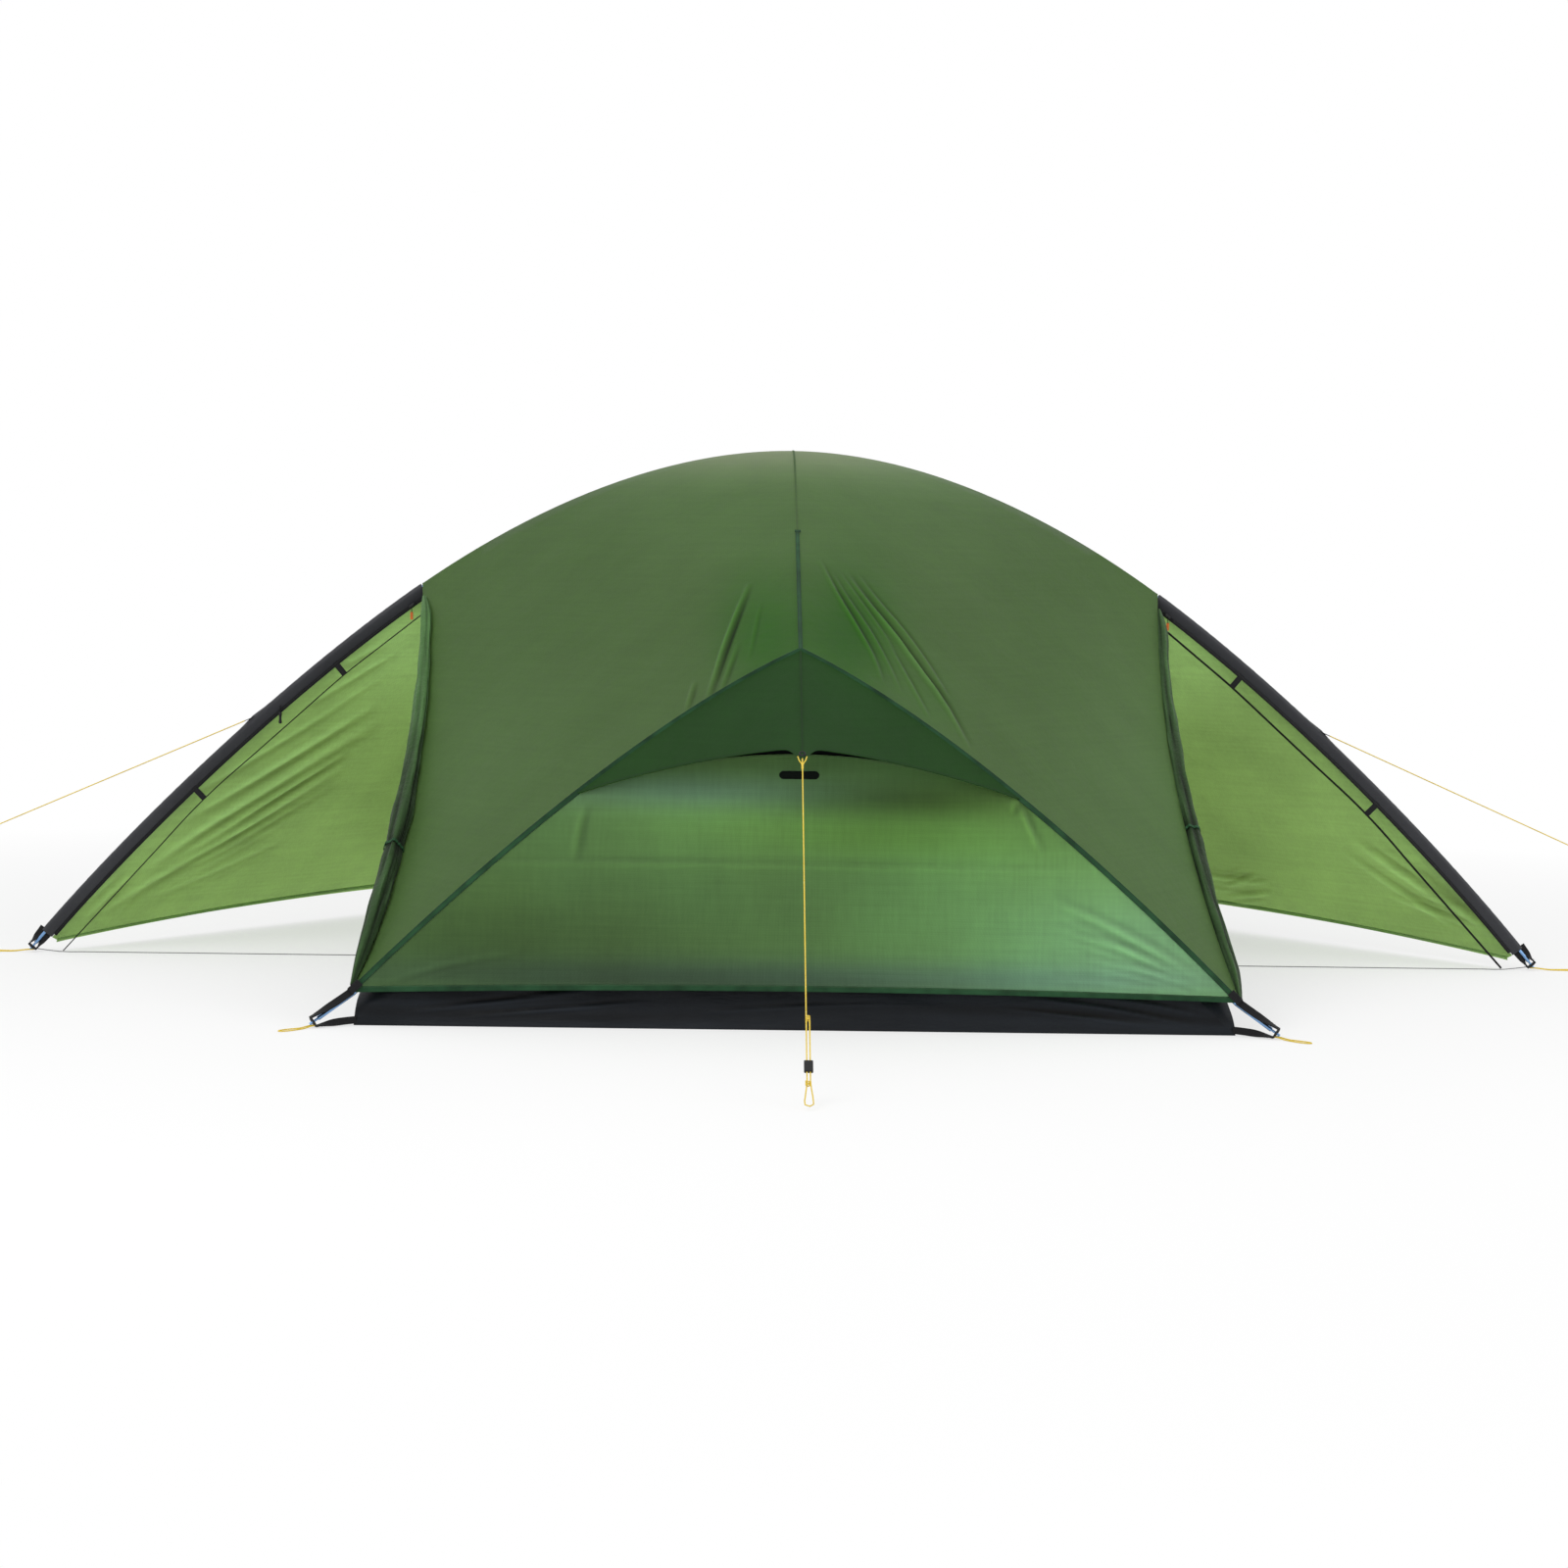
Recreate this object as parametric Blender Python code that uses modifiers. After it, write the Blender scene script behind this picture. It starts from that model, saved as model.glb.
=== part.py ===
# Camping tent: a dome for three sleepers under a long ridge arch, with a porch at each side.
# X runs along the ridge arch, Y from the front end (minus) to the rear end (plus), Z is up.
# The origin lies on the ground under the middle of the floor. All sizes are in metres.

import math

import bmesh
import bpy
import numpy as np
from mathutils import Matrix

# Clearances and stock
GAP = 0.0003                 # between pieces that touch
SEAM_GAP = 0.0004            # between two sewn cloths
CLOTH = 0.0015               # thickness of a cloth solid
POLE_RADIUS = 0.0045
SPIGOT_RADIUS = 0.0031       # insert that joins two pole sections
SPIGOT_LENGTH = 0.030
SOCKET_RADIUS = 0.0036
TIP_RADIUS = 0.0025          # turned tip at the ground end of a pole
TIP_LENGTH = 0.020
STEP = 0.0001                # length of a turned shoulder
EDGE = 0.0007                # bevel of a moulded edge
BORE_OVERRUN = 0.004         # how far a bore's cutter stands out of the piece
POLE_SPACING = 0.110         # between the rings of a pole
FERRULE = 0.006              # square end of a section where it meets the next
SOCKET_STRAIGHT = 0.034      # straight stretch of a section round its socket
CORD_RADIUS = 0.00125
WEBBING_WIDTH = 0.015
WEBBING_THICKNESS = 0.0016

# Ridge arch, on the axis of its pole
RIDGE_HEIGHT = 1.191
CROWN_REACH = 0.312          # how far the crown stays level
SHOULDER_X = 0.860
SHOULDER_Z = 0.869
SHOULDER_SLOPE = math.radians(35.3)
SHOULDER_REACH_UP = 0.2945
SHOULDER_REACH_DOWN = 0.350
FOOT_X = 1.775
FOOT_Z = 0.006
FOOT_SLOPE = math.radians(50.5)
FOOT_REACH = 0.400
ROOF_FALL = math.radians(33)   # steepest fall of the roof away from the arch
RIDGE_SECTIONS = 5

# Flysheet corners and seams
DOOR_LINE_X = 0.860          # where the sleeping cabin ends and the porch starts
NOSE_Y = 1.035               # end of the centre seam
NOSE_Z = 0.757
CORNER_X = 0.885
CORNER_Y = 1.108
CORNER_Z = 0.068
NOSE_SLOPE = math.radians(25)
CORNER_SLOPE = math.radians(45)
LEG_SEAM_REACH = 0.330
SPINE_CROWN_REACH = 0.250    # how far the centre seam stays level at the peak
SPINE_SLOPE = math.radians(26.5)
SPINE_REACH = 0.450
SIDE_SAG = 0.045             # inward bow of the cabin's side edge
HEM_RISE = 0.012
VENT_X = 0.446               # half width of the vent at the top of the end wall
VENT_RISE = 0.055
HOOD_X = 0.440               # half width of the hood on the leg seams
HOOD_Y = 1.300
HOOD_Z = 0.556
HOOD_SAG_Y = 0.030
HOOD_SAG_Z = 0.012
HOOD_END_DEPTH = 0.004       # how far the hood stands off the leg seam where it runs out
HOOD_END_DROP = 0.003
PORCH_HEM_X = 1.716
PORCH_HEM_Y = 0.018
PORCH_HEM_Z = 0.026
PORCH_HEM_RISE = 0.015
PORCH_TOP_SHARE = 0.08       # share of the cabin seam where the porch cloth leaves it for the sleeve

# Insets of a cloth from its seam line, so that two folded cloths stay a seam gap apart
INSET_FLAT = 0.00030
INSET_SPINE_END = 0.00060
INSET_RIDGE = 0.00072
INSET_LEG = 0.00078
INSET_HOOD = 0.00015
INSET_PORCH = 0.00045

# Spine pole and leg poles, set inside the seams
SPINE_CLEAR = 0.00086        # below the ridge pole at the peak
SPINE_EASE = 0.35            # share of the centre seam along which the pole comes up to it
LEG_BACK = 0.0095
LEG_DROP = 0.0085
LEG_END_X = 0.961
LEG_END_Y = 1.138
LEG_END_Z = 0.0075
HUB_RADIUS = 0.0080
HUB_BALL_RADIUS = 0.0090
HUB_REACH = 0.045
HUB_STRAIGHT = 0.052         # straight stretch of a pole where the hub holds it
HUB_BORE_RADIUS = 0.0051
HUB_BORE_START = 0.012

# Arch sleeve
SLEEVE_TOP = 0.0090          # above the pole axis
SLEEVE_TAIL = 0.0200         # below the pole axis
SLEEVE_HALF_WIDTH = 0.0085
SLEEVE_NARROWING = 0.55      # how much narrower the tail is at its end
SLEEVE_BORE_RADIUS = 0.0053
SLEEVE_END = 0.055           # left bare before the foot
SLEEVE_RINGS = 13
SLEEVE_SIDES = 12
TAB_X = (1.075, 1.405)       # where the two tabs hang from the sleeve
TAB_DROP = 0.034
TAB_WIDTH = 0.014
TAB_ROOT = 0.006             # sewn into the sleeve's tail
TAB_HEM = 0.003              # below the end of the tab, down to its cord
GUY_TAB_X = 1.247
GUY_TAB_LENGTH = 0.026
GUY_TAB_WIDTH = 0.012
GUY_TAB_ROOT = 0.003         # sewn into the sleeve
GUY_TAB_SINK = 0.001
GUY_SLOPE = math.radians(23.6)

# Rolled porch doors: radius at the top, at the fullest place and at the bottom
ROLL_RADII = {"left": (0.013, 0.034, 0.018), "right": (0.011, 0.019, 0.015)}
ROLL_FULLEST = {"left": 0.70, "right": 0.60}
ROLL_START = 0.100
ROLL_END = 0.955
ROLL_FOLDS = 5
ROLL_FOLD_DEPTH = 0.16
ROLL_SIDES = 15
ROLL_RINGS = 15

# Inner tent
FLOOR_X = 0.880
FLOOR_Y = 1.095
TUB_HEIGHT = 0.130
INNER_HEIGHT = 1.145
INNER_PEAK_X = 0.810
INNER_PEAK_Z = 0.825
INNER_SIDE_SAG = 0.065       # bow of the side wall's two upper seams, in its plane
INNER_NOSE_Y = 0.985
INNER_NOSE_Z = 0.685
INNER_CROWN_REACH = 0.330
INNER_SHOULDER_REACH = 0.270
INNER_SHOULDER_SLOPE = math.radians(40)
INNER_NOSE_SLOPE = math.radians(28)
INNER_CORNER_SLOPE = math.radians(44)
INNER_SEAM_REACH = 0.300
INSET_INNER = 0.00085
ROOF_LIFT = 0.0018           # inner roof above the rim of the tub at the corners
RIM_CLEAR = 0.010            # from the tub's rim to the next point of a wall's outline
DOOR_HINGE_Y = 0.055
DOOR_SILL = 0.175
DOOR_MARGIN = 0.105
DOOR_END_HEIGHT = 0.060
DOOR_CORNER = 0.030
DOOR_GAP = 0.0006
DOOR_HINGE_GAP = 0.0014
DOOR_PIPING = 0.0009         # radius of the bead along the hinge edge
DOOR_ORIGIN_RISE = 0.200     # from the sill up to the leaf's origin

# Travel of the porch door's slider
FLY_ZIP_X = 0.897            # its place at rest
FLY_ZIP_TRAVEL = 0.250

# Webbing at the corners and feet
PLATE_RADIUS = 0.012
PLATE_THICKNESS = 0.0025
PLATE_HOLE = 0.0029          # radius of the hole for the pole's tip
PLATE_BACK = 0.008           # from the end of the pole
STRAP_OFFSET = 0.0104
CORNER_CLEAR = {"front": 0.0016, "rear": 0.0030}   # strap end from the flysheet's corner
TUB_CLEAR = 0.0012           # strap end from the floor's corner
TUB_RISE = 0.0030
FOOT_STRAP_LENGTH = SLEEVE_END - PLATE_BACK - SEAM_GAP

# Cords
KNOT_LEAD = 0.050            # before a line's loop: where its two strands run side by side
KNOT_LENGTH = 0.035
KNOT_TIP = 0.008
LOOP_SHOULDER = 0.4          # share of a loop's length where it is nearly at its full width
LOOP_FULLNESS = 0.85
LOW = 0.0001                 # a lying cord above the ground
HOOD_LINE_END = (0.0, -2.000, 0.004)
HOOD_LINE_CLEAR = 0.0004     # from the tip of the hood
HOOD_LOOP_LENGTH = 0.060
HOOD_LOOP_HALF_WIDTH = 0.006
HOOD_TAIL_TOP = 0.684        # from the top of the line to the free end of its tail
HOOD_LINE_POINTS = 60
STRAND_SPACING = 0.006
TENSIONER_AT = 0.796
TENSIONER_SIZE = (0.016, 0.007, 0.026)
TENSIONER_BORE = 0.00165
GUY_END_X = 1.900
GUY_LOOP_LENGTH = 0.040
GUY_LOOP_HALF_WIDTH = 0.008
GUY_TAIL_LENGTH = 0.030
GUY_TAIL_SPACING = 0.0030
GUY_LINE_POINTS = 44
CORNER_LOOP_REACH = 0.085
FOOT_LOOP_REACH = 0.140
LOOP_HALF_WIDTH = 0.0065
PEG_LOOP_DROP = 0.0070       # below the middle of the plate
PEG_LOOP_SPREAD = 0.0042
PEG_LOOP_LEAD = 0.004        # straight out of the plate
PEG_LOOP_LANDING = 0.35      # share of its length where a loop lies on the ground
PEG_LOOP_FULLNESS = 0.9
LOOP_POINTS = 22
BASE_CORD_RADIUS = 0.0010
BASE_CORD_POINTS = 16
BASE_CORD_BACK = 0.004       # from the plate towards the tent
BASE_CORD_LEAD = 0.012       # nearly level before it sinks to the ground
PORCH_CORD_RADIUS = {"left": 0.0013, "right": 0.0025}
PORCH_CORD_POINTS = 24
PORCH_CORD_TOP = 0.085       # share of the side edge above the upper end of the porch cord
PORCH_CORD_AWAY = (1, 0.6, -0.6)   # direction of its upper end from the cabin's side edge
PORCH_CORD_FOOT_X = 1.698

# Small fittings: length, width and thickness
STIFFENER_SIZE = (0.080, 0.016, 0.003)
STIFFENER_DROP = 0.003       # below the vent's edge
FLY_SLIDER_SIZE = (0.016, 0.008, 0.010)
FLY_SLIDER_DROP = 0.0211     # below the arch's axis
FLY_SLIDER_OUT = 0.0075      # in front of the porch cloth
FLY_PULL_SIZE = (0.004, 0.002, 0.030)
FLY_PULL_DROP = 0.018
DOOR_SLIDER_SIZE = (0.012, 0.008, 0.003)
DOOR_SLIDER_UP = 0.060       # along the sloping edge of the leaf, from its lower end
DOOR_SLIDER_IN = 0.008       # from that edge
TOGGLE_X = 1.199
TOGGLE_DROP = 0.0138         # below the arch's axis
TOGGLE_OFFSET = 0.0095       # in front of the porch cloth
TOGGLE_STRING_RADIUS = 0.0013
TOGGLE_STRING_LENGTH = 0.016
TOGGLE_RADIUS = 0.0035
TOGGLE_LENGTH = 0.020

SIDES = {"left": -1, "right": 1}
ENDS = {"front": -1, "rear": 1}


# Scene
def clear_scene():
    for existing in list(bpy.data.objects):
        bpy.data.objects.remove(existing, do_unlink=True)


def new_collection(name):
    collection = bpy.data.collections.new(name)
    bpy.context.scene.collection.children.link(collection)
    return collection


def make_material(name, colour, roughness, metallic=0.0):
    material = bpy.data.materials.new(name)
    material.use_nodes = True
    shader = material.node_tree.nodes["Principled BSDF"]
    shader.inputs["Base Color"].default_value = (*colour, 1.0)
    shader.inputs["Roughness"].default_value = roughness
    shader.inputs["Metallic"].default_value = metallic
    return material


clear_scene()
TENT = new_collection("camping_tent")
CUTTERS = new_collection("cutters")

FLY_GREEN = make_material("fly_green", (0.084, 0.165, 0.058), 0.55)
HOOD_GREEN = make_material("hood_green", (0.032, 0.080, 0.026), 0.55)
ROLL_GREEN = make_material("rolled_green", (0.050, 0.115, 0.036), 0.60)
SLEEVE_BLACK = make_material("sleeve_black", (0.026, 0.027, 0.031), 0.70)
FLOOR_BLACK = make_material("floor_black", (0.018, 0.020, 0.023), 0.60)
INNER_CLOTH = make_material("inner_cloth", (0.48, 0.52, 0.40), 0.75)
DOOR_MESH = make_material("door_mesh", (0.10, 0.11, 0.10), 0.80)
POLE_BLUE = make_material("pole_blue", (0.16, 0.36, 0.62), 0.30, 1.0)
HUB_GREY = make_material("hub_grey", (0.05, 0.05, 0.055), 0.45)
WEBBING = make_material("webbing_black", (0.020, 0.020, 0.022), 0.80)
CORD_YELLOW = make_material("cord_yellow", (0.76, 0.58, 0.08), 0.70)
CORD_GREY = make_material("cord_grey", (0.30, 0.30, 0.30), 0.70)
CORD_BLACK = make_material("cord_black", (0.018, 0.018, 0.020), 0.75)
PLASTIC_BLACK = make_material("plastic_black", (0.015, 0.015, 0.016), 0.40)
PULL_ORANGE = make_material("pull_orange", (0.80, 0.18, 0.03), 0.65)


# Vectors and lines
def vec(*values):
    return np.array(values, dtype=float)


def unit(v):
    v = np.asarray(v, dtype=float)
    return v / np.linalg.norm(v)


def bezier(p0, p1, p2, p3, count=60):
    p0, p1, p2, p3 = (np.asarray(p, dtype=float) for p in (p0, p1, p2, p3))
    t = np.linspace(0, 1, count + 1)[:, None]
    return (1 - t) ** 3 * p0 + 3 * (1 - t) ** 2 * t * p1 + 3 * (1 - t) * t * t * p2 + t**3 * p3


def bowed(start, end, bow, count=60):
    t = np.linspace(0, 1, count + 1)[:, None]
    return start + (end - start) * t + np.asarray(bow) * 4 * t * (1 - t)


def distances(line):
    steps = np.linalg.norm(np.diff(line, axis=0), axis=1)
    return np.concatenate([[0.0], np.cumsum(steps)])


def walk(line, where):
    run = distances(line)
    return np.stack([np.interp(where, run, line[:, k]) for k in range(line.shape[1])], axis=-1)


def tangent(line, where, reach=0.004):
    return unit(walk(line, where + reach) - walk(line, where - reach))


def resample(line, count):
    return walk(line, np.linspace(0, distances(line)[-1], count + 1))


def where_x(line, x):
    return float(np.interp(x, line[:, 0], distances(line)))


def smooth_through(points, count):
    # A cubic curve through the points, with even steps along it
    points = np.asarray(points, dtype=float)
    run = distances(points)
    slope = np.gradient(points, run, axis=0)
    dense = []
    for k in range(len(points) - 1):
        h = run[k + 1] - run[k]
        t = np.linspace(0, 1, 16, endpoint=False)[:, None]
        dense.append(
            (2 * t**3 - 3 * t**2 + 1) * points[k]
            + (t**3 - 2 * t**2 + t) * h * slope[k]
            + (3 * t**2 - 2 * t**3) * points[k + 1]
            + (t**3 - t**2) * h * slope[k + 1]
        )
    dense = np.vstack([*dense, points[-1:]])
    return resample(dense, count)


# Surfaces
def coons(near, far, start, end):
    # A cloth stretched between four lines: near and far run along u, start and end along v
    u = np.linspace(0, 1, len(near))[None, :, None]
    v = np.linspace(0, 1, len(start))[:, None, None]
    lengthwise = (1 - v) * near[None] + v * far[None]
    crosswise = (1 - u) * start[:, None] + u * end[:, None]
    corners = (1 - v) * ((1 - u) * near[0] + u * near[-1]) + v * ((1 - u) * far[0] + u * far[-1])
    return lengthwise + crosswise - corners


def pulled(edge, inner, amounts):
    along = np.gradient(edge, axis=0)
    along /= np.linalg.norm(along, axis=1)[:, None]
    inward = inner - edge
    inward -= (inward * along).sum(axis=1)[:, None] * along
    inward /= np.linalg.norm(inward, axis=1)[:, None]
    return inward * np.linspace(*amounts, len(edge))[:, None]


def trim(grid, near=(0, 0), far=(0, 0), start=(0, 0), end=(0, 0)):
    # Draws each edge of a cloth back from its seam line, by the amounts at the edge's two ends
    cut = grid.copy()
    cut[0] += pulled(grid[0], grid[1], near)
    cut[-1] += pulled(grid[-1], grid[-2], far)
    cut[:, 0] += pulled(grid[:, 0], grid[:, 1], start)
    cut[:, -1] += pulled(grid[:, -1], grid[:, -2], end)
    return cut


# Objects
def place(name, data, material, collection=None):
    placed = bpy.data.objects.new(name, data)
    (collection or TENT).objects.link(placed)
    data.materials.append(material)
    return placed


def mesh_of(name, points, faces):
    mesh = bpy.data.meshes.new(name)
    mesh.from_pydata([tuple(p) for p in points], [], faces)
    mesh.update()
    return mesh


def set_smooth(piece, angle=40):
    piece.data.shade_smooth()
    piece.data.set_sharp_from_angle(angle=math.radians(angle))


def cloth(name, grid, material, thickness=CLOTH):
    rows, columns = grid.shape[:2]
    faces = []
    for r in range(rows - 1):
        for c in range(columns - 1):
            a = r * columns + c
            faces.append((a, a + 1, a + columns + 1, a + columns))
    piece = place(name, mesh_of(name, grid.reshape(-1, 3), faces), material)
    set_smooth(piece)
    thicken(piece, thickness)
    return piece


def thicken(piece, thickness, offset=0.0):
    wall = piece.modifiers.new("wall", "SOLIDIFY")
    wall.thickness = thickness
    wall.offset = offset
    wall.use_even_offset = True


def loft(name, rings, material, collection=None):
    # A closed solid through rings of equal count, with flat ends
    count = len(rings[0])
    points = np.vstack(rings)
    faces = [tuple(range(count))[::-1]]
    for r in range(len(rings) - 1):
        for c in range(count):
            a = r * count
            d = (c + 1) % count
            faces.append((a + c, a + d, a + count + d, a + count + c))
    last = (len(rings) - 1) * count
    faces.append(tuple(range(last, last + count)))
    mesh = mesh_of(name, points, faces)
    face_outward(mesh)
    piece = place(name, mesh, material, collection)
    set_smooth(piece)
    return piece


def face_outward(mesh, merge=0.0):
    shape = bmesh.new()
    shape.from_mesh(mesh)
    if merge:
        bmesh.ops.remove_doubles(shape, verts=shape.verts, dist=merge)
    bmesh.ops.recalc_face_normals(shape, faces=shape.faces)
    shape.to_mesh(mesh)
    shape.free()


def tube_curve(name, points, radius, material, collection=None, radii=None, resolution=2):
    curve = bpy.data.curves.new(name, "CURVE")
    curve.dimensions = "3D"
    curve.bevel_depth = radius
    curve.bevel_resolution = resolution
    curve.use_fill_caps = True
    spline = curve.splines.new("POLY")
    spline.points.add(len(points) - 1)
    for k, point in enumerate(points):
        spline.points[k].co = (*point, 1.0)
        spline.points[k].radius = 1.0 if radii is None else radii[k] / radius
    return place(name, curve, material, collection)


def tube(name, points, radius, material, collection=None, radii=None, resolution=2):
    # The same tube as a mesh, so that it can be cut and joined
    curve = tube_curve(name + "_line", points, radius, material, collection, radii, resolution)
    bpy.context.view_layer.update()
    seen = curve.evaluated_get(bpy.context.evaluated_depsgraph_get())
    mesh = bpy.data.meshes.new_from_object(seen)
    bpy.data.objects.remove(curve, do_unlink=True)
    mesh.name = name
    face_outward(mesh, merge=0.000001)
    mesh.materials.clear()
    piece = place(name, mesh, material, collection)
    set_smooth(piece, 50)
    return piece


def plate(name, outline, material, thickness, frame, holes=(), collection=None):
    curve = bpy.data.curves.new(name, "CURVE")
    curve.dimensions = "2D"
    curve.fill_mode = "BOTH"
    curve.extrude = thickness / 2
    for loop in (outline, *holes):
        spline = curve.splines.new("POLY")
        spline.points.add(len(loop) - 1)
        for k, (x, y) in enumerate(loop):
            spline.points[k].co = (x, y, 0.0, 1.0)
        spline.use_cyclic_u = True
    piece = place(name, curve, material, collection)
    piece.matrix_world = frame
    return piece


def frame_at(origin, right, up):
    # Turns local X to right and local Y towards up
    x = unit(right)
    z = unit(np.cross(x, up))
    y = np.cross(z, x)
    turn = Matrix((x, y, z)).transposed().to_4x4()
    turn.translation = origin
    return turn


def box(name, size, material, frame, bevel=0.0, collection=None):
    mesh = bpy.data.meshes.new(name)
    shape = bmesh.new()
    bmesh.ops.create_cube(shape, size=1.0)
    bmesh.ops.scale(shape, vec=size, verts=shape.verts)
    if bevel:
        bmesh.ops.bevel(
            shape, geom=shape.edges[:], offset=bevel, segments=1, affect="EDGES", profile=0.5
        )
    shape.to_mesh(mesh)
    shape.free()
    piece = place(name, mesh, material, collection)
    piece.matrix_world = frame
    return piece


def rod(name, radius, length, material, frame, sides=16, collection=None):
    mesh = bpy.data.meshes.new(name)
    shape = bmesh.new()
    bmesh.ops.create_cone(
        shape, cap_ends=True, segments=sides, radius1=radius, radius2=radius, depth=length
    )
    shape.to_mesh(mesh)
    shape.free()
    piece = place(name, mesh, material, collection)
    piece.matrix_world = frame
    return piece


def ball(name, radius, material, centre, collection=None):
    mesh = bpy.data.meshes.new(name)
    shape = bmesh.new()
    bmesh.ops.create_uvsphere(shape, u_segments=14, v_segments=8, radius=radius)
    shape.to_mesh(mesh)
    shape.free()
    piece = place(name, mesh, material, collection)
    piece.location = centre
    return piece


def combine(piece, other, operation):
    step = piece.modifiers.new(operation.lower(), "BOOLEAN")
    step.operation = operation
    step.solver = "EXACT"
    step.object = other
    other.hide_render = True
    other.display_type = "WIRE"


def cut(piece, cutter):
    combine(piece, cutter, "DIFFERENCE")


def join(piece, other):
    combine(piece, other, "UNION")


def mirrored(points, sx, sy):
    return np.asarray(points) * vec(sx, sy, 1)


# Lines of the frame and of the flysheet, for the quarter at plus X and minus Y
def ridge_half():
    shoulder = vec(SHOULDER_X, 0, SHOULDER_Z)
    down = vec(math.cos(SHOULDER_SLOPE), 0, -math.sin(SHOULDER_SLOPE))
    foot = vec(FOOT_X, 0, FOOT_Z)
    foot_down = vec(math.cos(FOOT_SLOPE), 0, -math.sin(FOOT_SLOPE))
    crown = bezier(
        (0, 0, RIDGE_HEIGHT),
        (CROWN_REACH, 0, RIDGE_HEIGHT),
        shoulder - down * SHOULDER_REACH_UP,
        shoulder,
    )
    flank = bezier(
        shoulder, shoulder + down * SHOULDER_REACH_DOWN, foot - foot_down * FOOT_REACH, foot
    )
    return np.vstack([crown, flank[1:]])


def raised(line, height):
    # A line above the arch's axis by height, square to it
    along = np.gradient(line, axis=0)
    along /= np.linalg.norm(along, axis=1)[:, None]
    return line + np.stack([-along[:, 2], along[:, 1] * 0, along[:, 0]], axis=1) * height


def part_of_line(line, start, end):
    run = distances(line)
    inside = run[(run > start) & (run < end)]
    return walk(line, np.concatenate([[start], inside, [end]]))


RIDGE = ridge_half()
RIDGE_RUN = distances(RIDGE)[-1]
FLY_HEIGHT = (POLE_RADIUS + SEAM_GAP + CLOTH / 2) / math.cos(ROOF_FALL)
FLY_RIDGE = raised(RIDGE, FLY_HEIGHT)
ROOF_RIDGE = part_of_line(FLY_RIDGE, 0, where_x(FLY_RIDGE, DOOR_LINE_X))
PEAK = ROOF_RIDGE[0]
SHOULDER = ROOF_RIDGE[-1]
NOSE = vec(0, -NOSE_Y, NOSE_Z)
CORNER = vec(CORNER_X, -CORNER_Y, CORNER_Z)


def falling_seam(peak, nose, crown_reach, nose_reach):
    # From level at the peak to the slope of the spine at the nose
    down = vec(0, -math.cos(SPINE_SLOPE), -math.sin(SPINE_SLOPE))
    return bezier(peak, peak - vec(0, crown_reach, 0), nose - down * nose_reach, nose)


CENTRE_SEAM = falling_seam(PEAK, NOSE, SPINE_CROWN_REACH, SPINE_REACH)
SIDE_EDGE = bowed(SHOULDER, CORNER, (-SIDE_SAG, 0, 0))


def leg_seam():
    flat = bezier(
        (0, NOSE_Z),
        (LEG_SEAM_REACH * math.cos(NOSE_SLOPE), NOSE_Z - LEG_SEAM_REACH * math.sin(NOSE_SLOPE)),
        (
            CORNER_X - LEG_SEAM_REACH * math.cos(CORNER_SLOPE),
            CORNER_Z + LEG_SEAM_REACH * math.sin(CORNER_SLOPE),
        ),
        (CORNER_X, CORNER_Z),
    )
    depth = -NOSE_Y - (CORNER_Y - NOSE_Y) * flat[:, 0] / CORNER_X
    return np.stack([flat[:, 0], depth, flat[:, 1]], axis=1)


LEG_SEAM = leg_seam()


def up_from_arch(where):
    along = tangent(RIDGE, where)
    return vec(-along[2], 0, along[0])


# Flysheet
def roof_grid():
    return coons(
        resample(ROOF_RIDGE, 12), resample(LEG_SEAM, 12), resample(CENTRE_SEAM, 10),
        resample(SIDE_EDGE, 10),
    )


def make_roof():
    grid = trim(
        roof_grid(),
        near=(INSET_FLAT, INSET_RIDGE),
        far=(INSET_LEG, INSET_LEG),
        start=(INSET_FLAT, INSET_SPINE_END),
        end=(INSET_FLAT, INSET_FLAT),
    )
    for end, sy in ENDS.items():
        for side, sx in SIDES.items():
            cloth(f"roof_panel_{end}_{side}", mirrored(grid, sx, -sy), FLY_GREEN)


def across(half):
    # A line from the left to the right, from its right half that starts in the middle
    return np.vstack([mirrored(half, -1, 1)[::-1], half[1:]])


def end_wall_grid():
    vent_at = where_x(LEG_SEAM, VENT_X)
    leg = part_of_line(LEG_SEAM, vent_at, distances(LEG_SEAM)[-1])[::-1]
    hem = bowed(mirrored(CORNER, -1, 1), CORNER, (0, 0, HEM_RISE))
    vent_corner = leg[-1]
    vent_edge = bowed(mirrored(vent_corner, -1, 1), vent_corner, (0, 0, VENT_RISE))
    right = resample(leg, 8)
    return coons(resample(hem, 12), resample(vent_edge, 12), mirrored(right, -1, 1), right)


def make_end_walls():
    grid = trim(end_wall_grid(), start=(INSET_LEG, INSET_LEG), end=(INSET_LEG, INSET_LEG))
    for end, sy in ENDS.items():
        cloth(f"end_wall_{end}", mirrored(grid, 1, -sy), FLY_GREEN)


def hood_grid():
    seam = part_of_line(LEG_SEAM, 0, where_x(LEG_SEAM, HOOD_X))
    corner = seam[-1] + vec(0, -HOOD_END_DEPTH, -HOOD_END_DROP)
    free = bowed(vec(0, -HOOD_Y, HOOD_Z), corner, (0, HOOD_SAG_Y, HOOD_SAG_Z))
    top = across(resample(seam, 7))
    bottom = across(resample(free, 7))
    v = np.linspace(0, 1, 6)[:, None, None]
    return (1 - v) * top[None] + v * bottom[None]


def make_hoods():
    grid = trim(hood_grid(), near=(INSET_HOOD, INSET_HOOD))
    for end, sy in ENDS.items():
        cloth(f"vent_hood_{end}", mirrored(grid, 1, -sy), HOOD_GREEN)


def sleeve_places():
    start = where_x(RIDGE, DOOR_LINE_X) + SEAM_GAP
    return np.linspace(start, RIDGE_RUN - SLEEVE_END, SLEEVE_RINGS)


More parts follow.
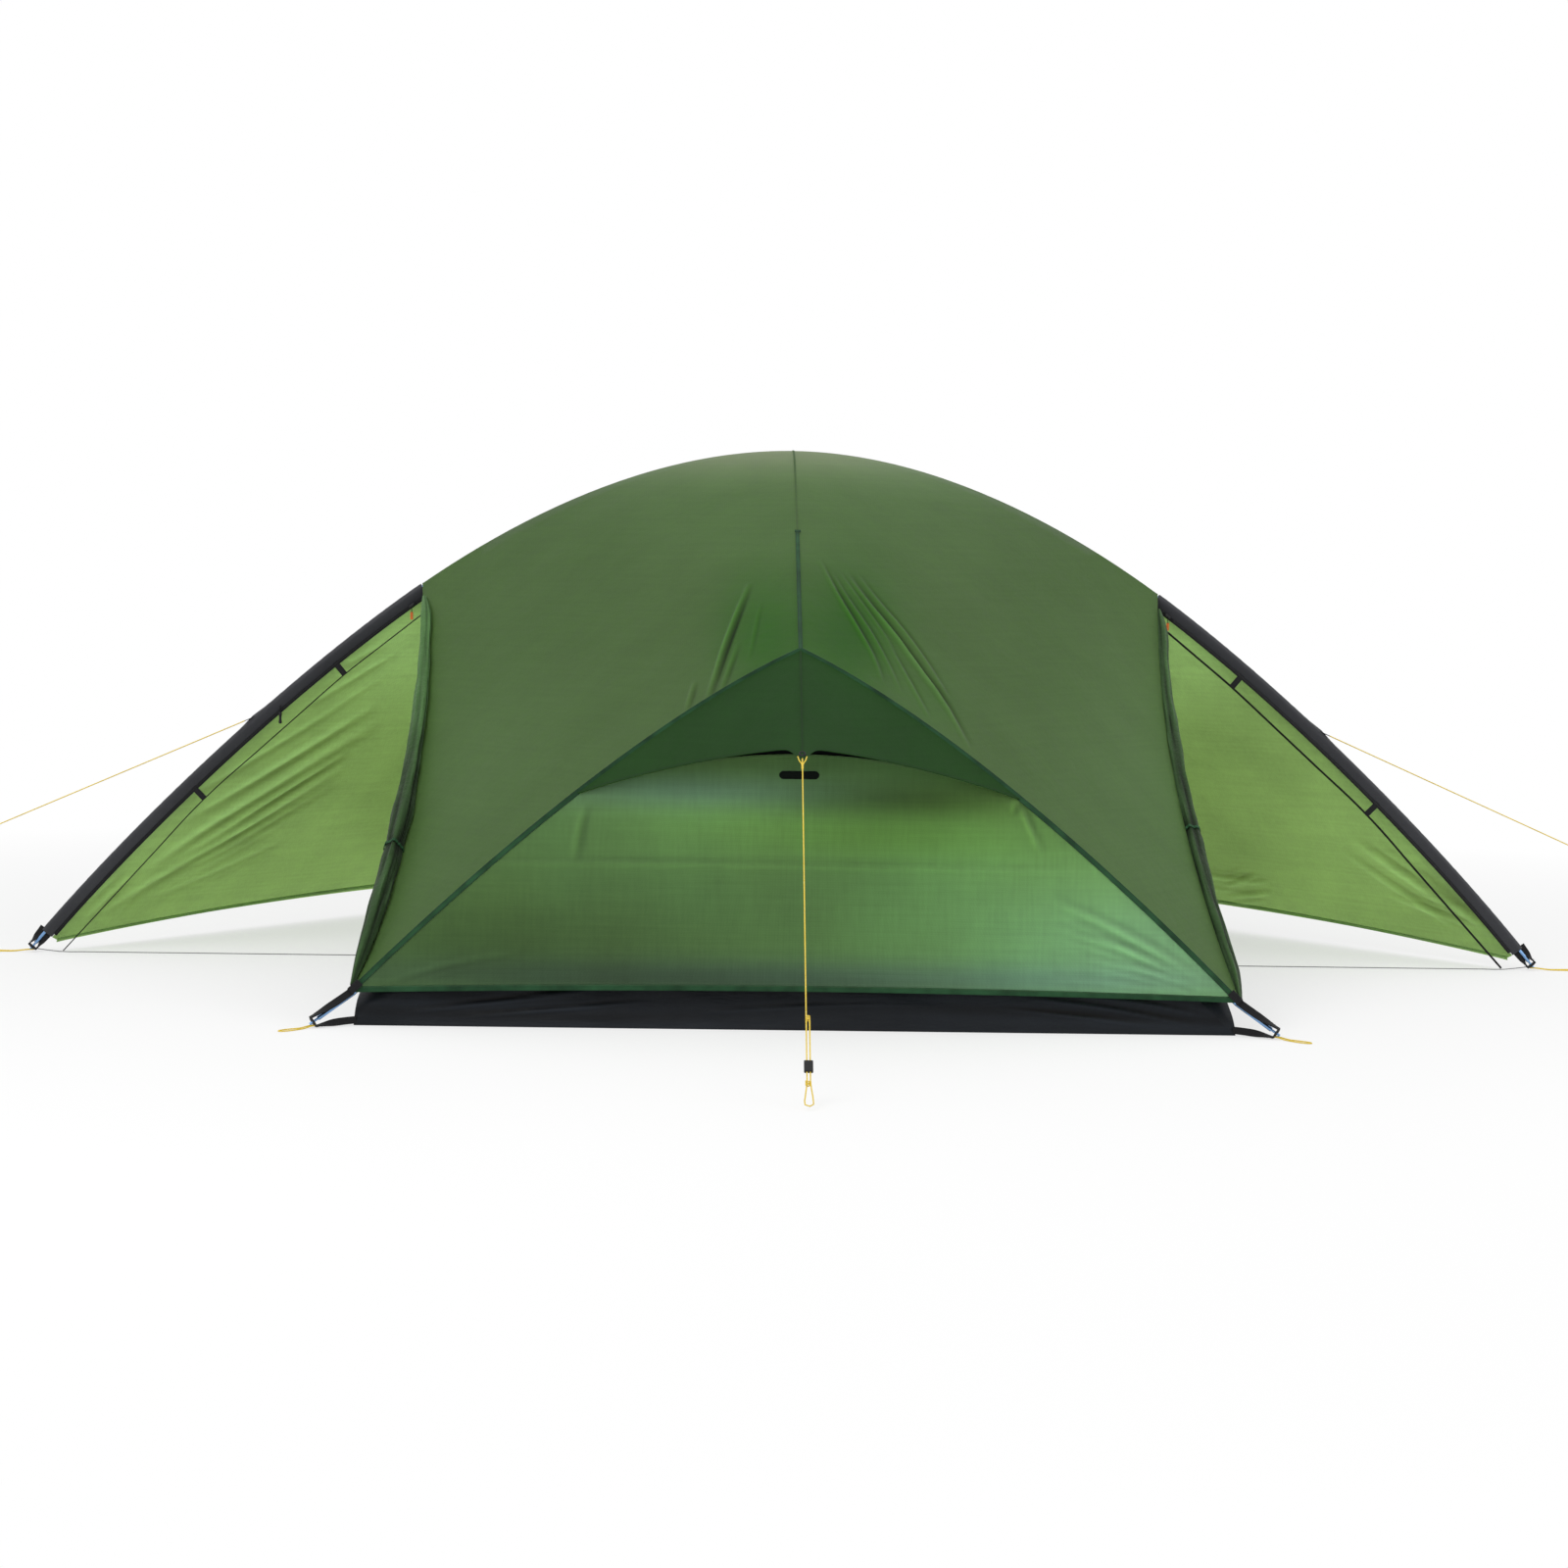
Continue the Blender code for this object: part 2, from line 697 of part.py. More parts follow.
def porch_grid():
    # The closed rear half of a porch: the arch, the hem and the seam on the cabin
    below = SLEEVE_TAIL + SEAM_GAP + CLOTH / 2
    top = np.array([walk(RIDGE, s) - up_from_arch(s) * below for s in sleeve_places()])
    hem_foot = vec(PORCH_HEM_X, -PORCH_HEM_Y, PORCH_HEM_Z)
    hem = bowed(CORNER, hem_foot, (0, 0, PORCH_HEM_RISE))
    seam = resample(SIDE_EDGE, 10)
    blend = np.clip(1 - np.linspace(0, 1, 11) / PORCH_TOP_SHARE, 0, 1)[:, None]
    seam = seam + (top[0] - seam[0]) * blend
    foot_edge = bowed(top[-1], hem[-1], (0, 0, 0), 10)
    return coons(top, resample(hem, SLEEVE_RINGS - 1), seam, foot_edge)


def make_porches():
    grid = trim(porch_grid(), start=(INSET_PORCH, INSET_PORCH))
    for side, sx in SIDES.items():
        cloth(f"porch_panel_{side}", mirrored(grid, sx, -1), FLY_GREEN)


def roll_radius(side, t):
    # Swells from the top to its fullest place and thins again to the bottom
    top, full, bottom = ROLL_RADII[side]
    fullest = ROLL_FULLEST[side]
    ends = top if t < fullest else bottom
    reach = t / fullest if t < fullest else (1 - t) / (1 - fullest)
    return ends + (full - ends) * math.sin(reach * math.pi / 2) ** 2


def make_rolled_doors():
    # The front half of each porch, rolled up along the cabin's side edge
    grid = roof_grid()
    run = distances(SIDE_EDGE)[-1]
    inner_line = grid[:, -2]
    for side, sx in SIDES.items():
        rings = []
        for k, t in enumerate(np.linspace(ROLL_START, ROLL_END, ROLL_RINGS)):
            edge = walk(SIDE_EDGE, t * run)
            along = tangent(SIDE_EDGE, t * run)
            inner = walk(inner_line, t * distances(inner_line)[-1])
            out = edge - inner
            out = unit(out - along * float(out @ along))
            over = np.cross(along, out)
            radius = roll_radius(side, (t - ROLL_START) / (ROLL_END - ROLL_START))
            ring = []
            for j in range(ROLL_SIDES):
                turn = 2 * math.pi * j / ROLL_SIDES
                fold = 1 - ROLL_FOLD_DEPTH * (0.5 + 0.5 * math.cos(ROLL_FOLDS * turn + 0.35 * k))
                reach = radius * fold
                ring.append(reach * (math.cos(turn) * out + math.sin(turn) * over))
            ring = np.array(ring)
            ring = ring + edge + out * (SEAM_GAP - float((ring @ out).min()))
            rings.append(mirrored(ring, sx, 1))
        loft(f"rolled_door_{side}", rings, ROLL_GREEN)


# Poles
def pole(name, line, start, end, spigot=False, socket=None, start_tip=False, end_tip=False):
    # A tube along part of the line; it runs straight in a hub and round a socket
    count = math.ceil((end - start) / POLE_SPACING)
    places = list(np.linspace(start, end, count + 1))
    if start < HUB_STRAIGHT and not start_tip:
        places = [start, *np.linspace(HUB_STRAIGHT, end, count)]
    if end > distances(line)[-1] - HUB_STRAIGHT and not end_tip and socket != "end":
        places = [*np.linspace(start, distances(line)[-1] - HUB_STRAIGHT, count), end]
    if spigot:
        places[1:1] = [start + FERRULE]
    if socket == "start":
        places[1:1] = [start + FERRULE, start + SOCKET_STRAIGHT]
    if socket == "end":
        places[-1:-1] = [end - SOCKET_STRAIGHT, end - FERRULE]
    radii = [POLE_RADIUS] * len(places)
    if spigot:
        places = [start - SPIGOT_LENGTH, start - STEP, *places]
        radii = [SPIGOT_RADIUS, SPIGOT_RADIUS, *radii]
    if start_tip:
        places = [start, start + TIP_LENGTH, start + TIP_LENGTH + STEP, *places[1:]]
        radii = [TIP_RADIUS, TIP_RADIUS, POLE_RADIUS, *radii[1:]]
    if end_tip:
        places = [*places[:-1], end - TIP_LENGTH - STEP, end - TIP_LENGTH, end]
        radii = [*radii[:-1], POLE_RADIUS, TIP_RADIUS, TIP_RADIUS]
    piece = tube(name, walk(line, np.array(places)), POLE_RADIUS, POLE_BLUE, radii=radii)
    if socket:
        bore = np.array([-BORE_OVERRUN, 0.0, FERRULE, SPIGOT_LENGTH + GAP])
        bore = start + bore if socket == "start" else end - bore
        cut(piece, tube(name + "_bore", walk(line, bore), SOCKET_RADIUS, POLE_BLUE, CUTTERS))


def make_ridge_pole():
    line = np.vstack([mirrored(RIDGE, -1, 1)[::-1], RIDGE[1:]])
    length = distances(line)[-1] / RIDGE_SECTIONS
    for k in range(RIDGE_SECTIONS):
        first = k == 0
        last = k == RIDGE_SECTIONS - 1
        pole(
            f"ridge_pole_{k + 1}",
            line,
            k * length + (0 if first else GAP),
            (k + 1) * length,
            spigot=not first,
            socket=None if last else "end",
            start_tip=first,
            end_tip=last,
        )


def straight_start(line):
    return np.vstack([line[:1], part_of_line(line, HUB_STRAIGHT, distances(line)[-1])])


def spine_line():
    # Passes under the ridge pole at the peak and comes up to the hub at the nose
    t = np.linspace(0, 1, len(CENTRE_SEAM))[:, None]
    under = FLY_HEIGHT + 2 * POLE_RADIUS + SPINE_CLEAR
    at_peak = vec(0, 0, -under)
    at_nose = vec(0, LEG_BACK, -LEG_DROP)
    ease = np.clip(t / SPINE_EASE, 0, 1)
    ease = ease * ease * (3 - 2 * ease)
    eased = CENTRE_SEAM + at_peak * (1 - ease) + at_nose * ease
    return straight_start(eased[::-1])[::-1]


def leg_line():
    inside = LEG_SEAM + vec(0, LEG_BACK, -LEG_DROP)
    tip = vec(LEG_END_X, -LEG_END_Y, LEG_END_Z)
    return straight_start(np.vstack([inside, bowed(inside[-1], tip, (0, 0, 0), 8)[1:]]))


HALF_SPINE = spine_line()
LEG = leg_line()
LEG_RUN = distances(LEG)[-1]


def make_end_frame(end, sy):
    # Spine pole, hub and two legs of one end
    spine = mirrored(HALF_SPINE, 1, -sy)
    other = mirrored(HALF_SPINE, 1, sy)
    whole = np.vstack([other[::-1], spine[1:]])
    half_run = distances(spine)[-1]
    far = 2 * half_run - HUB_BORE_START - GAP
    if end == "front":
        pole("spine_pole_front", whole, half_run + GAP, far, spigot=True)
    else:
        pole("spine_pole_rear", whole, half_run, far, socket="start")
    centre = spine[-1]
    hub = ball(f"pole_hub_{end}", HUB_BALL_RADIUS, HUB_GREY, centre)
    arms = {"spine": spine[::-1]}
    for side, sx in SIDES.items():
        leg = mirrored(LEG, sx, -sy)
        arms[side] = leg
        pole(f"leg_pole_{end}_{side}", leg, HUB_BORE_START + GAP, LEG_RUN, end_tip=True)
    reach = np.array([0.0, HUB_REACH])
    bore = np.array([HUB_BORE_START, HUB_REACH + BORE_OVERRUN])
    for arm, line in arms.items():
        name = f"hub_{end}_{arm}"
        join(hub, tube(name, walk(line, reach), HUB_RADIUS, HUB_GREY, CUTTERS))
    for arm, line in arms.items():
        name = f"hub_bore_{end}_{arm}"
        cut(hub, tube(name, walk(line, bore), HUB_BORE_RADIUS, HUB_GREY, CUTTERS))


# Sleeves on the arch over the porches
def sleeve_ring(where):
    # A teardrop round the pole whose tail carries the porch cloth
    centre = walk(RIDGE, where)
    up = up_from_arch(where)
    ring = []
    for j in range(SLEEVE_SIDES):
        turn = 2 * math.pi * j / SLEEVE_SIDES
        side = math.sin(turn) * SLEEVE_HALF_WIDTH
        high = math.cos(turn)
        if high >= 0:
            ring.append(centre + vec(0, side, 0) + up * high * SLEEVE_TOP)
        else:
            narrow = 1 + high * SLEEVE_NARROWING
            ring.append(centre + vec(0, side * narrow, 0) + up * high * SLEEVE_TAIL)
    return np.array(ring)


def make_sleeves():
    places = sleeve_places()
    for side, sx in SIDES.items():
        rings = [mirrored(sleeve_ring(s), sx, 1) for s in places]
        sleeve = loft(f"arch_sleeve_{side}", rings, SLEEVE_BLACK)
        for k, x in enumerate(TAB_X):
            where = where_x(RIDGE, x)
            up = up_from_arch(where)
            middle = walk(RIDGE, where) - up * (SLEEVE_TAIL - TAB_ROOT + TAB_DROP / 2)
            middle[1] = -CLOTH - SEAM_GAP
            along = mirrored(tangent(RIDGE, where), sx, 1)
            frame = frame_at(mirrored(middle, sx, 1), along, mirrored(up, sx, 1))
            size = (TAB_WIDTH, TAB_DROP + TAB_ROOT, CLOTH)
            join(sleeve, box(f"tab_{side}_{k}", size, SLEEVE_BLACK, frame, collection=CUTTERS))
        root, out = guy_start()
        middle = root + out * (GUY_TAB_LENGTH / 2 - GUY_TAB_ROOT)
        frame = frame_at(mirrored(middle, sx, 1), mirrored(out, sx, 1), (0, 1, 0))
        size = (GUY_TAB_LENGTH, GUY_TAB_WIDTH, WEBBING_THICKNESS)
        join(sleeve, box(f"guy_tab_{side}", size, SLEEVE_BLACK, frame, collection=CUTTERS))
        bore = np.concatenate(
            [[places[0] - BORE_OVERRUN], places, [places[-1] + BORE_OVERRUN]]
        )
        line = mirrored(walk(RIDGE, bore), sx, 1)
        name = f"sleeve_bore_{side}"
        cut(sleeve, tube(name, line, SLEEVE_BORE_RADIUS, SLEEVE_BLACK, CUTTERS))


def guy_start():
    # Where the ridge guyline's tab leaves the sleeve, and its direction
    where = where_x(RIDGE, GUY_TAB_X)
    root = walk(RIDGE, where) + up_from_arch(where) * (SLEEVE_TOP - GUY_TAB_SINK)
    return root, vec(math.cos(GUY_SLOPE), 0, -math.sin(GUY_SLOPE))


# Inner tent, for the quarter at plus X and minus Y
INNER_NOSE = vec(0, -INNER_NOSE_Y, INNER_NOSE_Z)
FLOOR_CORNER = vec(FLOOR_X, -FLOOR_Y, 0)
INNER_PEAK = vec(0, 0, INNER_HEIGHT)
SIDE_PEAK = vec(INNER_PEAK_X, 0, INNER_PEAK_Z)


def end_plane(x, z):
    # The inner end wall leans back from the floor's edge to the inner nose
    return vec(x, -FLOOR_Y + (FLOOR_Y - INNER_NOSE_Y) * z / INNER_NOSE_Z, z)


def inner_leg_seam():
    flat = bezier(
        (0, INNER_NOSE_Z),
        (
            INNER_SEAM_REACH * math.cos(INNER_NOSE_SLOPE),
            INNER_NOSE_Z - INNER_SEAM_REACH * math.sin(INNER_NOSE_SLOPE),
        ),
        (
            FLOOR_X - INNER_SEAM_REACH * math.cos(INNER_CORNER_SLOPE),
            INNER_SEAM_REACH * math.sin(INNER_CORNER_SLOPE),
        ),
        (FLOOR_X, 0),
    )
    return np.array([end_plane(x, z) for x, z in flat])


def inner_ridge():
    slope = vec(math.cos(INNER_SHOULDER_SLOPE), 0, -math.sin(INNER_SHOULDER_SLOPE))
    return bezier(
        INNER_PEAK,
        INNER_PEAK + vec(INNER_CROWN_REACH, 0, 0),
        SIDE_PEAK - slope * INNER_SHOULDER_REACH,
        SIDE_PEAK,
    )


def side_seam():
    # In the side wall's plane, bowed towards the middle of the wall's foot
    rise = SIDE_PEAK - vec(FLOOR_X, 0, 0)
    height = float(np.linalg.norm(rise))
    span = math.hypot(FLOOR_Y, height)
    bow = vec(0, 1, 0) * height / span - rise / height * FLOOR_Y / span
    return bowed(SIDE_PEAK, FLOOR_CORNER, bow * INNER_SIDE_SAG)


INNER_LEG_SEAM = inner_leg_seam()
INNER_SIDE_SEAM = side_seam()


def at_height(line, z):
    falling = line[::-1]
    return np.array([np.interp(z, falling[:, 2], falling[:, k]) for k in range(3)])


def rim_points():
    # Where the tub's rim meets the inner end wall's seam and the inner side wall's seam
    return at_height(INNER_LEG_SEAM, TUB_HEIGHT), at_height(INNER_SIDE_SEAM, TUB_HEIGHT)


def make_floor():
    # A tub: flat floor, four walls and a facet across each corner
    on_end, on_side = rim_points()
    order = [(1, -1), (1, 1), (-1, 1), (-1, -1)]
    base = [mirrored(FLOOR_CORNER, sx, -sy) for sx, sy in order]
    rim = []
    for k, (sx, sy) in enumerate(order):
        pair = [mirrored(on_end, sx, -sy), mirrored(on_side, sx, -sy)]
        rim += pair if k % 2 == 0 else pair[::-1]
    faces = [(0, 3, 2, 1)]
    for k in range(4):
        after = (k + 1) % 4
        faces.append((k, 4 + 2 * k + 1, 4 + 2 * k))
        faces.append((k, after, 4 + 2 * after, 4 + 2 * k + 1))
    mesh = mesh_of("tub_floor", base + rim, faces)
    face_outward(mesh)
    if mesh.polygons[0].normal.z > 0:
        mesh.flip_normals()
    floor = place("tub_floor", mesh, FLOOR_BLACK)
    thicken(floor, CLOTH, offset=-1.0)


def make_inner_roof():
    grid = coons(
        resample(inner_ridge(), 8),
        resample(INNER_LEG_SEAM, 8),
        resample(falling_seam(INNER_PEAK, INNER_NOSE, SPINE_CROWN_REACH, SPINE_REACH), 7),
        resample(INNER_SIDE_SEAM, 7),
    )
    grid = trim(grid, far=(INSET_INNER, INSET_INNER), end=(INSET_INNER, INSET_INNER))
    grid[0, :, 1] = 0.0
    grid[:, 0, 0] = 0.0
    rows, columns = grid.shape[:2]
    faces = []
    for r in range(rows - 1):
        for c in range(columns - 1):
            a = r * columns + c
            faces.append((a, a + 1, a + columns + 1, a + columns))
    mesh = mesh_of("inner_roof", grid.reshape(-1, 3), faces)
    shape = bmesh.new()
    shape.from_mesh(mesh)
    bmesh.ops.bisect_plane(
        shape,
        geom=shape.verts[:] + shape.edges[:] + shape.faces[:],
        plane_co=(0, 0, TUB_HEIGHT + ROOF_LIFT),
        plane_no=(0, 0, 1),
        clear_inner=True,
    )
    shape.to_mesh(mesh)
    shape.free()
    roof = place("inner_roof", mesh, INNER_CLOTH)
    set_smooth(roof)
    whole = roof.modifiers.new("quarters", "MIRROR")
    whole.use_axis = (True, True, False)
    whole.merge_threshold = 0.00001
    thicken(roof, CLOTH)


def inset_outline(points, amounts):
    # Moves each edge of a closed outline inwards by its own amount; points run anticlockwise
    points = [np.asarray(p, dtype=float) for p in points]
    lines = []
    for k, p in enumerate(points):
        q = points[(k + 1) % len(points)]
        along = unit(q - p)
        inward = np.array([-along[1], along[0]])
        lines.append((p + inward * amounts[k], along))
    moved = []
    for k in range(len(points)):
        (p, d), (q, e) = lines[k - 1], lines[k]
        cross = d[0] * e[1] - d[1] * e[0]
        if abs(cross) < 1e-6:
            moved.append(q)
            continue
        r = q - p
        moved.append(p + d * (r[0] * e[1] - r[1] * e[0]) / cross)
    return moved


def rounded(points, radius, steps=3):
    # An outline with each corner turned by an arc
    points = [np.asarray(p, dtype=float) for p in points]
    out = []
    for k, corner in enumerate(points):
        before = unit(points[k - 1] - corner)
        after = unit(points[(k + 1) % len(points)] - corner)
        half = math.acos(float(np.clip(before @ after, -1, 1))) / 2
        centre = corner + unit(before + after) * radius / math.sin(half)
        a = corner + before * radius / math.tan(half) - centre
        b = corner + after * radius / math.tan(half) - centre
        for s in range(steps + 1):
            blend = a * (1 - s / steps) + b * s / steps
            out.append(centre + unit(blend) * radius)
    return out


def make_inner_end_walls():
    lean = unit(vec(0, FLOOR_Y - INNER_NOSE_Y, INNER_NOSE_Z))
    stretch = 1 / lean[2]
    seam = resample(INNER_LEG_SEAM, 12)
    low = TUB_HEIGHT + SEAM_GAP
    start = at_height(INNER_LEG_SEAM, low)
    right = [start] + [p for p in seam[::-1] if p[2] > low + RIM_CLEAR]
    half = [(p[0], p[2] * stretch) for p in right]
    outline = half + [(-x, y) for x, y in half[-2::-1]]
    amounts = [INSET_INNER] * (len(outline) - 1) + [0.0]
    outline = inset_outline(outline, amounts)
    for end, sy in ENDS.items():
        up = vec(0, -sy * lean[1], lean[2])
        frame = frame_at(vec(0, sy * FLOOR_Y, 0), (1, 0, 0), up)
        plate(f"inner_end_wall_{end}", outline, INNER_CLOTH, CLOTH, frame)


def side_wall_lines():
    # Plane of the right inner side wall: along its floor edge and up its slope
    up = unit(SIDE_PEAK - vec(FLOOR_X, 0, 0))
    height = np.linalg.norm(SIDE_PEAK - vec(FLOOR_X, 0, 0))
    return up, height


def door_outline():
    # In the side wall's plane: along Y and up the slope, hinge edge first
    up, height = side_wall_lines()
    sill = DOOR_SILL
    rise = height / FLOOR_Y
    drop = DOOR_MARGIN / math.cos(math.atan(rise))

    def top(y):
        return height - rise * abs(y) - drop

    far = (height - drop - sill - DOOR_END_HEIGHT) / rise
    return [
        (-DOOR_HINGE_Y, sill),
        (-DOOR_HINGE_Y, top(DOOR_HINGE_Y)),
        (-far, sill + DOOR_END_HEIGHT),
        (-far, sill),
    ]


def make_side_walls_and_doors():
    up, height = side_wall_lines()
    low = TUB_HEIGHT + SEAM_GAP
    start = at_height(INNER_SIDE_SEAM, low)
    seam = [start] + [p for p in resample(INNER_SIDE_SEAM, 8)[::-1] if p[2] > low + RIM_CLEAR]
    half = [(p[1], p[2] / up[2]) for p in seam]
    wall = half + [(-y, z) for y, z in half[-2::-1]]
    wall = wall[::-1]
    wall = inset_outline(wall, [INSET_INNER] * (len(wall) - 1) + [0.0])
    doorway = rounded(door_outline(), DOOR_CORNER)
    leaf = inset_outline(door_outline(), [DOOR_HINGE_GAP, DOOR_GAP, DOOR_GAP, DOOR_GAP])
    leaf = rounded(leaf, DOOR_CORNER)
    hinge_y = -DOOR_HINGE_Y - DOOR_HINGE_GAP
    hinge_rise = DOOR_SILL + DOOR_ORIGIN_RISE
    hinge = vec(FLOOR_X, hinge_y, 0) + up * hinge_rise
    edge = np.array([(x - hinge_y, y - hinge_rise) for x, y in leaf])
    bead = edge[edge[:, 0] > -STEP][:, 1]
    leaf_rings = [np.column_stack([edge, edge[:, 0] * 0 + z]) for z in (-CLOTH / 2, CLOTH / 2)]
    for side, sx in SIDES.items():
        slope = mirrored(up, sx, 1)
        frame = frame_at(vec(sx * FLOOR_X, 0, 0), (0, 1, 0), slope)
        plate(f"inner_side_wall_{side}", wall, INNER_CLOTH, CLOTH, frame, holes=[doorway])
        door = loft(f"inner_door_{side}", leaf_rings, DOOR_MESH)
        door.matrix_world = frame_at(mirrored(hinge, sx, 1), (0, 1, 0), slope)
        middle = mirrored(hinge + up * (bead.min() + bead.max()) / 2, sx, 1)
        length = float(bead.max() - bead.min()) - 2 * DOOR_PIPING
        frame = frame_at(middle, np.cross((0, 1, 0), slope), (0, 1, 0))
        name = f"door_piping_{side}"
        join(door, rod(name, DOOR_PIPING, length, DOOR_MESH, frame, 12, CUTTERS))


# Webbing that holds the pole tips
def strap(name, start, end, wide, collection):
    along = end - start
    frame = frame_at((start + end) / 2, along, wide)
    size = (float(np.linalg.norm(along)), WEBBING_WIDTH, WEBBING_THICKNESS)
    return box(name, size, WEBBING, frame, collection=collection)


def tip_plate(name, centre, axis, targets):
    # A round plate with a hole for the pole tip, and straps from it to the targets
    flat = unit(np.cross(axis, vec(0, 0, 1)))
    upward = unit(np.cross(flat, axis))
    frame = frame_at(centre, flat, upward)
    piece = rod(name, PLATE_RADIUS, PLATE_THICKNESS, WEBBING, frame, sides=20)
    for k, target in enumerate(targets):
        shift = STRAP_OFFSET if k == 0 else -STRAP_OFFSET
        start = centre + upward * shift
        overlap = unit(start - target) * (PLATE_THICKNESS / 4)
        join(piece, strap(f"{name}_strap_{k}", start + overlap, target, flat, CUTTERS))
    depth = PLATE_THICKNESS + 2 * BORE_OVERRUN
    cut(piece, rod(name + "_hole", PLATE_HOLE, depth, WEBBING, frame, 16, CUTTERS))


def plate_frame(line):
    run = distances(line)[-1]
    return walk(line, run - PLATE_BACK), tangent(line, run - PLATE_BACK)


def make_corners():
    for end, sy in ENDS.items():
        for side, sx in SIDES.items():
            line = mirrored(LEG, sx, -sy)
            centre, axis = plate_frame(line)
            outward = unit(vec(sx * 1.0, sy * 1.0, 0))
            upward = unit(np.cross(unit(np.cross(axis, vec(0, 0, 1))), axis))
            fly = mirrored(CORNER, sx, -sy)
            clear = CORNER_CLEAR[end]
            fly = fly + unit(centre + upward * STRAP_OFFSET - fly) * clear
            tub = mirrored(FLOOR_CORNER, sx, -sy) + outward * TUB_CLEAR + vec(0, 0, TUB_RISE)
            tip_plate(f"corner_strap_{end}_{side}", centre, axis, [fly, tub])


def make_feet():
    for side, sx in SIDES.items():
        line = mirrored(RIDGE, sx, 1)
        centre, axis = plate_frame(line)
        flat = unit(np.cross(axis, vec(0, 0, 1)))
        upward = unit(np.cross(flat, axis))
        back = -axis * FOOT_STRAP_LENGTH
        targets = [centre + upward * STRAP_OFFSET + back, centre - upward * STRAP_OFFSET + back]
        tip_plate(f"foot_strap_{side}", centre, axis, targets)


# Cords
def looped_end(length, loop, half_width, tail, spacing):
    # Distance along and across for a line that ends in a loop and comes back beside itself
    knot = (length - KNOT_LENGTH, length - KNOT_TIP, length)
    route = [(a, 0.0) for a in (*np.linspace(0, length - KNOT_LEAD, 8), *knot)]
    middle = -spacing / 2
    bend = length + loop - half_width
    side = [(length + loop * LOOP_SHOULDER, half_width * LOOP_FULLNESS), (bend, half_width)]
    side.append((bend + half_width * math.sin(math.pi / 4), half_width * math.cos(math.pi / 4)))
    route += [(a, middle + w) for a, w in side]
    route.append((length + loop, middle))
    route += [(a, middle - w) for a, w in side[::-1]]
    route += [(a, -spacing) for a in knot[::-1]]
    back = np.linspace(length - KNOT_LEAD, length - tail, 3)
    route += [(a, -spacing) for a in back if a < knot[0]]
    return route


def lay(route, start, along, wide):
    return [start + unit(along) * a + unit(wide) * w for a, w in route]


def make_hood_line():
    tip = vec(0, -HOOD_Y, HOOD_Z)
    end = vec(*HOOD_LINE_END)
    start = tip + unit(end - tip) * HOOD_LINE_CLEAR
    run = float(np.linalg.norm(end - start))
    length = run - HOOD_LOOP_LENGTH
    tail = length - HOOD_TAIL_TOP
    route = looped_end(length, HOOD_LOOP_LENGTH, HOOD_LOOP_HALF_WIDTH, tail, STRAND_SPACING)
    route = lay(route, start, end - start, vec(-1, 0, 0))
    points = smooth_through(route, HOOD_LINE_POINTS)
    tube_curve("hood_guyline", points, CORD_RADIUS, CORD_YELLOW)
    along = unit(end - start)
    middle = start + along * TENSIONER_AT + vec(STRAND_SPACING / 2, 0, 0)
    frame = frame_at(middle, (1, 0, 0), np.cross(vec(1, 0, 0), along))
    piece = box("guyline_tensioner", TENSIONER_SIZE, PLASTIC_BLACK, frame, bevel=2 * EDGE)
    depth = TENSIONER_SIZE[2] + 2 * BORE_OVERRUN
    for k, shift in enumerate((-STRAND_SPACING / 2, STRAND_SPACING / 2)):
        hole = frame_at(middle + vec(shift, 0, 0), (1, 0, 0), np.cross(vec(1, 0, 0), along))
        name = f"tensioner_bore_{k}"
        cut(piece, rod(name, TENSIONER_BORE, depth, PLASTIC_BLACK, hole, 12, CUTTERS))


def make_ridge_lines():
    root, out = guy_start()
    start = root + out * (GUY_TAB_LENGTH - GUY_TAB_ROOT + SEAM_GAP)
    length = (GUY_END_X - start[0]) / out[0]
    route = looped_end(
        length, GUY_LOOP_LENGTH, GUY_LOOP_HALF_WIDTH, GUY_TAIL_LENGTH, GUY_TAIL_SPACING
    )
    points = smooth_through(lay(route, start, out, vec(0, 1, 0)), GUY_LINE_POINTS)
    for side, sx in SIDES.items():
        tube_curve(f"ridge_guyline_{side}", mirrored(points, sx, 1), CORD_RADIUS, CORD_YELLOW)


def grounded(points, radius):
    # Keeps a cord that lies on the ground from dipping into it
    points[:, 2] = np.maximum(points[:, 2], radius + LOW)
    return points


def peg_loop(centre, axis, outward, reach):
    # Leaves the plate's outer face in two strands that lie on the ground and join at the peg
    flat = unit(np.cross(axis, vec(0, 0, 1)))
    upward = unit(np.cross(flat, axis))
    wide = unit(np.cross(outward, vec(0, 0, 1)))
    lean = math.sqrt(max(0.0, 1 - float(axis @ outward) ** 2))
    face = PLATE_THICKNESS / 2 + CORD_RADIUS * lean + SEAM_GAP
    exit_point = centre + axis * face - upward * PEG_LOOP_DROP
    low = CORD_RADIUS + LOW
    bend = exit_point + outward * (reach - LOOP_HALF_WIDTH)
    tip = exit_point + outward * reach
    landing = LOOP_HALF_WIDTH * PEG_LOOP_FULLNESS
    strands = []
    for hand in (1, -1):
        strand = [exit_point + flat * PEG_LOOP_SPREAD * hand]
        strand.append(strand[0] + outward * PEG_LOOP_LEAD)
        strand.append(exit_point + outward * reach * PEG_LOOP_LANDING + wide * landing * hand)
        strand.append(bend + wide * LOOP_HALF_WIDTH * hand)
        round_off = outward * math.sin(math.pi / 4) + wide * math.cos(math.pi / 4) * hand
        strand.append(bend + round_off * LOOP_HALF_WIDTH)
        for point in strand[2:]:
            point[2] = low
        strands.append(strand)
    tip[2] = low
    points = smooth_through([*strands[0], tip, *strands[1][::-1]], LOOP_POINTS)
    return grounded(points, CORD_RADIUS)


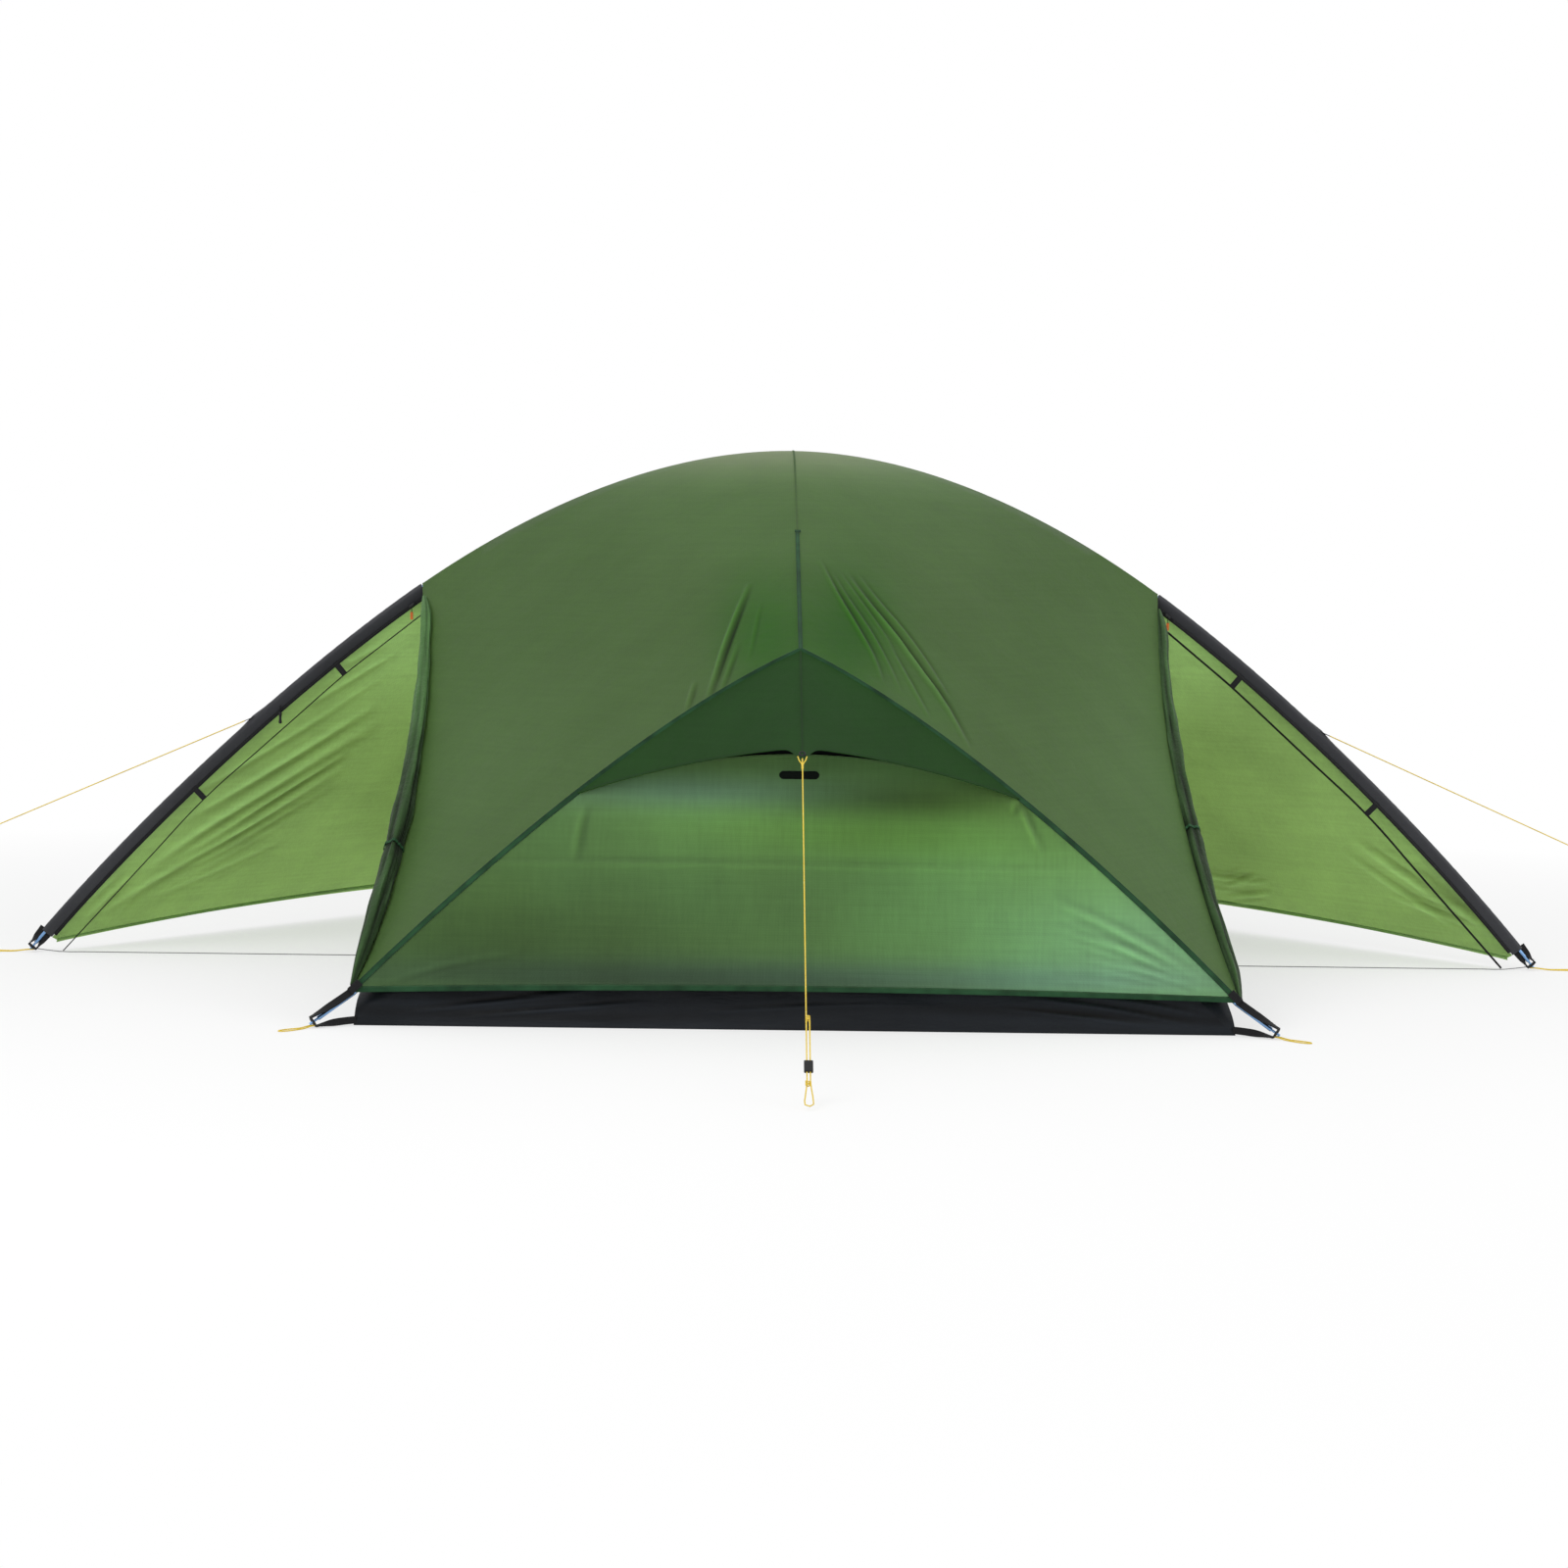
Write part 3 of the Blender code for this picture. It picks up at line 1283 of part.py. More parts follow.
def make_peg_loops():
    for side, sx in SIDES.items():
        centre, axis = plate_frame(mirrored(LEG, sx, 1))
        points = peg_loop(centre, axis, unit(vec(sx, -1, 0)), CORNER_LOOP_REACH)
        tube_curve(f"corner_loop_{side}", points, CORD_RADIUS, CORD_YELLOW)
        centre, axis = plate_frame(mirrored(RIDGE, sx, 1))
        points = peg_loop(centre, axis, vec(sx, 0, 0), FOOT_LOOP_REACH)
        tube_curve(f"foot_loop_{side}", points, CORD_RADIUS, CORD_YELLOW)


def make_base_cords():
    # Along the ground from the foot of the arch to the edge of the floor
    centre, axis = plate_frame(RIDGE)
    upward = unit(np.cross(unit(np.cross(axis, vec(0, 0, 1))), axis))
    below = STRAP_OFFSET + WEBBING_THICKNESS / 2 + SEAM_GAP + BASE_CORD_RADIUS
    start = centre - upward * below - axis * BASE_CORD_BACK
    low = BASE_CORD_RADIUS + 2 * LOW
    end = vec(FLOOR_X + SEAM_GAP, 0, low)
    route = [start]
    route.append(start + vec(-BASE_CORD_LEAD, 0, -BASE_CORD_LEAD / 10))
    route.append(vec(start[0] - 3 * BASE_CORD_LEAD, 0, low + 4 * LOW))
    route += [vec(start[0] + (end[0] - start[0]) * t, 0, low) for t in (0.12, 0.4, 0.7)]
    route += [end]
    points = grounded(smooth_through(route, BASE_CORD_POINTS), BASE_CORD_RADIUS)
    for side, sx in SIDES.items():
        tube_curve(f"base_cord_{side}", mirrored(points, sx, 1), BASE_CORD_RADIUS, CORD_GREY)


def tab_end(x, radius):
    # Centre of the porch cord where it passes a tab's lower end
    where = where_x(RIDGE, x)
    up = up_from_arch(where)
    drop = SLEEVE_TAIL - TAB_ROOT + TAB_DROP + TAB_HEM
    return walk(RIDGE, where) - up * (drop + SEAM_GAP + radius) - vec(0, CLOTH + SEAM_GAP, 0)


def make_porch_cords():
    # A taut cord under the arch, held off the sleeve by the two tabs
    for side, sx in SIDES.items():
        radius = PORCH_CORD_RADIUS[side]
        top = walk(SIDE_EDGE, PORCH_CORD_TOP * distances(SIDE_EDGE)[-1])
        top = top + unit(vec(*PORCH_CORD_AWAY)) * (CLOTH / 2 + SEAM_GAP + radius)
        ground = 2 * BASE_CORD_RADIUS + SEAM_GAP + radius * math.cos(FOOT_SLOPE)
        foot = vec(PORCH_CORD_FOOT_X, 0, ground)
        corners = [top, tab_end(TAB_X[0], radius), tab_end(TAB_X[1], radius), foot]
        route = [corners[0]]
        for a, b in zip(corners[:-1], corners[1:]):
            route += [a + (b - a) * t for t in (0.06, 0.35, 0.65, 0.94)]
        route.append(corners[-1])
        points = mirrored(smooth_through(route, PORCH_CORD_POINTS), sx, 1)
        tube_curve(f"porch_cord_{side}", points, radius, CORD_BLACK)


# Small fittings
def make_stiffeners():
    # A flat rounded bar that keeps the vent's lower edge straight
    grid = end_wall_grid()
    length, width, thickness = STIFFENER_SIZE
    middle = grid[-1, grid.shape[1] // 2]
    below = grid[-2, grid.shape[1] // 2]
    up = unit(middle - below)
    out = unit(np.cross(vec(1, 0, 0), up))
    centre = middle - up * (width / 2 + STIFFENER_DROP)
    centre = centre + out * (CLOTH / 2 + SEAM_GAP + thickness / 2)
    outline = rounded(
        [(-length / 2, -width / 2), (length / 2, -width / 2), (length / 2, width / 2),
         (-length / 2, width / 2)],
        width / 2 - STEP,
    )
    for end, sy in ENDS.items():
        frame = frame_at(mirrored(centre, 1, -sy), (1, 0, 0), mirrored(up, 1, -sy))
        plate(f"vent_stiffener_{end}", outline, PLASTIC_BLACK, thickness, frame)


def make_fly_zips():
    # Slider of the porch door's zip, parked at the top of the sleeve
    first = where_x(RIDGE, FLY_ZIP_X)
    last = first + FLY_ZIP_TRAVEL
    a = walk(RIDGE, first) - up_from_arch(first) * FLY_SLIDER_DROP
    b = walk(RIDGE, last) - up_from_arch(last) * FLY_SLIDER_DROP
    for side, sx in SIDES.items():
        along = mirrored(unit(b - a), sx, 1)
        up = mirrored(up_from_arch(first), sx, 1)
        middle = mirrored(a, sx, 1) - vec(0, FLY_SLIDER_OUT, 0)
        frame = frame_at(middle, along, up)
        slider = box(f"fly_zip_{side}", FLY_SLIDER_SIZE, PULL_ORANGE, frame, bevel=EDGE)
        hang = Matrix.Translation(middle - vec(0, 0, FLY_PULL_DROP))
        join(slider, box(f"fly_pull_{side}", FLY_PULL_SIZE, PULL_ORANGE, hang, 0.0, CUTTERS))


def make_door_zips():
    # Slider of the inner door's zip, on the outer face at the low end of the slope
    up, height = side_wall_lines()
    outline = door_outline()
    high, low = np.array(outline[1]), np.array(outline[2])
    along = unit(high - low)
    inward = np.array([along[1], -along[0]])
    spot = low + along * DOOR_SLIDER_UP + inward * DOOR_SLIDER_IN
    out = unit(np.cross(vec(0, 1, 0), up))
    out = out if out[0] > 0 else -out
    for side, sx in SIDES.items():
        base = vec(FLOOR_X, 0, 0) + vec(0, 1, 0) * spot[0] + up * spot[1]
        centre = base + out * ((CLOTH + DOOR_SLIDER_SIZE[2]) / 2 + SEAM_GAP)
        line = vec(0, 1, 0) * along[0] + up * along[1]
        frame = frame_at(
            mirrored(centre, sx, 1), mirrored(line, sx, 1), mirrored(np.cross(out, line), sx, 1)
        )
        box(f"door_zip_{side}", DOOR_SLIDER_SIZE, PLASTIC_BLACK, frame, bevel=EDGE)


def make_toggle():
    # Barrel toggle that swings on a short cord out of the front of the left sleeve
    where = where_x(RIDGE, TOGGLE_X)
    top = walk(RIDGE, where) - up_from_arch(where) * TOGGLE_DROP - vec(0, TOGGLE_OFFSET, 0)
    top = mirrored(top, -1, 1)
    share = (TOGGLE_DROP - TOGGLE_STRING_RADIUS) / SLEEVE_TAIL
    face = SLEEVE_HALF_WIDTH * math.sqrt(1 - share * share) * (1 - share * SLEEVE_NARROWING)
    root = vec(0, TOGGLE_OFFSET - face - SEAM_GAP, 0)
    end = vec(0, 0, -TOGGLE_STRING_LENGTH)
    hang = tube("door_toggle", [root, root * 0, end], TOGGLE_STRING_RADIUS, PLASTIC_BLACK)
    hang.location = top
    frame = Matrix.Translation(top + end)
    barrel = rod("toggle_barrel", TOGGLE_RADIUS, TOGGLE_LENGTH, PLASTIC_BLACK, frame, 12, CUTTERS)
    join(hang, barrel)


make_roof()
make_end_walls()
make_hoods()
make_porches()
make_rolled_doors()
make_sleeves()
make_ridge_pole()
for end_name, end_sign in ENDS.items():
    make_end_frame(end_name, end_sign)
make_floor()
make_inner_roof()
make_inner_end_walls()
make_side_walls_and_doors()
make_corners()
make_feet()
make_hood_line()
make_ridge_lines()
make_peg_loops()
make_base_cords()
make_porch_cords()
make_stiffeners()
make_fly_zips()
make_door_zips()
make_toggle()
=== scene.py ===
import itertools
import math

import bmesh
import bpy
import numpy as np
from mathutils import Matrix, Vector


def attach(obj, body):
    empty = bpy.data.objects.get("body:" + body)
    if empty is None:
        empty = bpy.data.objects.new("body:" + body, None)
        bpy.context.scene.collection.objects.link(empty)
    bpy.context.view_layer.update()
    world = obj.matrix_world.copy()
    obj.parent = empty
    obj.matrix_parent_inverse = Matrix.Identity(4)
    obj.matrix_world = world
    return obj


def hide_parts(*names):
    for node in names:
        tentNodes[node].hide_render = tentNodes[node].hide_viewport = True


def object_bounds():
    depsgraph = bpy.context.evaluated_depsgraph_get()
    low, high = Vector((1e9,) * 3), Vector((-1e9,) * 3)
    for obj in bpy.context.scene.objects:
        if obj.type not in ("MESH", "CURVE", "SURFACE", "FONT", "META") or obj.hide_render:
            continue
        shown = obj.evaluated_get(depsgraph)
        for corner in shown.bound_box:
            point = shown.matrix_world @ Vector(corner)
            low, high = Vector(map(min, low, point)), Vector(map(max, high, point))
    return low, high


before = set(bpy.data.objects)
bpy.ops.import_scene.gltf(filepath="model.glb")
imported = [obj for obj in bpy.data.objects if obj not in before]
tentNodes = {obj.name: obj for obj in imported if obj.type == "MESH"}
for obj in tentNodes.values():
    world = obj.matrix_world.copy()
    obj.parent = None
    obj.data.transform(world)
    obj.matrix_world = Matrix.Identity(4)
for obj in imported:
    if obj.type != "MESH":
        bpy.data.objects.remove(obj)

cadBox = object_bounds()
print("frame loaded:", len(tentNodes), "nodes")

# Metres. X runs along the ridge arch, Y from the front end (minus) to the rear end, Z up.
endSign = {"front": -1, "rear": 1}
sideSign = {"left": -1, "right": 1}


# Camera, as the photograph was taken
cameraView = dict(place=(-0.1433, -7.0, 0.8905), down=0.0673, turn=0.0191, roll=0.0148, lens=68.5)


def makeCamera(v):
    down, turn, roll = v["down"], v["turn"], v["roll"]
    look = Vector((math.sin(turn) * math.cos(down), math.cos(turn) * math.cos(down), -math.sin(down)))
    level = Vector((math.cos(turn), -math.sin(turn), 0))
    over = level.cross(look)
    right = level * math.cos(roll) + over * math.sin(roll)
    up = over * math.cos(roll) - level * math.sin(roll)
    lens = bpy.data.cameras.new("tentCamera")
    lens.sensor_fit = "HORIZONTAL"
    lens.sensor_width = 36
    lens.lens = v["lens"]
    lens.clip_start = 0.05
    camera = bpy.data.objects.new("tentCamera", lens)
    bpy.context.scene.collection.objects.link(camera)
    turned = Matrix((right, up, -look)).transposed().to_4x4()
    turned.translation = Vector(v["place"])
    camera.matrix_world = turned
    bpy.context.scene.camera = camera


makeCamera(cameraView)


# Small helpers: vectors, lines, grids of points and meshes
def vec(*v):
    return np.array(v, dtype=float)


def unit(v):
    v = np.asarray(v, dtype=float)
    return v / np.linalg.norm(v)


def unitRows(v):
    return v / np.maximum(np.linalg.norm(v, axis=-1, keepdims=True), 1e-9)


def directions(line):
    return unitRows(np.gradient(line, axis=0))


def bezier(a, b, c, d):
    a, b, c, d = (np.asarray(p, dtype=float) for p in (a, b, c, d))
    t = np.linspace(0, 1, 61)[:, None]
    return (1 - t) ** 3 * a + 3 * (1 - t) ** 2 * t * b + 3 * (1 - t) * t * t * c + t ** 3 * d


def bowed(a, b, bow, count=60):
    t = np.linspace(0, 1, count + 1)[:, None]
    return a + (b - a) * t + np.asarray(bow) * 4 * t * (1 - t)


def runOf(line):
    return np.concatenate([[0.0], np.cumsum(np.linalg.norm(np.diff(line, axis=0), axis=1))])


def walk(line, where):
    run = runOf(line)
    return np.stack([np.interp(where, run, line[:, k]) for k in range(line.shape[1])], axis=-1)


def share(line, parts):
    return walk(line, np.asarray(parts) * runOf(line)[-1])


def tangent(line, where, reach=0.004):
    return unit(walk(line, where + reach) - walk(line, where - reach))


def whereX(line, x):
    return float(np.interp(x, line[:, 0], runOf(line)))


def partOf(line, start, end):
    run = runOf(line)
    inside = run[(run > start) & (run < end)]
    return walk(line, np.concatenate([[start], inside, [end]]))


def flip(points, sx, sy):
    return np.asarray(points) * vec(sx, sy, 1)


def smoothThrough(points, count):
    points = np.asarray(points, dtype=float)
    run = runOf(points)
    slope = np.gradient(points, run, axis=0)
    dense = []
    for k in range(len(points) - 1):
        h = run[k + 1] - run[k]
        t = np.linspace(0, 1, 16, endpoint=False)[:, None]
        dense.append((2 * t ** 3 - 3 * t ** 2 + 1) * points[k] + (t ** 3 - 2 * t ** 2 + t) * h * slope[k]
                     + (3 * t ** 2 - 2 * t ** 3) * points[k + 1] + (t ** 3 - t ** 2) * h * slope[k + 1])
    return share(np.vstack([*dense, points[-1:]]), np.linspace(0, 1, count + 1))


def gridNormals(grid):
    across = np.gradient(grid, axis=1)
    along = np.gradient(grid, axis=0)
    n = np.cross(across, along)
    return n / np.maximum(np.linalg.norm(n, axis=2), 1e-12)[..., None]


def addObject(name, mesh, material, body="tent"):
    piece = bpy.data.objects.new(name, mesh)
    bpy.context.scene.collection.objects.link(piece)
    mesh.materials.clear()
    mesh.materials.append(material)
    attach(piece, body)
    return piece


def meshFrom(name, points, faces, uvs, angle):
    # A smooth mesh with one UV per point, and sharp edges where its faces turn by more than the angle
    mesh = bpy.data.meshes.new(name)
    mesh.from_pydata([tuple(p) for p in points], [], faces)
    layer = mesh.uv_layers.new(name="cloth")
    flat = np.empty(len(mesh.loops), dtype=np.int32)
    mesh.loops.foreach_get("vertex_index", flat)
    layer.data.foreach_set("uv", np.asarray(uvs, dtype=np.float32)[flat].ravel())
    mesh.shade_smooth()
    mesh.set_sharp_from_angle(angle=math.radians(angle))
    mesh.update()
    return mesh


def sheetMesh(name, grid, thickness, outward=1, paintedLight=None, paintedTint=None):
    # A closed sheet on a grid of points: the outer layer, the inner layer and the rim between them
    rows, cols = grid.shape[:2]
    n = gridNormals(grid) * outward
    outer, inner = grid + n * thickness / 2, grid - n * thickness / 2
    size = rows * cols
    index = np.arange(size).reshape(rows, cols)
    a, b = index[:-1, :-1].ravel(), index[:-1, 1:].ravel()
    c, d = index[1:, 1:].ravel(), index[1:, :-1].ravel()
    front = np.stack([a, b, c, d], 1) if outward > 0 else np.stack([a, d, c, b], 1)
    ring = np.concatenate([index[0, :-1], index[:-1, -1], index[-1, :0:-1], index[:0:-1, 0]])
    after = np.roll(ring, -1)
    rim = np.stack([after, ring, ring + size, after + size], 1)[:, ::outward]
    across, along = (np.linalg.norm(np.diff(grid, axis=k), axis=2).mean(1 - k) for k in (1, 0))
    uv = np.stack(np.meshgrid(np.append(0, np.cumsum(across)), np.append(0, np.cumsum(along))), axis=-1).reshape(-1, 2)
    points = np.vstack([outer.reshape(-1, 3), inner.reshape(-1, 3)])
    faces = np.vstack([front, front[:, ::-1] + size, rim]).tolist()
    mesh = meshFrom(name, points, faces, np.vstack([uv, uv]), angle=60)
    # painted light and shade, and the painted tint that goes with it, on both layers
    for label, values in (("paintedLight", paintedLight), ("paintedTint", paintedTint)):
        if values is not None:
            layer = mesh.attributes.new(label, "FLOAT", "POINT")
            layer.data.foreach_set("value", np.tile(np.asarray(values, dtype=np.float32).ravel(), 2))
    return mesh


def clothPiece(name, grid, material, standsFor=(), outward=1, thickness=0.0008,
               paintedLight=None, paintedTint=None):
    # A sheet of cloth that stands for the given parts and hides them
    piece = addObject(name, sheetMesh(name, grid, thickness, outward, paintedLight, paintedTint), material)
    if standsFor:
        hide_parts(*standsFor)
    return piece


def ringFaces(rings, sides, closed=False, capped=True, turned=False):
    # Quads between rings of points, with a cap at each end of an open row
    faces = []
    for r in range(rings if closed else rings - 1):
        for c in range(sides):
            d, after = (c + 1) % sides, (r + 1) % rings
            quad = (r * sides + c, r * sides + d, after * sides + d, after * sides + c)
            faces.append((quad[0], *quad[:0:-1]) if turned else quad)
    if capped and not closed:
        first, last = tuple(range(sides)), tuple(range((rings - 1) * sides, rings * sides))
        faces += [first, last[::-1]] if turned else [first[::-1], last]
    return faces


def spokes(turns, a, b):
    # Directions that turn from a towards b
    return np.cos(turns)[:, None] * a + np.sin(turns)[:, None] * b


def tubePiece(name, path, radius, material, body="tent", sides=10):
    # Rings that turn as little as they can along a path; radius may be one number or one per point
    path = np.asarray(path, dtype=float)
    run, along, radii = runOf(path), directions(path), np.broadcast_to(radius, len(path))
    turn = np.arange(sides) * 2 * math.pi / sides
    side = unit(np.cross(along[0], (0.31, 0.05, 0.95)))
    points, uvs = [], []
    for k, p in enumerate(path):
        side = unit(side - along[k] * float(side @ along[k]))
        points += list(p + spokes(turn, side, np.cross(along[k], side)) * radii[k])
        uvs += [(a * radii[k], run[k]) for a in turn]
    return addObject(name, meshFrom(name, points, ringFaces(len(path), sides), uvs, 50), material, body)


def bandPiece(name, path, wide, width, thickness, material, body="tent", slot=None):
    # Webbing or tape: a flat band with softly rounded edges along a path
    edge = [(-1, 0), (-0.97, 0.7), (-0.9, 1), (-0.4, 1), (0.4, 1), (0.9, 1), (0.97, 0.7)]
    ring = np.array(edge + [(-x, -y) for x, y in edge]) * (width / 2, thickness / 2)
    path = np.asarray(path, dtype=float)
    along = directions(path)
    side = unitRows(wide - along * (along * wide).sum(1)[:, None])
    points = path[:, None] + ring[:, :1] * side[:, None] + ring[:, 1:] * np.cross(side, along)[:, None]
    uvs = np.stack(np.meshgrid(runOf(np.vstack([ring, ring[:1]]))[:-1], runOf(path)), axis=-1)
    faces = ringFaces(len(path), len(ring), turned=True)
    mesh = meshFrom(name, points.reshape(-1, 3), faces, uvs.reshape(-1, 2), 35)
    fixNormals(mesh)
    return addObject(name, mesh, material, body)


def lathe(name, profile, centre, axis, material, body="tent", sides=28, closed=False):
    # A profile of (radius, height) turned about an axis; a closed profile gives a ring
    axis = unit(axis)
    side = unit(np.cross(axis, vec(0.31, 0.2, 0.9)))
    turn = np.arange(sides) * 2 * math.pi / sides
    ring = spokes(turn, side, np.cross(axis, side))
    points = np.vstack([centre + axis * h + r * ring for r, h in profile])
    uvs = [(a * r, h) for r, h in profile for a in turn]
    mesh = meshFrom(name, points, ringFaces(len(profile), sides, closed), uvs, 45)
    fixNormals(mesh)
    return addObject(name, mesh, material, body)


def fixNormals(mesh):
    shape = bmesh.new()
    shape.from_mesh(mesh)
    bmesh.ops.recalc_face_normals(shape, faces=shape.faces)
    shape.to_mesh(mesh)
    shape.free()


def roundedBlock(name, size, place, axes, material, body, bevel, waist):
    # A moulded block with rounded edges, drawn in at its middle; axes are its three directions
    shape = bmesh.new()
    bmesh.ops.create_cube(shape, size=1.0)
    bmesh.ops.bevel(shape, geom=shape.edges[:], offset=bevel * min(size) / max(size), segments=3, profile=0.6,
                    affect="EDGES")
    bmesh.ops.subdivide_edges(shape, edges=[e for e in shape.edges if e.calc_length() > 0.4], cuts=4)
    for vertex in shape.verts:
        x, y, z = vertex.co
        narrow = 1 - waist * math.cos(x * math.pi)
        vertex.co = Vector(place + np.array(axes).T @ vec(x * size[0], y * size[1] * narrow, z * size[2]))
    bmesh.ops.recalc_face_normals(shape, faces=shape.faces)
    mesh = bpy.data.meshes.new(name)
    shape.to_mesh(mesh)
    shape.free()
    mesh.shade_smooth()
    mesh.set_sharp_from_angle(angle=math.radians(50))
    return addObject(name, mesh, material, body)


def repeatTree():
    # Geometry Nodes: short round pieces set one after another along every line of a mesh
    tree = bpy.data.node_groups.new("threadAlongLine", "GeometryNodeTree")
    for label, kind, value in (
            ("Geometry", "Geometry", None), ("Spacing", "Float", 0.004), ("Piece length", "Float", 0.0026),
            ("Piece radius", "Float", 0.0003), ("Turn", "Float", 0.0), ("Finish", "Material", None)):
        socket = tree.interface.new_socket(label, in_out="INPUT", socket_type="NodeSocket" + kind)
        if value is not None:
            socket.default_value = value
    tree.interface.new_socket("Geometry", in_out="OUTPUT", socket_type="NodeSocketGeometry")
    kinds = dict(
        given="NodeGroupInput", curve="GeometryNodeMeshToCurve", points="GeometryNodeCurveToPoints",
        rod="GeometryNodeMeshCylinder", turned="FunctionNodeRotateRotation", turn="FunctionNodeEulerToRotation",
        angles="ShaderNodeCombineXYZ", copies="GeometryNodeInstanceOnPoints", real="GeometryNodeRealizeInstances",
        finished="GeometryNodeSetMaterial", out="NodeGroupOutput")
    made = {name: tree.nodes.new(kind) for name, kind in kinds.items()}
    made["points"].mode = "LENGTH"
    made["turned"].rotation_space = "LOCAL"
    made["rod"].inputs["Vertices"].default_value = 5
    for source, output, target, entry in (
            ("given", "Geometry", "curve", "Mesh"), ("curve", "Curve", "points", "Curve"),
            ("given", "Spacing", "points", "Length"), ("given", "Piece length", "rod", "Depth"),
            ("given", "Piece radius", "rod", "Radius"), ("given", "Turn", "angles", "X"), ("angles", 0, "turn", 0),
            ("points", "Rotation", "turned", "Rotation"), ("turn", 0, "turned", "Rotate By"),
            ("points", "Points", "copies", "Points"), ("rod", "Mesh", "copies", "Instance"),
            ("turned", 0, "copies", "Rotation"), ("copies", 0, "real", 0), ("real", 0, "finished", 0),
            ("given", "Finish", "finished", "Material"), ("finished", 0, "out", 0)):
        tree.links.new(made[source].outputs[output], made[target].inputs[entry])
    return tree


alongLines = repeatTree()


def repeatAlong(name, lines, values, material):
    points, edges = [], []
    for line in lines:
        start = len(points)
        points += [tuple(p) for p in line]
        edges += [(start + k, start + k + 1) for k in range(len(line) - 1)]
    mesh = bpy.data.meshes.new(name + "Lines")
    mesh.from_pydata(points, edges, [])
    carrier = bpy.data.objects.new(name + "Lines", mesh)
    bpy.context.scene.collection.objects.link(carrier)
    rows = carrier.modifiers.new("rows", "NODES")
    rows.node_group = alongLines
    for socket in alongLines.interface.items_tree:
        if socket.in_out == "INPUT" and socket.name in values:
            rows[socket.identifier] = float(values[socket.name])
        elif socket.in_out == "INPUT" and socket.name == "Finish":
            rows[socket.identifier] = material
    bpy.context.view_layer.update()
    made = bpy.data.meshes.new_from_object(carrier.evaluated_get(bpy.context.evaluated_depsgraph_get()))
    bpy.data.objects.remove(carrier)
    made.name = name
    return addObject(name, made, material)


# Node trees
def newMaterial(name):
    material = bpy.data.materials.new(name)
    material.use_nodes = True
    material.node_tree.nodes.clear()
    return material, material.node_tree


def node(tree, kind, settings=None, **inputs):
    # Inputs are given by name, with an underscore for each space, or by number as i0, i1 and so on
    made = tree.nodes.new(kind)
    for key, value in (settings or {}).items():
        setattr(made, key, value)
    for key, value in inputs.items():
        numbered = key[0] == "i" and key[1:].isdigit()
        socket = made.inputs[int(key[1:]) if numbered else key.replace("_", " ")]
        if isinstance(value, bpy.types.NodeSocket):
            tree.links.new(value, socket)
        elif hasattr(value, "__len__") and len(value) == 3 and socket.type == "RGBA":
            socket.default_value = (*value, 1.0)
        else:
            socket.default_value = value
    return made


def maths(tree, operation, a, b=0.0, c=0.0):
    return node(tree, "ShaderNodeMath", {"operation": operation}, i0=a, i1=b, i2=c).outputs[0]


def plus(tree, a, b):
    return maths(tree, "ADD", a, b)


def times(tree, a, b):
    return maths(tree, "MULTIPLY", a, b)


def mixColour(tree, factor, a, b, blend="MIX"):
    made = tree.nodes.new("ShaderNodeMix")
    made.data_type = "RGBA"
    made.blend_type = blend
    for index, value in ((0, factor), (6, a), (7, b)):
        if isinstance(value, bpy.types.NodeSocket):
            tree.links.new(value, made.inputs[index])
        else:
            made.inputs[index].default_value = value if index == 0 else (*value, 1.0)
    return made.outputs[2]


def spread(tree, value, low, high, outLow=0.0, outHigh=1.0):
    return node(tree, "ShaderNodeMapRange", None, Value=value, From_Min=low, From_Max=high, To_Min=outLow,
                To_Max=outHigh).outputs[0]


def around(tree, value, middle, reach, low=0.3, high=0.7):
    # A noise turned into a value that strays from its middle by the given reach
    return spread(tree, value, low, high, middle - reach, middle + reach)


def combined(tree, red, green, blue):
    return node(tree, "ShaderNodeCombineColor", None, Red=red, Green=green, Blue=blue).outputs[0]


def surface(tree, v, base, rough, height, **more):
    # The shader, with its gloss from the values and its bump from the height
    bump = node(tree, "ShaderNodeBump", None, Height=height, Strength=v["bump"], Distance=1.0).outputs[0]
    shell = node(tree, "ShaderNodeBsdfPrincipled", None, Base_Color=base, Roughness=rough, Normal=bump,
                 Sheen_Weight=v["sheen"], Specular_IOR_Level=v["specular"], **more)
    return shell, bump


def showShader(tree, shader, kind="Material"):
    tree.links.new(shader.outputs[0], node(tree, "ShaderNodeOutput" + kind).inputs[0])


def noise(tree, where, scale, detail, roughness=0.5):
    return node(tree, "ShaderNodeTexNoise", None, Vector=where, Scale=scale, Detail=detail,
                Roughness=roughness).outputs[0]


def stretched(tree, where, scale, turn=0.0):
    return node(tree, "ShaderNodeMapping", None, Vector=where, Scale=scale, Rotation=(0, 0, turn)).outputs[0]


def threads(tree, uv, pitch):
    # Height of a plain weave: two sets of threads that cross
    parts = node(tree, "ShaderNodeSeparateXYZ", None, Vector=uv)
    u, v = (maths(tree, "SINE", times(tree, parts.outputs[axis], 2 * math.pi / pitch)) for axis in (0, 1))
    return times(tree, u, v)


def ripstop(tree, uv, spacing, width):
    # 1 on the thicker threads that cross every few millimetres
    parts = node(tree, "ShaderNodeSeparateXYZ", None, Vector=uv)
    lines = []
    for axis in (0, 1):
        off = maths(tree, "PINGPONG", plus(tree, parts.outputs[axis], 10.0), spacing / 2)
        lines.append(spread(tree, off, width * 0.4, width, 1.0, 0.0))
    return maths(tree, "MAXIMUM", *lines)


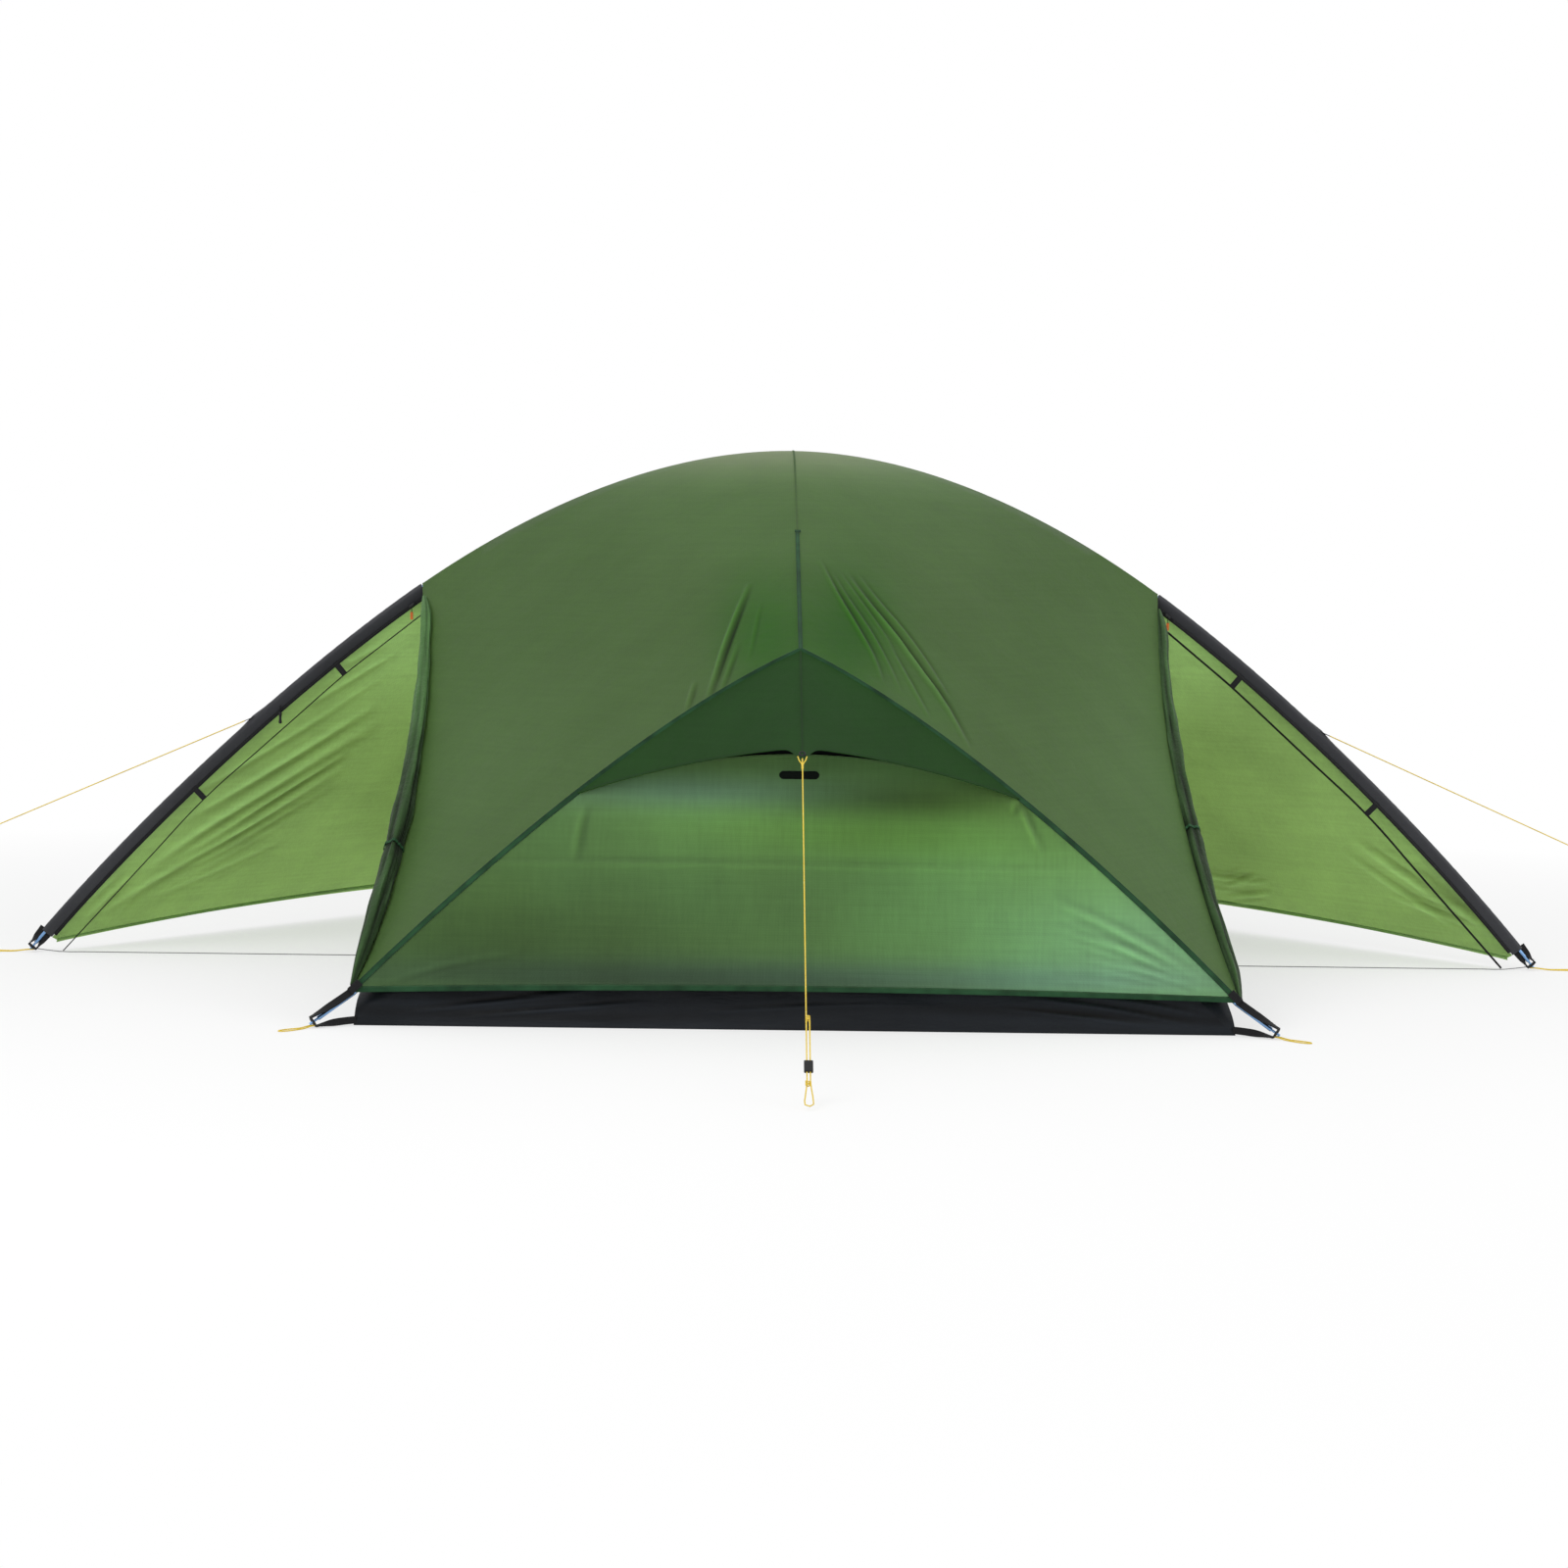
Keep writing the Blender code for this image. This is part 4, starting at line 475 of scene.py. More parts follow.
clothUsual = dict(
    patchScale=2.4, fineScale=38.0, fineTone=0.025, wornScale=(9.0, 9.0, 3.0), streak=0.035, grain=170.0,
    ripstop=0.005, ripWidth=0.0005, ripTone=-0.07, ripHeight=0.00006, pitch=0.0006, threadHeight=0.00003, paintedLightBlue=0.0,
    paintedTintRed=0.4, tint=(1.0, 1.0, 1.0), crease=0.004, creaseScale=(14.0, 14.0, 5.0), bump=0.5, sheen=0.08,
    sheenSpread=0.45, specular=0.35)


def clothMaterial(name, own):
    # Thin coated cloth: part of the light is scattered back, part comes through
    v = {**clothUsual, **own}
    material, tree = newMaterial(name)
    spot = node(tree, "ShaderNodeTexCoord")
    uv, place = spot.outputs["UV"], spot.outputs["Object"]
    broad = noise(tree, place, v["patchScale"], 2.0)
    fine = noise(tree, place, v["fineScale"], 4.0, 0.6)
    worn = noise(tree, stretched(tree, place, v["wornScale"]), 1.0, 3.0)
    grid = ripstop(tree, uv, v["ripstop"], v["ripWidth"])
    level = plus(tree, around(tree, broad, 0, v["patch"]), around(tree, fine, 0, v["fineTone"]))
    level = plus(tree, level, around(tree, worn, 0, v["patch"] * 0.5, 0.35, 0.65))
    level = plus(tree, level, times(tree, grid, v["ripTone"]))
    for grain in ((v["grain"], v["grain"], 5.0), (5.0, 5.0, v["grain"])):
        level = plus(tree, level, around(tree, noise(tree, stretched(tree, place, grain), 1.0, 2.0), 0, v["streak"]))
    # the two attributes read here are painted light and shade on the cloth's points (folds, sheen, shadow, light from
    # behind), and a painted tint that goes with them
    paintedLight, paintedTint = (node(tree, "ShaderNodeAttribute", {"attribute_name": label}).outputs["Fac"]
                  for label in ("paintedLight", "paintedTint"))
    level = times(tree, plus(tree, level, 1.0), plus(tree, paintedLight, 1.0))
    paintedLightBlue = plus(tree, times(tree, paintedLight, v["paintedLightBlue"]), 1.0)
    blue = times(tree, times(tree, level, paintedLightBlue), plus(tree, paintedTint, 1.0))
    red = times(tree, level, plus(tree, times(tree, paintedTint, v["paintedTintRed"]), 1.0))
    scaled = combined(tree, red, level, blue)
    base = mixColour(tree, 1.0, v["colour"], scaled, "MULTIPLY")
    tinted = mixColour(tree, 1.0, base, v["tint"], "MULTIPLY")
    base = mixColour(tree, spread(tree, broad, 0.35, 0.75), base, tinted)
    crease = noise(tree, stretched(tree, place, v["creaseScale"]), 1.0, 5.0, 0.62)
    weave = times(tree, threads(tree, uv, v["pitch"]), v["threadHeight"])
    height = plus(tree, weave, times(tree, grid, v["ripHeight"]))
    height = plus(tree, height, times(tree, crease, v["crease"]))
    rough = around(tree, fine, v["rough"], 0.06)
    shell, bump = surface(tree, v, base, rough, height, Sheen_Roughness=v["sheenSpread"])
    if "through" in v:
        glow = mixColour(tree, 1.0, v["through"], scaled, "MULTIPLY")
        soft = node(tree, "ShaderNodeBsdfTranslucent", None, Color=glow, Normal=bump)
        shell = node(tree, "ShaderNodeMixShader", None, Fac=v["share"], i1=shell.outputs[0], i2=soft.outputs[0])
    showShader(tree, shell)
    return material


solidUsual = dict(
    grain=400.0, patchScale=30.0, patch=0.08, fineTone=0.04, relief=0.00004, lean=0.0, ribHeight=0.0002, ribShade=0.6,
    bump=0.7, metal=0.0, sheen=0.0, specular=0.4)


def solidMaterial(name, own):
    # Moulded plastic, coated metal or dense webbing: grain and wear from noise, ribs along the UV map
    v = {**solidUsual, **own}
    material, tree = newMaterial(name)
    spot = node(tree, "ShaderNodeTexCoord")
    uv, place = spot.outputs["UV"], spot.outputs["Object"]
    fine = noise(tree, place, v["grain"], 3.0, 0.6)
    broad = noise(tree, place, v["patchScale"], 2.0)
    level = plus(tree, around(tree, broad, 1, v["patch"]), around(tree, fine, 0, v["fineTone"]))
    base = mixColour(tree, 1.0, v["colour"], combined(tree, level, level, level), "MULTIPLY")
    height = times(tree, fine, v["relief"])
    if "rib" in v:
        parts = node(tree, "ShaderNodeSeparateXYZ", None, Vector=uv)
        lean = times(tree, parts.outputs[0], v["lean"])
        for hand in (1.0, -1.0):
            turned = plus(tree, parts.outputs[1], times(tree, lean, hand))
            rib = maths(tree, "ABSOLUTE", maths(tree, "SINE", times(tree, turned, math.pi / v["rib"])))
            height = plus(tree, height, times(tree, rib, v["ribHeight"]))
        # painted shade in the grooves between the ribs
        dark = spread(tree, rib, 0.0, 0.6, v["ribShade"], 1.0)
        base = mixColour(tree, 1.0, base, combined(tree, dark, dark, dark), "MULTIPLY")
    if "fleck" in v:
        spots = spread(tree, noise(tree, stretched(tree, uv, v["fleckScale"], 0.6), 1.0, 1.0), 0.58, 0.64)
        base = mixColour(tree, spots, base, v["fleck"])
    showShader(tree, surface(tree, v, base, around(tree, fine, v["rough"], 0.07), height, Metallic=v["metal"])[0])
    return material


flyCloth = clothMaterial("flyCloth", dict(
    colour=(0.096, 0.190, 0.050), through=(0.28, 0.40, 0.10), share=0.5, rough=0.50, patch=0.05,
    tint=(1.04, 0.98, 1.12), crease=0.0034, paintedLightBlue=0.3, paintedTintRed=0.7, sheen=0.12, sheenSpread=0.35, specular=0.22,
    streak=0.022))
# The same cloth as the fly, but brighter in colour and in light through: the extra brightness is painted light coming
# through the single layer
porchClothPaintedBrighter = clothMaterial("porchClothPaintedBrighter", dict(
    colour=(0.255, 0.420, 0.150), through=(0.70, 0.88, 0.46), share=0.5, rough=0.56, patch=0.05, crease=0.0030,
    paintedLightBlue=0.4))
endCloth = clothMaterial("endWallCloth", dict(
    colour=(0.130, 0.255, 0.080), through=(0.43, 0.585, 0.250), share=0.5, rough=0.46, patch=0.07,
    tint=(0.94, 1.0, 1.10), crease=0.0036, creaseScale=(3.0, 10.0, 14.0), sheen=0.10, specular=0.28, paintedTintRed=0.10))
hoodCloth = clothMaterial("hoodCloth", dict(
    colour=(0.016, 0.062, 0.011), through=(0.06, 0.16, 0.035), share=0.30, rough=0.58, patch=0.10, crease=0.0034,
    specular=0.13, sheen=0.04))
rolledCloth = clothMaterial("rolledCloth", dict(
    colour=(0.032, 0.074, 0.022), rough=0.60, patch=0.22, crease=0.0080, creaseScale=(70.0, 70.0, 12.0),
    specular=0.14, sheen=0.05))
meshCloth = clothMaterial("doorMesh", dict(
    colour=(0.050, 0.055, 0.050), through=(0.16, 0.18, 0.15), share=0.35, rough=0.7, patch=0.08, pitch=0.0018,
    ripstop=0.0024, crease=0.0030))
# Near-black mesh, whose colour also paints the shade under the hood
ventMeshAndShade = clothMaterial("ventMesh", dict(
    colour=(0.005, 0.006, 0.006), rough=0.85, patch=0.08, pitch=0.0018, ripstop=0.0024, crease=0.0020, specular=0.05,
    sheen=0.02))
sleeveCloth = clothMaterial("sleeveCloth", dict(
    colour=(0.026, 0.027, 0.032), rough=0.58, patch=0.12, pitch=0.0011, ripstop=0.0035, crease=0.0025,
    creaseScale=(40.0, 40.0, 40.0), sheen=0.15))
floorCloth = clothMaterial("floorCloth", dict(
    colour=(0.0056, 0.0074, 0.0100), rough=0.50, patch=0.16, pitch=0.0009, specular=0.16, crease=0.0085,
    creaseScale=(5.0, 5.0, 34.0), sheen=0.02))
innerCloth = clothMaterial("innerCloth", dict(
    colour=(0.52, 0.56, 0.46), through=(0.60, 0.63, 0.52), share=0.45, rough=0.66, patch=0.05, crease=0.0040))
# The binding's strong random patches are painted highlights along it
bindingTape = solidMaterial("bindingTape", dict(
    colour=(0.017, 0.062, 0.025), rough=0.60, rib=0.0012, ribHeight=0.00012, ribShade=0.75, patchScale=22.0,
    patch=0.35, specular=0.12))
blackTape = solidMaterial("blackTape", dict(
    colour=(0.009, 0.0095, 0.0105), rough=0.72, rib=0.0011, ribHeight=0.00012, ribShade=0.7, specular=0.2))
webbingMaterial = solidMaterial("webbing", dict(
    colour=(0.0095, 0.0095, 0.0105), rough=0.76, rib=0.0016, lean=1.0, ribHeight=0.0002, ribShade=0.55, sheen=0.05,
    specular=0.2))
yellowCord = solidMaterial("yellowCord", dict(
    colour=(0.78, 0.56, 0.055), rough=0.68, rib=0.0016, lean=0.9, ribHeight=0.00025, ribShade=0.80,
    fleck=(0.86, 0.74, 0.30), fleckScale=(900.0, 330.0, 1.0), specular=0.2))
greyCord = solidMaterial("greyCord", dict(
    colour=(0.20, 0.20, 0.21), rough=0.7, rib=0.0012, lean=0.9, ribHeight=0.00018, ribShade=0.75))
blackCord = solidMaterial("blackCord", dict(
    colour=(0.008, 0.008, 0.009), rough=0.74, rib=0.0014, lean=0.9, ribHeight=0.0002, ribShade=0.6, specular=0.2))
poleFinish = solidMaterial("anodisedPole", dict(
    colour=(0.19, 0.34, 0.58), rough=0.26, metal=1.0, grain=220.0, relief=0.00001, patch=0.05))
hubFinish = solidMaterial("hubPlastic", dict(colour=(0.040, 0.042, 0.046), rough=0.42, relief=0.00006))
blackPlastic = solidMaterial("blackPlastic", dict(
    colour=(0.0085, 0.0088, 0.0098), rough=0.42, specular=0.3, relief=0.00004, grain=700.0))
barFinish = solidMaterial("stiffenerBar", dict(
    colour=(0.0040, 0.0070, 0.0048), rough=0.70, specular=0.08, relief=0.00004, grain=500.0))
orangePull = solidMaterial("orangePull", dict(
    colour=(0.78, 0.17, 0.03), rough=0.62, rib=0.0012, ribHeight=0.0002, ribShade=0.75))
threadGreen = solidMaterial("greenThread", dict(colour=(0.050, 0.095, 0.034), rough=0.6, grain=900.0))
threadDark = solidMaterial("darkThread", dict(colour=(0.012, 0.013, 0.014), rough=0.6, grain=900.0))
print("materials made")


# Plain floor, white background, soft light
studioLight = dict(
    sky=0.80, floorShade=0.82, floorGlow=0.58, glowReach=(1.9, 4.2), floorHalf=60, floorBelow=0.0005,
    lamps=dict(key=dict(place=(-2.6, -3.8, 4.6), aim=(0, 0, 0.4), size=3.4, power=130.0),
               fill=dict(place=(3.6, -2.4, 2.6), aim=(0, 0, 0.5), size=3.0, power=42.0)))


def seenRay(tree):
    ray = node(tree, "ShaderNodeLightPath")
    either = maths(tree, "MAXIMUM", ray.outputs["Is Camera Ray"], ray.outputs["Is Glossy Ray"])
    return maths(tree, "MAXIMUM", either, ray.outputs["Is Transmission Ray"])


def makeStudio(v):
    world = bpy.data.worlds.new("softStudio")
    world.use_nodes = True
    tree = world.node_tree
    tree.nodes.clear()
    strength = spread(tree, seenRay(tree), 0.0, 1.0, v["sky"], 1.0)
    showShader(tree, node(tree, "ShaderNodeBackground", None, Color=(1.0, 1.0, 1.0), Strength=strength), "World")
    bpy.context.scene.world = world
    for name, lamp in v["lamps"].items():
        light = bpy.data.lights.new(name, "AREA")
        light.size, light.energy = lamp["size"], lamp["power"]
        stand = bpy.data.objects.new(name, light)
        bpy.context.scene.collection.objects.link(stand)
        stand.location = lamp["place"]
        stand.rotation_euler = (Vector(lamp["aim"]) - Vector(lamp["place"])).to_track_quat("-Z", "Y").to_euler()
    floor, tree = newMaterial("paleFloor")
    matt = node(tree, "ShaderNodeBsdfDiffuse", None, Color=(v["floorShade"],) * 3)
    white = node(tree, "ShaderNodeEmission", None, Color=(1.0, 1.0, 1.0), Strength=1.0)
    place = node(tree, "ShaderNodeTexCoord").outputs["Object"]
    reach = node(tree, "ShaderNodeVectorMath", {"operation": "LENGTH"}, i0=place).outputs["Value"]
    glow = times(tree, seenRay(tree), spread(tree, reach, *v["glowReach"], v["floorGlow"], 1.0))
    showShader(tree, node(tree, "ShaderNodeMixShader", None, Fac=glow, i1=matt.outputs[0], i2=white.outputs[0]))
    mesh = bpy.data.meshes.new("studioFloor")
    side = v["floorHalf"]
    mesh.from_pydata([(-side, -side, 0), (side, -side, 0), (side, side, 0), (-side, side, 0)], [], [(0, 1, 2, 3)])
    mesh.materials.append(floor)
    ground = bpy.data.objects.new("studioFloor", mesh)
    bpy.context.scene.collection.objects.link(ground)
    ground.location.z = cadBox[0][2] - v["floorBelow"]
    bpy.context.scene.view_settings.view_transform = "Standard"


makeStudio(studioLight)
print("studio made")


# The tent's seam lines, for the quarter at plus X and minus Y
form = dict(
    crown=1.191, crownReach=0.312, shoulder=(0.860, 0.869), shoulderSlope=35.3, shoulderUp=0.2945, shoulderDown=0.350,
    foot=(1.775, 0.006), footSlope=50.5, footReach=0.400, roofFall=33.0, doorLine=0.860, nose=(1.035, 0.757),
    corner=(0.885, 1.108, 0.068), noseSlope=25.0, cornerSlope=45.0, legReach=0.330, spineCrown=0.250, spineSlope=26.5,
    spineReach=0.450, sideSag=0.045, hemRise=0.012, ventX=0.446, ventRise=0.055, ventCover=0.028, hoodX=0.440,
    hoodTip=(1.300, 0.556), hoodSag=(0.030, 0.012), hoodNick=(0.095, 0.045), porchFoot=(1.716, 0.018, 0.026),
    porchRise=0.015, poleRadius=0.0045, seamGap=0.0004, cloth=0.0015, sleeveTop=0.0090, sleeveTail=0.0200,
    sleeveHalf=0.0085, sleeveEnd=0.055)


def downSlope(degrees):
    return vec(math.cos(math.radians(degrees)), 0, -math.sin(math.radians(degrees)))


def archHalf():
    top, foot = vec(form["shoulder"][0], 0, form["shoulder"][1]), vec(form["foot"][0], 0, form["foot"][1])
    down, footDown = downSlope(form["shoulderSlope"]), downSlope(form["footSlope"])
    crown = bezier((0, 0, form["crown"]), (form["crownReach"], 0, form["crown"]), top - down * form["shoulderUp"], top)
    flank = bezier(top, top + down * form["shoulderDown"], foot - footDown * form["footReach"], foot)
    return np.vstack([crown, flank[1:]])


def raised(line, height):
    # The same line, moved up square to itself
    along = directions(line)
    return line + np.stack([-along[:, 2], along[:, 1] * 0, along[:, 0]], axis=1) * height


arch = archHalf()
archRun = runOf(arch)[-1]
flyHeight = (form["poleRadius"] + form["seamGap"] + form["cloth"] / 2) / math.cos(math.radians(form["roofFall"]))
flyArch = raised(arch, flyHeight)
roofArch = partOf(flyArch, 0, whereX(flyArch, form["doorLine"]))
peak, shoulder = roofArch[0], roofArch[-1]
nose = vec(0, -form["nose"][0], form["nose"][1])
corner = vec(form["corner"][0], -form["corner"][1], form["corner"][2])


def fallingSeam(top, end, crownReach, endReach):
    down = vec(0, -math.cos(math.radians(form["spineSlope"])), -math.sin(math.radians(form["spineSlope"])))
    return bezier(top, top - vec(0, crownReach, 0), end - down * endReach, end)


def legSeam():
    a, b = math.radians(form["noseSlope"]), math.radians(form["cornerSlope"])
    reach, (cx, cy, cz), (ny, nz) = form["legReach"], form["corner"], form["nose"]
    flat = bezier((0, nz), (reach * math.cos(a), nz - reach * math.sin(a)),
                  (cx - reach * math.cos(b), cz + reach * math.sin(b)), (cx, cz))
    return np.stack([flat[:, 0], -ny - (cy - ny) * flat[:, 0] / cx, flat[:, 1]], axis=1)


centreSeam = fallingSeam(peak, nose, form["spineCrown"], form["spineReach"])
sideEdge = bowed(shoulder, corner, (-form["sideSag"], 0, 0))
legLine = legSeam()


def upFromArch(where):
    along = tangent(arch, where)
    return vec(-along[2], 0, along[0])


def stretchAt(near, far, start, end, u, v):
    # A surface stretched between its four edges: near and far run across, start and end run down
    corners = (1 - v) * ((1 - u) * near[0] + u * near[-1]) + v * ((1 - u) * far[0] + u * far[-1])
    return (1 - v) * near[None] + v * far[None] + (1 - u) * start[:, None] + u * end[:, None] - corners


def quarterGrid(us, vs, near=None, far=None, start=None, end=None):
    near, far = roofArch if near is None else near, legLine if far is None else far
    start, end = centreSeam if start is None else start, sideEdge if end is None else end
    us, vs = np.asarray(us), np.asarray(vs)
    return stretchAt(share(near, us), share(far, us), share(start, vs), share(end, vs), us[None, :, None],
                     vs[:, None, None])


def acrossWhole(half):
    return np.vstack([flip(half, -1, 1)[::-1], half[1:]])


def foldHeight(points, folds):
    # Tension folds, each (points seen from the front, width, height): a crest with a hollow beside it.
    # Gives the height, and the painted highlight on the crest and painted shade in the hollow that go with it.
    flat = points[..., [0, 2]]
    height, shade = np.zeros(flat.shape[:-1]), np.zeros(flat.shape[:-1])
    for line, width, high in folds:
        line = smoothThrough(line, 10)
        run = runOf(line)
        low, top = line.min(0) - 3 * width, line.max(0) + 3 * width
        near = np.where(((flat > low) & (flat < top)).all(-1))
        spots = flat[near]
        best, at, off = np.full(len(spots), 1e9), np.zeros(len(spots)), np.zeros(len(spots))
        for k in range(len(line) - 1):
            step = line[k + 1] - line[k]
            size = float(np.linalg.norm(step))
            t = np.clip(((spots - line[k]) @ step) / size ** 2, 0, 1)
            gap = np.linalg.norm(spots - line[k] - t[:, None] * step, axis=-1)
            beside = (spots[:, 0] - line[k][0]) * -step[1] + (spots[:, 1] - line[k][1]) * step[0]
            closer = gap < best
            best = np.where(closer, gap, best)
            at = np.where(closer, (run[k] + t * size) / run[-1], at)
            off = np.where(closer, np.sign(beside) * gap, off)
        ends = high * np.sin(np.clip(at, 0, 1) * math.pi) ** 0.8
        x = off / width
        hollow = np.exp(-(1.5 * (x - 1.25)) ** 2)
        height[near] += ends * (np.exp(-(1.5 * x) ** 2) - 0.6 * hollow)
        shade[near] += ends * (0.85 * np.exp(-(2.0 * (x + 0.1)) ** 2) - hollow)
    return height, shade


def fanned(folds, copies, seed):
    # Smaller folds beside each main one
    dice = np.random.default_rng(seed)
    made = list(folds)
    for line, width, high in folds:
        line = np.asarray(line, dtype=float)
        across = unit(vec(-(line[-1] - line[0])[1], (line[-1] - line[0])[0]))
        for k in range(copies):
            off = width * (1.9 + 1.7 * k) * (1 if dice.random() > 0.5 else -1) * (0.8 + 0.4 * dice.random())
            ends = np.sort(dice.random(2) * 0.35)
            part = share(smoothThrough(line, 12), np.linspace(ends[0], 1 - ends[1], 4))
            made.append((part + across * off, width * 0.8, high * (0.35 + 0.3 * dice.random())))
    return made


def paintedLightSpots(points, spots):
    # Painted light and shade on a cloth, as slow changes of brightness, each (place seen from the front, reach across
    # and up, amount)
    flat = points[..., [0, 2]]
    paintedLight = np.zeros(flat.shape[:-1])
    for (x, z), (rx, rz), amount in spots:
        paintedLight += amount * np.exp(-((flat[..., 0] - x) / rx) ** 2 - ((flat[..., 1] - z) / rz) ** 2)
    return paintedLight


def pressedOut(grid, height, outward):
    return grid + gridNormals(grid) * outward * height[..., None]


# Cords
cordAt = dict(
    radius=0.00125, ground=0.0001, hoodEnd=(0.0, -2.000, 0.004), hoodClear=0.0004, hoodLoop=0.060, hoodLoopHalf=0.006,
    hoodTailTop=0.684, hoodPoints=60, strands=0.006, guyTabX=1.247, guyTab=0.026, guyTabRoot=0.003,
    guyTabSink=0.001, guySlope=23.6, guyEndX=1.900, guyLoop=0.040, guyLoopHalf=0.008, guyTail=0.030,
    guyTailGap=0.0030, guyPoints=44, knot=(0.0034, 0.011),
    yoke=((0.0088, 0.0014, 0.0036, 0), (0.0060, 0, 0, 0.006), (0.0018, 0, 0, 0.015), (0.0010, 0, 0, 0.030)),
    knotLead=0.050, knotLength=0.035, knotTip=0.008, loopShoulder=0.4, loopFullness=0.85, cornerReach=0.085,
    footReach=0.140, loopHalf=0.0065, loopPoints=22, plateBack=0.008, plateThick=0.0025, strapOffset=0.0104,
    webbing=0.0016, pegDrop=0.0070, pegSpread=0.0042, pegLead=0.004, pegLanding=0.35, pegFullness=0.9,
    baseRadius=0.0010, basePoints=16, baseBack=0.004, baseLead=0.012, porchRadius={"left": 0.0013, "right": 0.0025},
    porchPoints=24, porchTop=0.085, porchAway=(1, 0.6, -0.6), porchFootX=1.698, tabX=(1.075, 1.405), tabRoot=0.006,
    tabDrop=0.034, tabHem=0.003, floorX=0.880, legBack=0.0095, legDrop=0.0085, legEnd=(0.961, 1.138, 0.0075))


def loopedEnd(length, loop, half, tail, spacing):
    # A cord that turns back on itself in a loop: (distance along, distance aside) of its points
    knot = (length - cordAt["knotLength"], length - cordAt["knotTip"], length)
    route = [(a, 0.0) for a in (*np.linspace(0, length - cordAt["knotLead"], 8), *knot)]
    middle, bend = -spacing / 2, length + loop - half
    side = [(length + loop * cordAt["loopShoulder"], half * cordAt["loopFullness"]), (bend, half)]
    side.append((bend + half * math.sin(math.pi / 4), half * math.cos(math.pi / 4)))
    route += [(a, middle + w) for a, w in side] + [(length + loop, middle)] + [(a, middle - w) for a, w in side[::-1]]
    route += [(a, -spacing) for a in knot[::-1]]
    return route + [(a, -spacing) for a in np.linspace(length - cordAt["knotLead"], length - tail, 3) if a < knot[0]]


def layOut(route, start, along, wide):
    return [start + unit(along) * a + unit(wide) * w for a, w in route]


def guyStart():
    where = whereX(arch, cordAt["guyTabX"])
    root = walk(arch, where) + upFromArch(where) * (form["sleeveTop"] - cordAt["guyTabSink"])
    slope = math.radians(cordAt["guySlope"])
    return root, vec(math.cos(slope), 0, -math.sin(slope))


def legPoleLine():
    inside = legLine + vec(0, cordAt["legBack"], -cordAt["legDrop"])
    end = vec(cordAt["legEnd"][0], -cordAt["legEnd"][1], cordAt["legEnd"][2])
    return np.vstack([inside, bowed(inside[-1], end, (0, 0, 0), 8)[1:]])


legPole = legPoleLine()


def plateFrame(line):
    run = runOf(line)[-1]
    return walk(line, run - cordAt["plateBack"]), tangent(line, run - cordAt["plateBack"])


def plateUp(axis):
    return unit(np.cross(unit(np.cross(axis, vec(0, 0, 1))), axis))


def grounded(points, radius):
    points[:, 2] = np.maximum(points[:, 2], radius + cordAt["ground"])
    return points


def pegLoop(centre, axis, outward, reach):
    # Both strands leave the plate's hole, come down to the ground and meet at the tip
    flat, wide = unit(np.cross(axis, vec(0, 0, 1))), unit(np.cross(outward, vec(0, 0, 1)))
    upward = plateUp(axis)
    lean = math.sqrt(max(0.0, 1 - float(axis @ outward) ** 2))
    face = cordAt["plateThick"] / 2 + cordAt["radius"] * lean + form["seamGap"]
    out = centre + axis * face - upward * cordAt["pegDrop"]
    half = cordAt["loopHalf"]
    bend, tip = out + outward * (reach - half), out + outward * reach
    strands = []
    for hand in (1, -1):
        first = out + flat * cordAt["pegSpread"] * hand
        landed = [out + outward * reach * cordAt["pegLanding"] + wide * half * cordAt["pegFullness"] * hand,
                  bend + wide * half * hand,
                  bend + (outward * math.sin(math.pi / 4) + wide * math.cos(math.pi / 4) * hand) * half]
        for point in (*landed, tip):
            point[2] = cordAt["radius"] + cordAt["ground"]
        strands.append([first, first + outward * cordAt["pegLead"], *landed])
    return grounded(smoothThrough([*strands[0], tip, *strands[1][::-1]], cordAt["loopPoints"]), cordAt["radius"])


def tabEnd(x, radius):
    where = whereX(arch, x)
    drop = form["sleeveTail"] - cordAt["tabRoot"] + cordAt["tabDrop"] + cordAt["tabHem"]
    away = vec(0, form["cloth"] + form["seamGap"], 0)
    return walk(arch, where) - upFromArch(where) * (drop + form["seamGap"] + radius) - away


def baseRoute():
    centre, axis = plateFrame(arch)
    upward = plateUp(axis)
    below = cordAt["strapOffset"] + cordAt["webbing"] / 2 + form["seamGap"] + cordAt["baseRadius"]
    start = centre - upward * below - axis * cordAt["baseBack"]
    low = cordAt["baseRadius"] + 2 * cordAt["ground"]
    end = vec(cordAt["floorX"] + form["seamGap"], 0, low)
    lead = cordAt["baseLead"]
    route = [start, start + vec(-lead, 0, -lead / 10), vec(start[0] - 3 * lead, 0, low + 4 * cordAt["ground"])]
    route += [vec(start[0] + (end[0] - start[0]) * t, 0, low) for t in (0.12, 0.4, 0.7)] + [end]
    return grounded(smoothThrough(route, cordAt["basePoints"]), cordAt["baseRadius"])


def porchRoute(side):
    radius = cordAt["porchRadius"][side]
    top = walk(sideEdge, cordAt["porchTop"] * runOf(sideEdge)[-1])
    top = top + unit(vec(*cordAt["porchAway"])) * (form["cloth"] / 2 + form["seamGap"] + radius)
    ground = 2 * cordAt["baseRadius"] + form["seamGap"] + radius * math.cos(math.radians(form["footSlope"]))
    stops = [top, *(tabEnd(x, radius) for x in cordAt["tabX"]), vec(cordAt["porchFootX"], 0, ground)]
    route = [stops[0]]
    for a, b in zip(stops[:-1], stops[1:]):
        route += [a + (b - a) * t for t in (0.06, 0.35, 0.65, 0.94)]
    return smoothThrough([*route, stops[-1]], cordAt["porchPoints"])


def makeCord(name, path, radius, material):
    smooth = smoothThrough(path, len(path) * 2)
    piece = tubePiece(name + "Line", smooth, radius, material, sides=12)
    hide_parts(name)


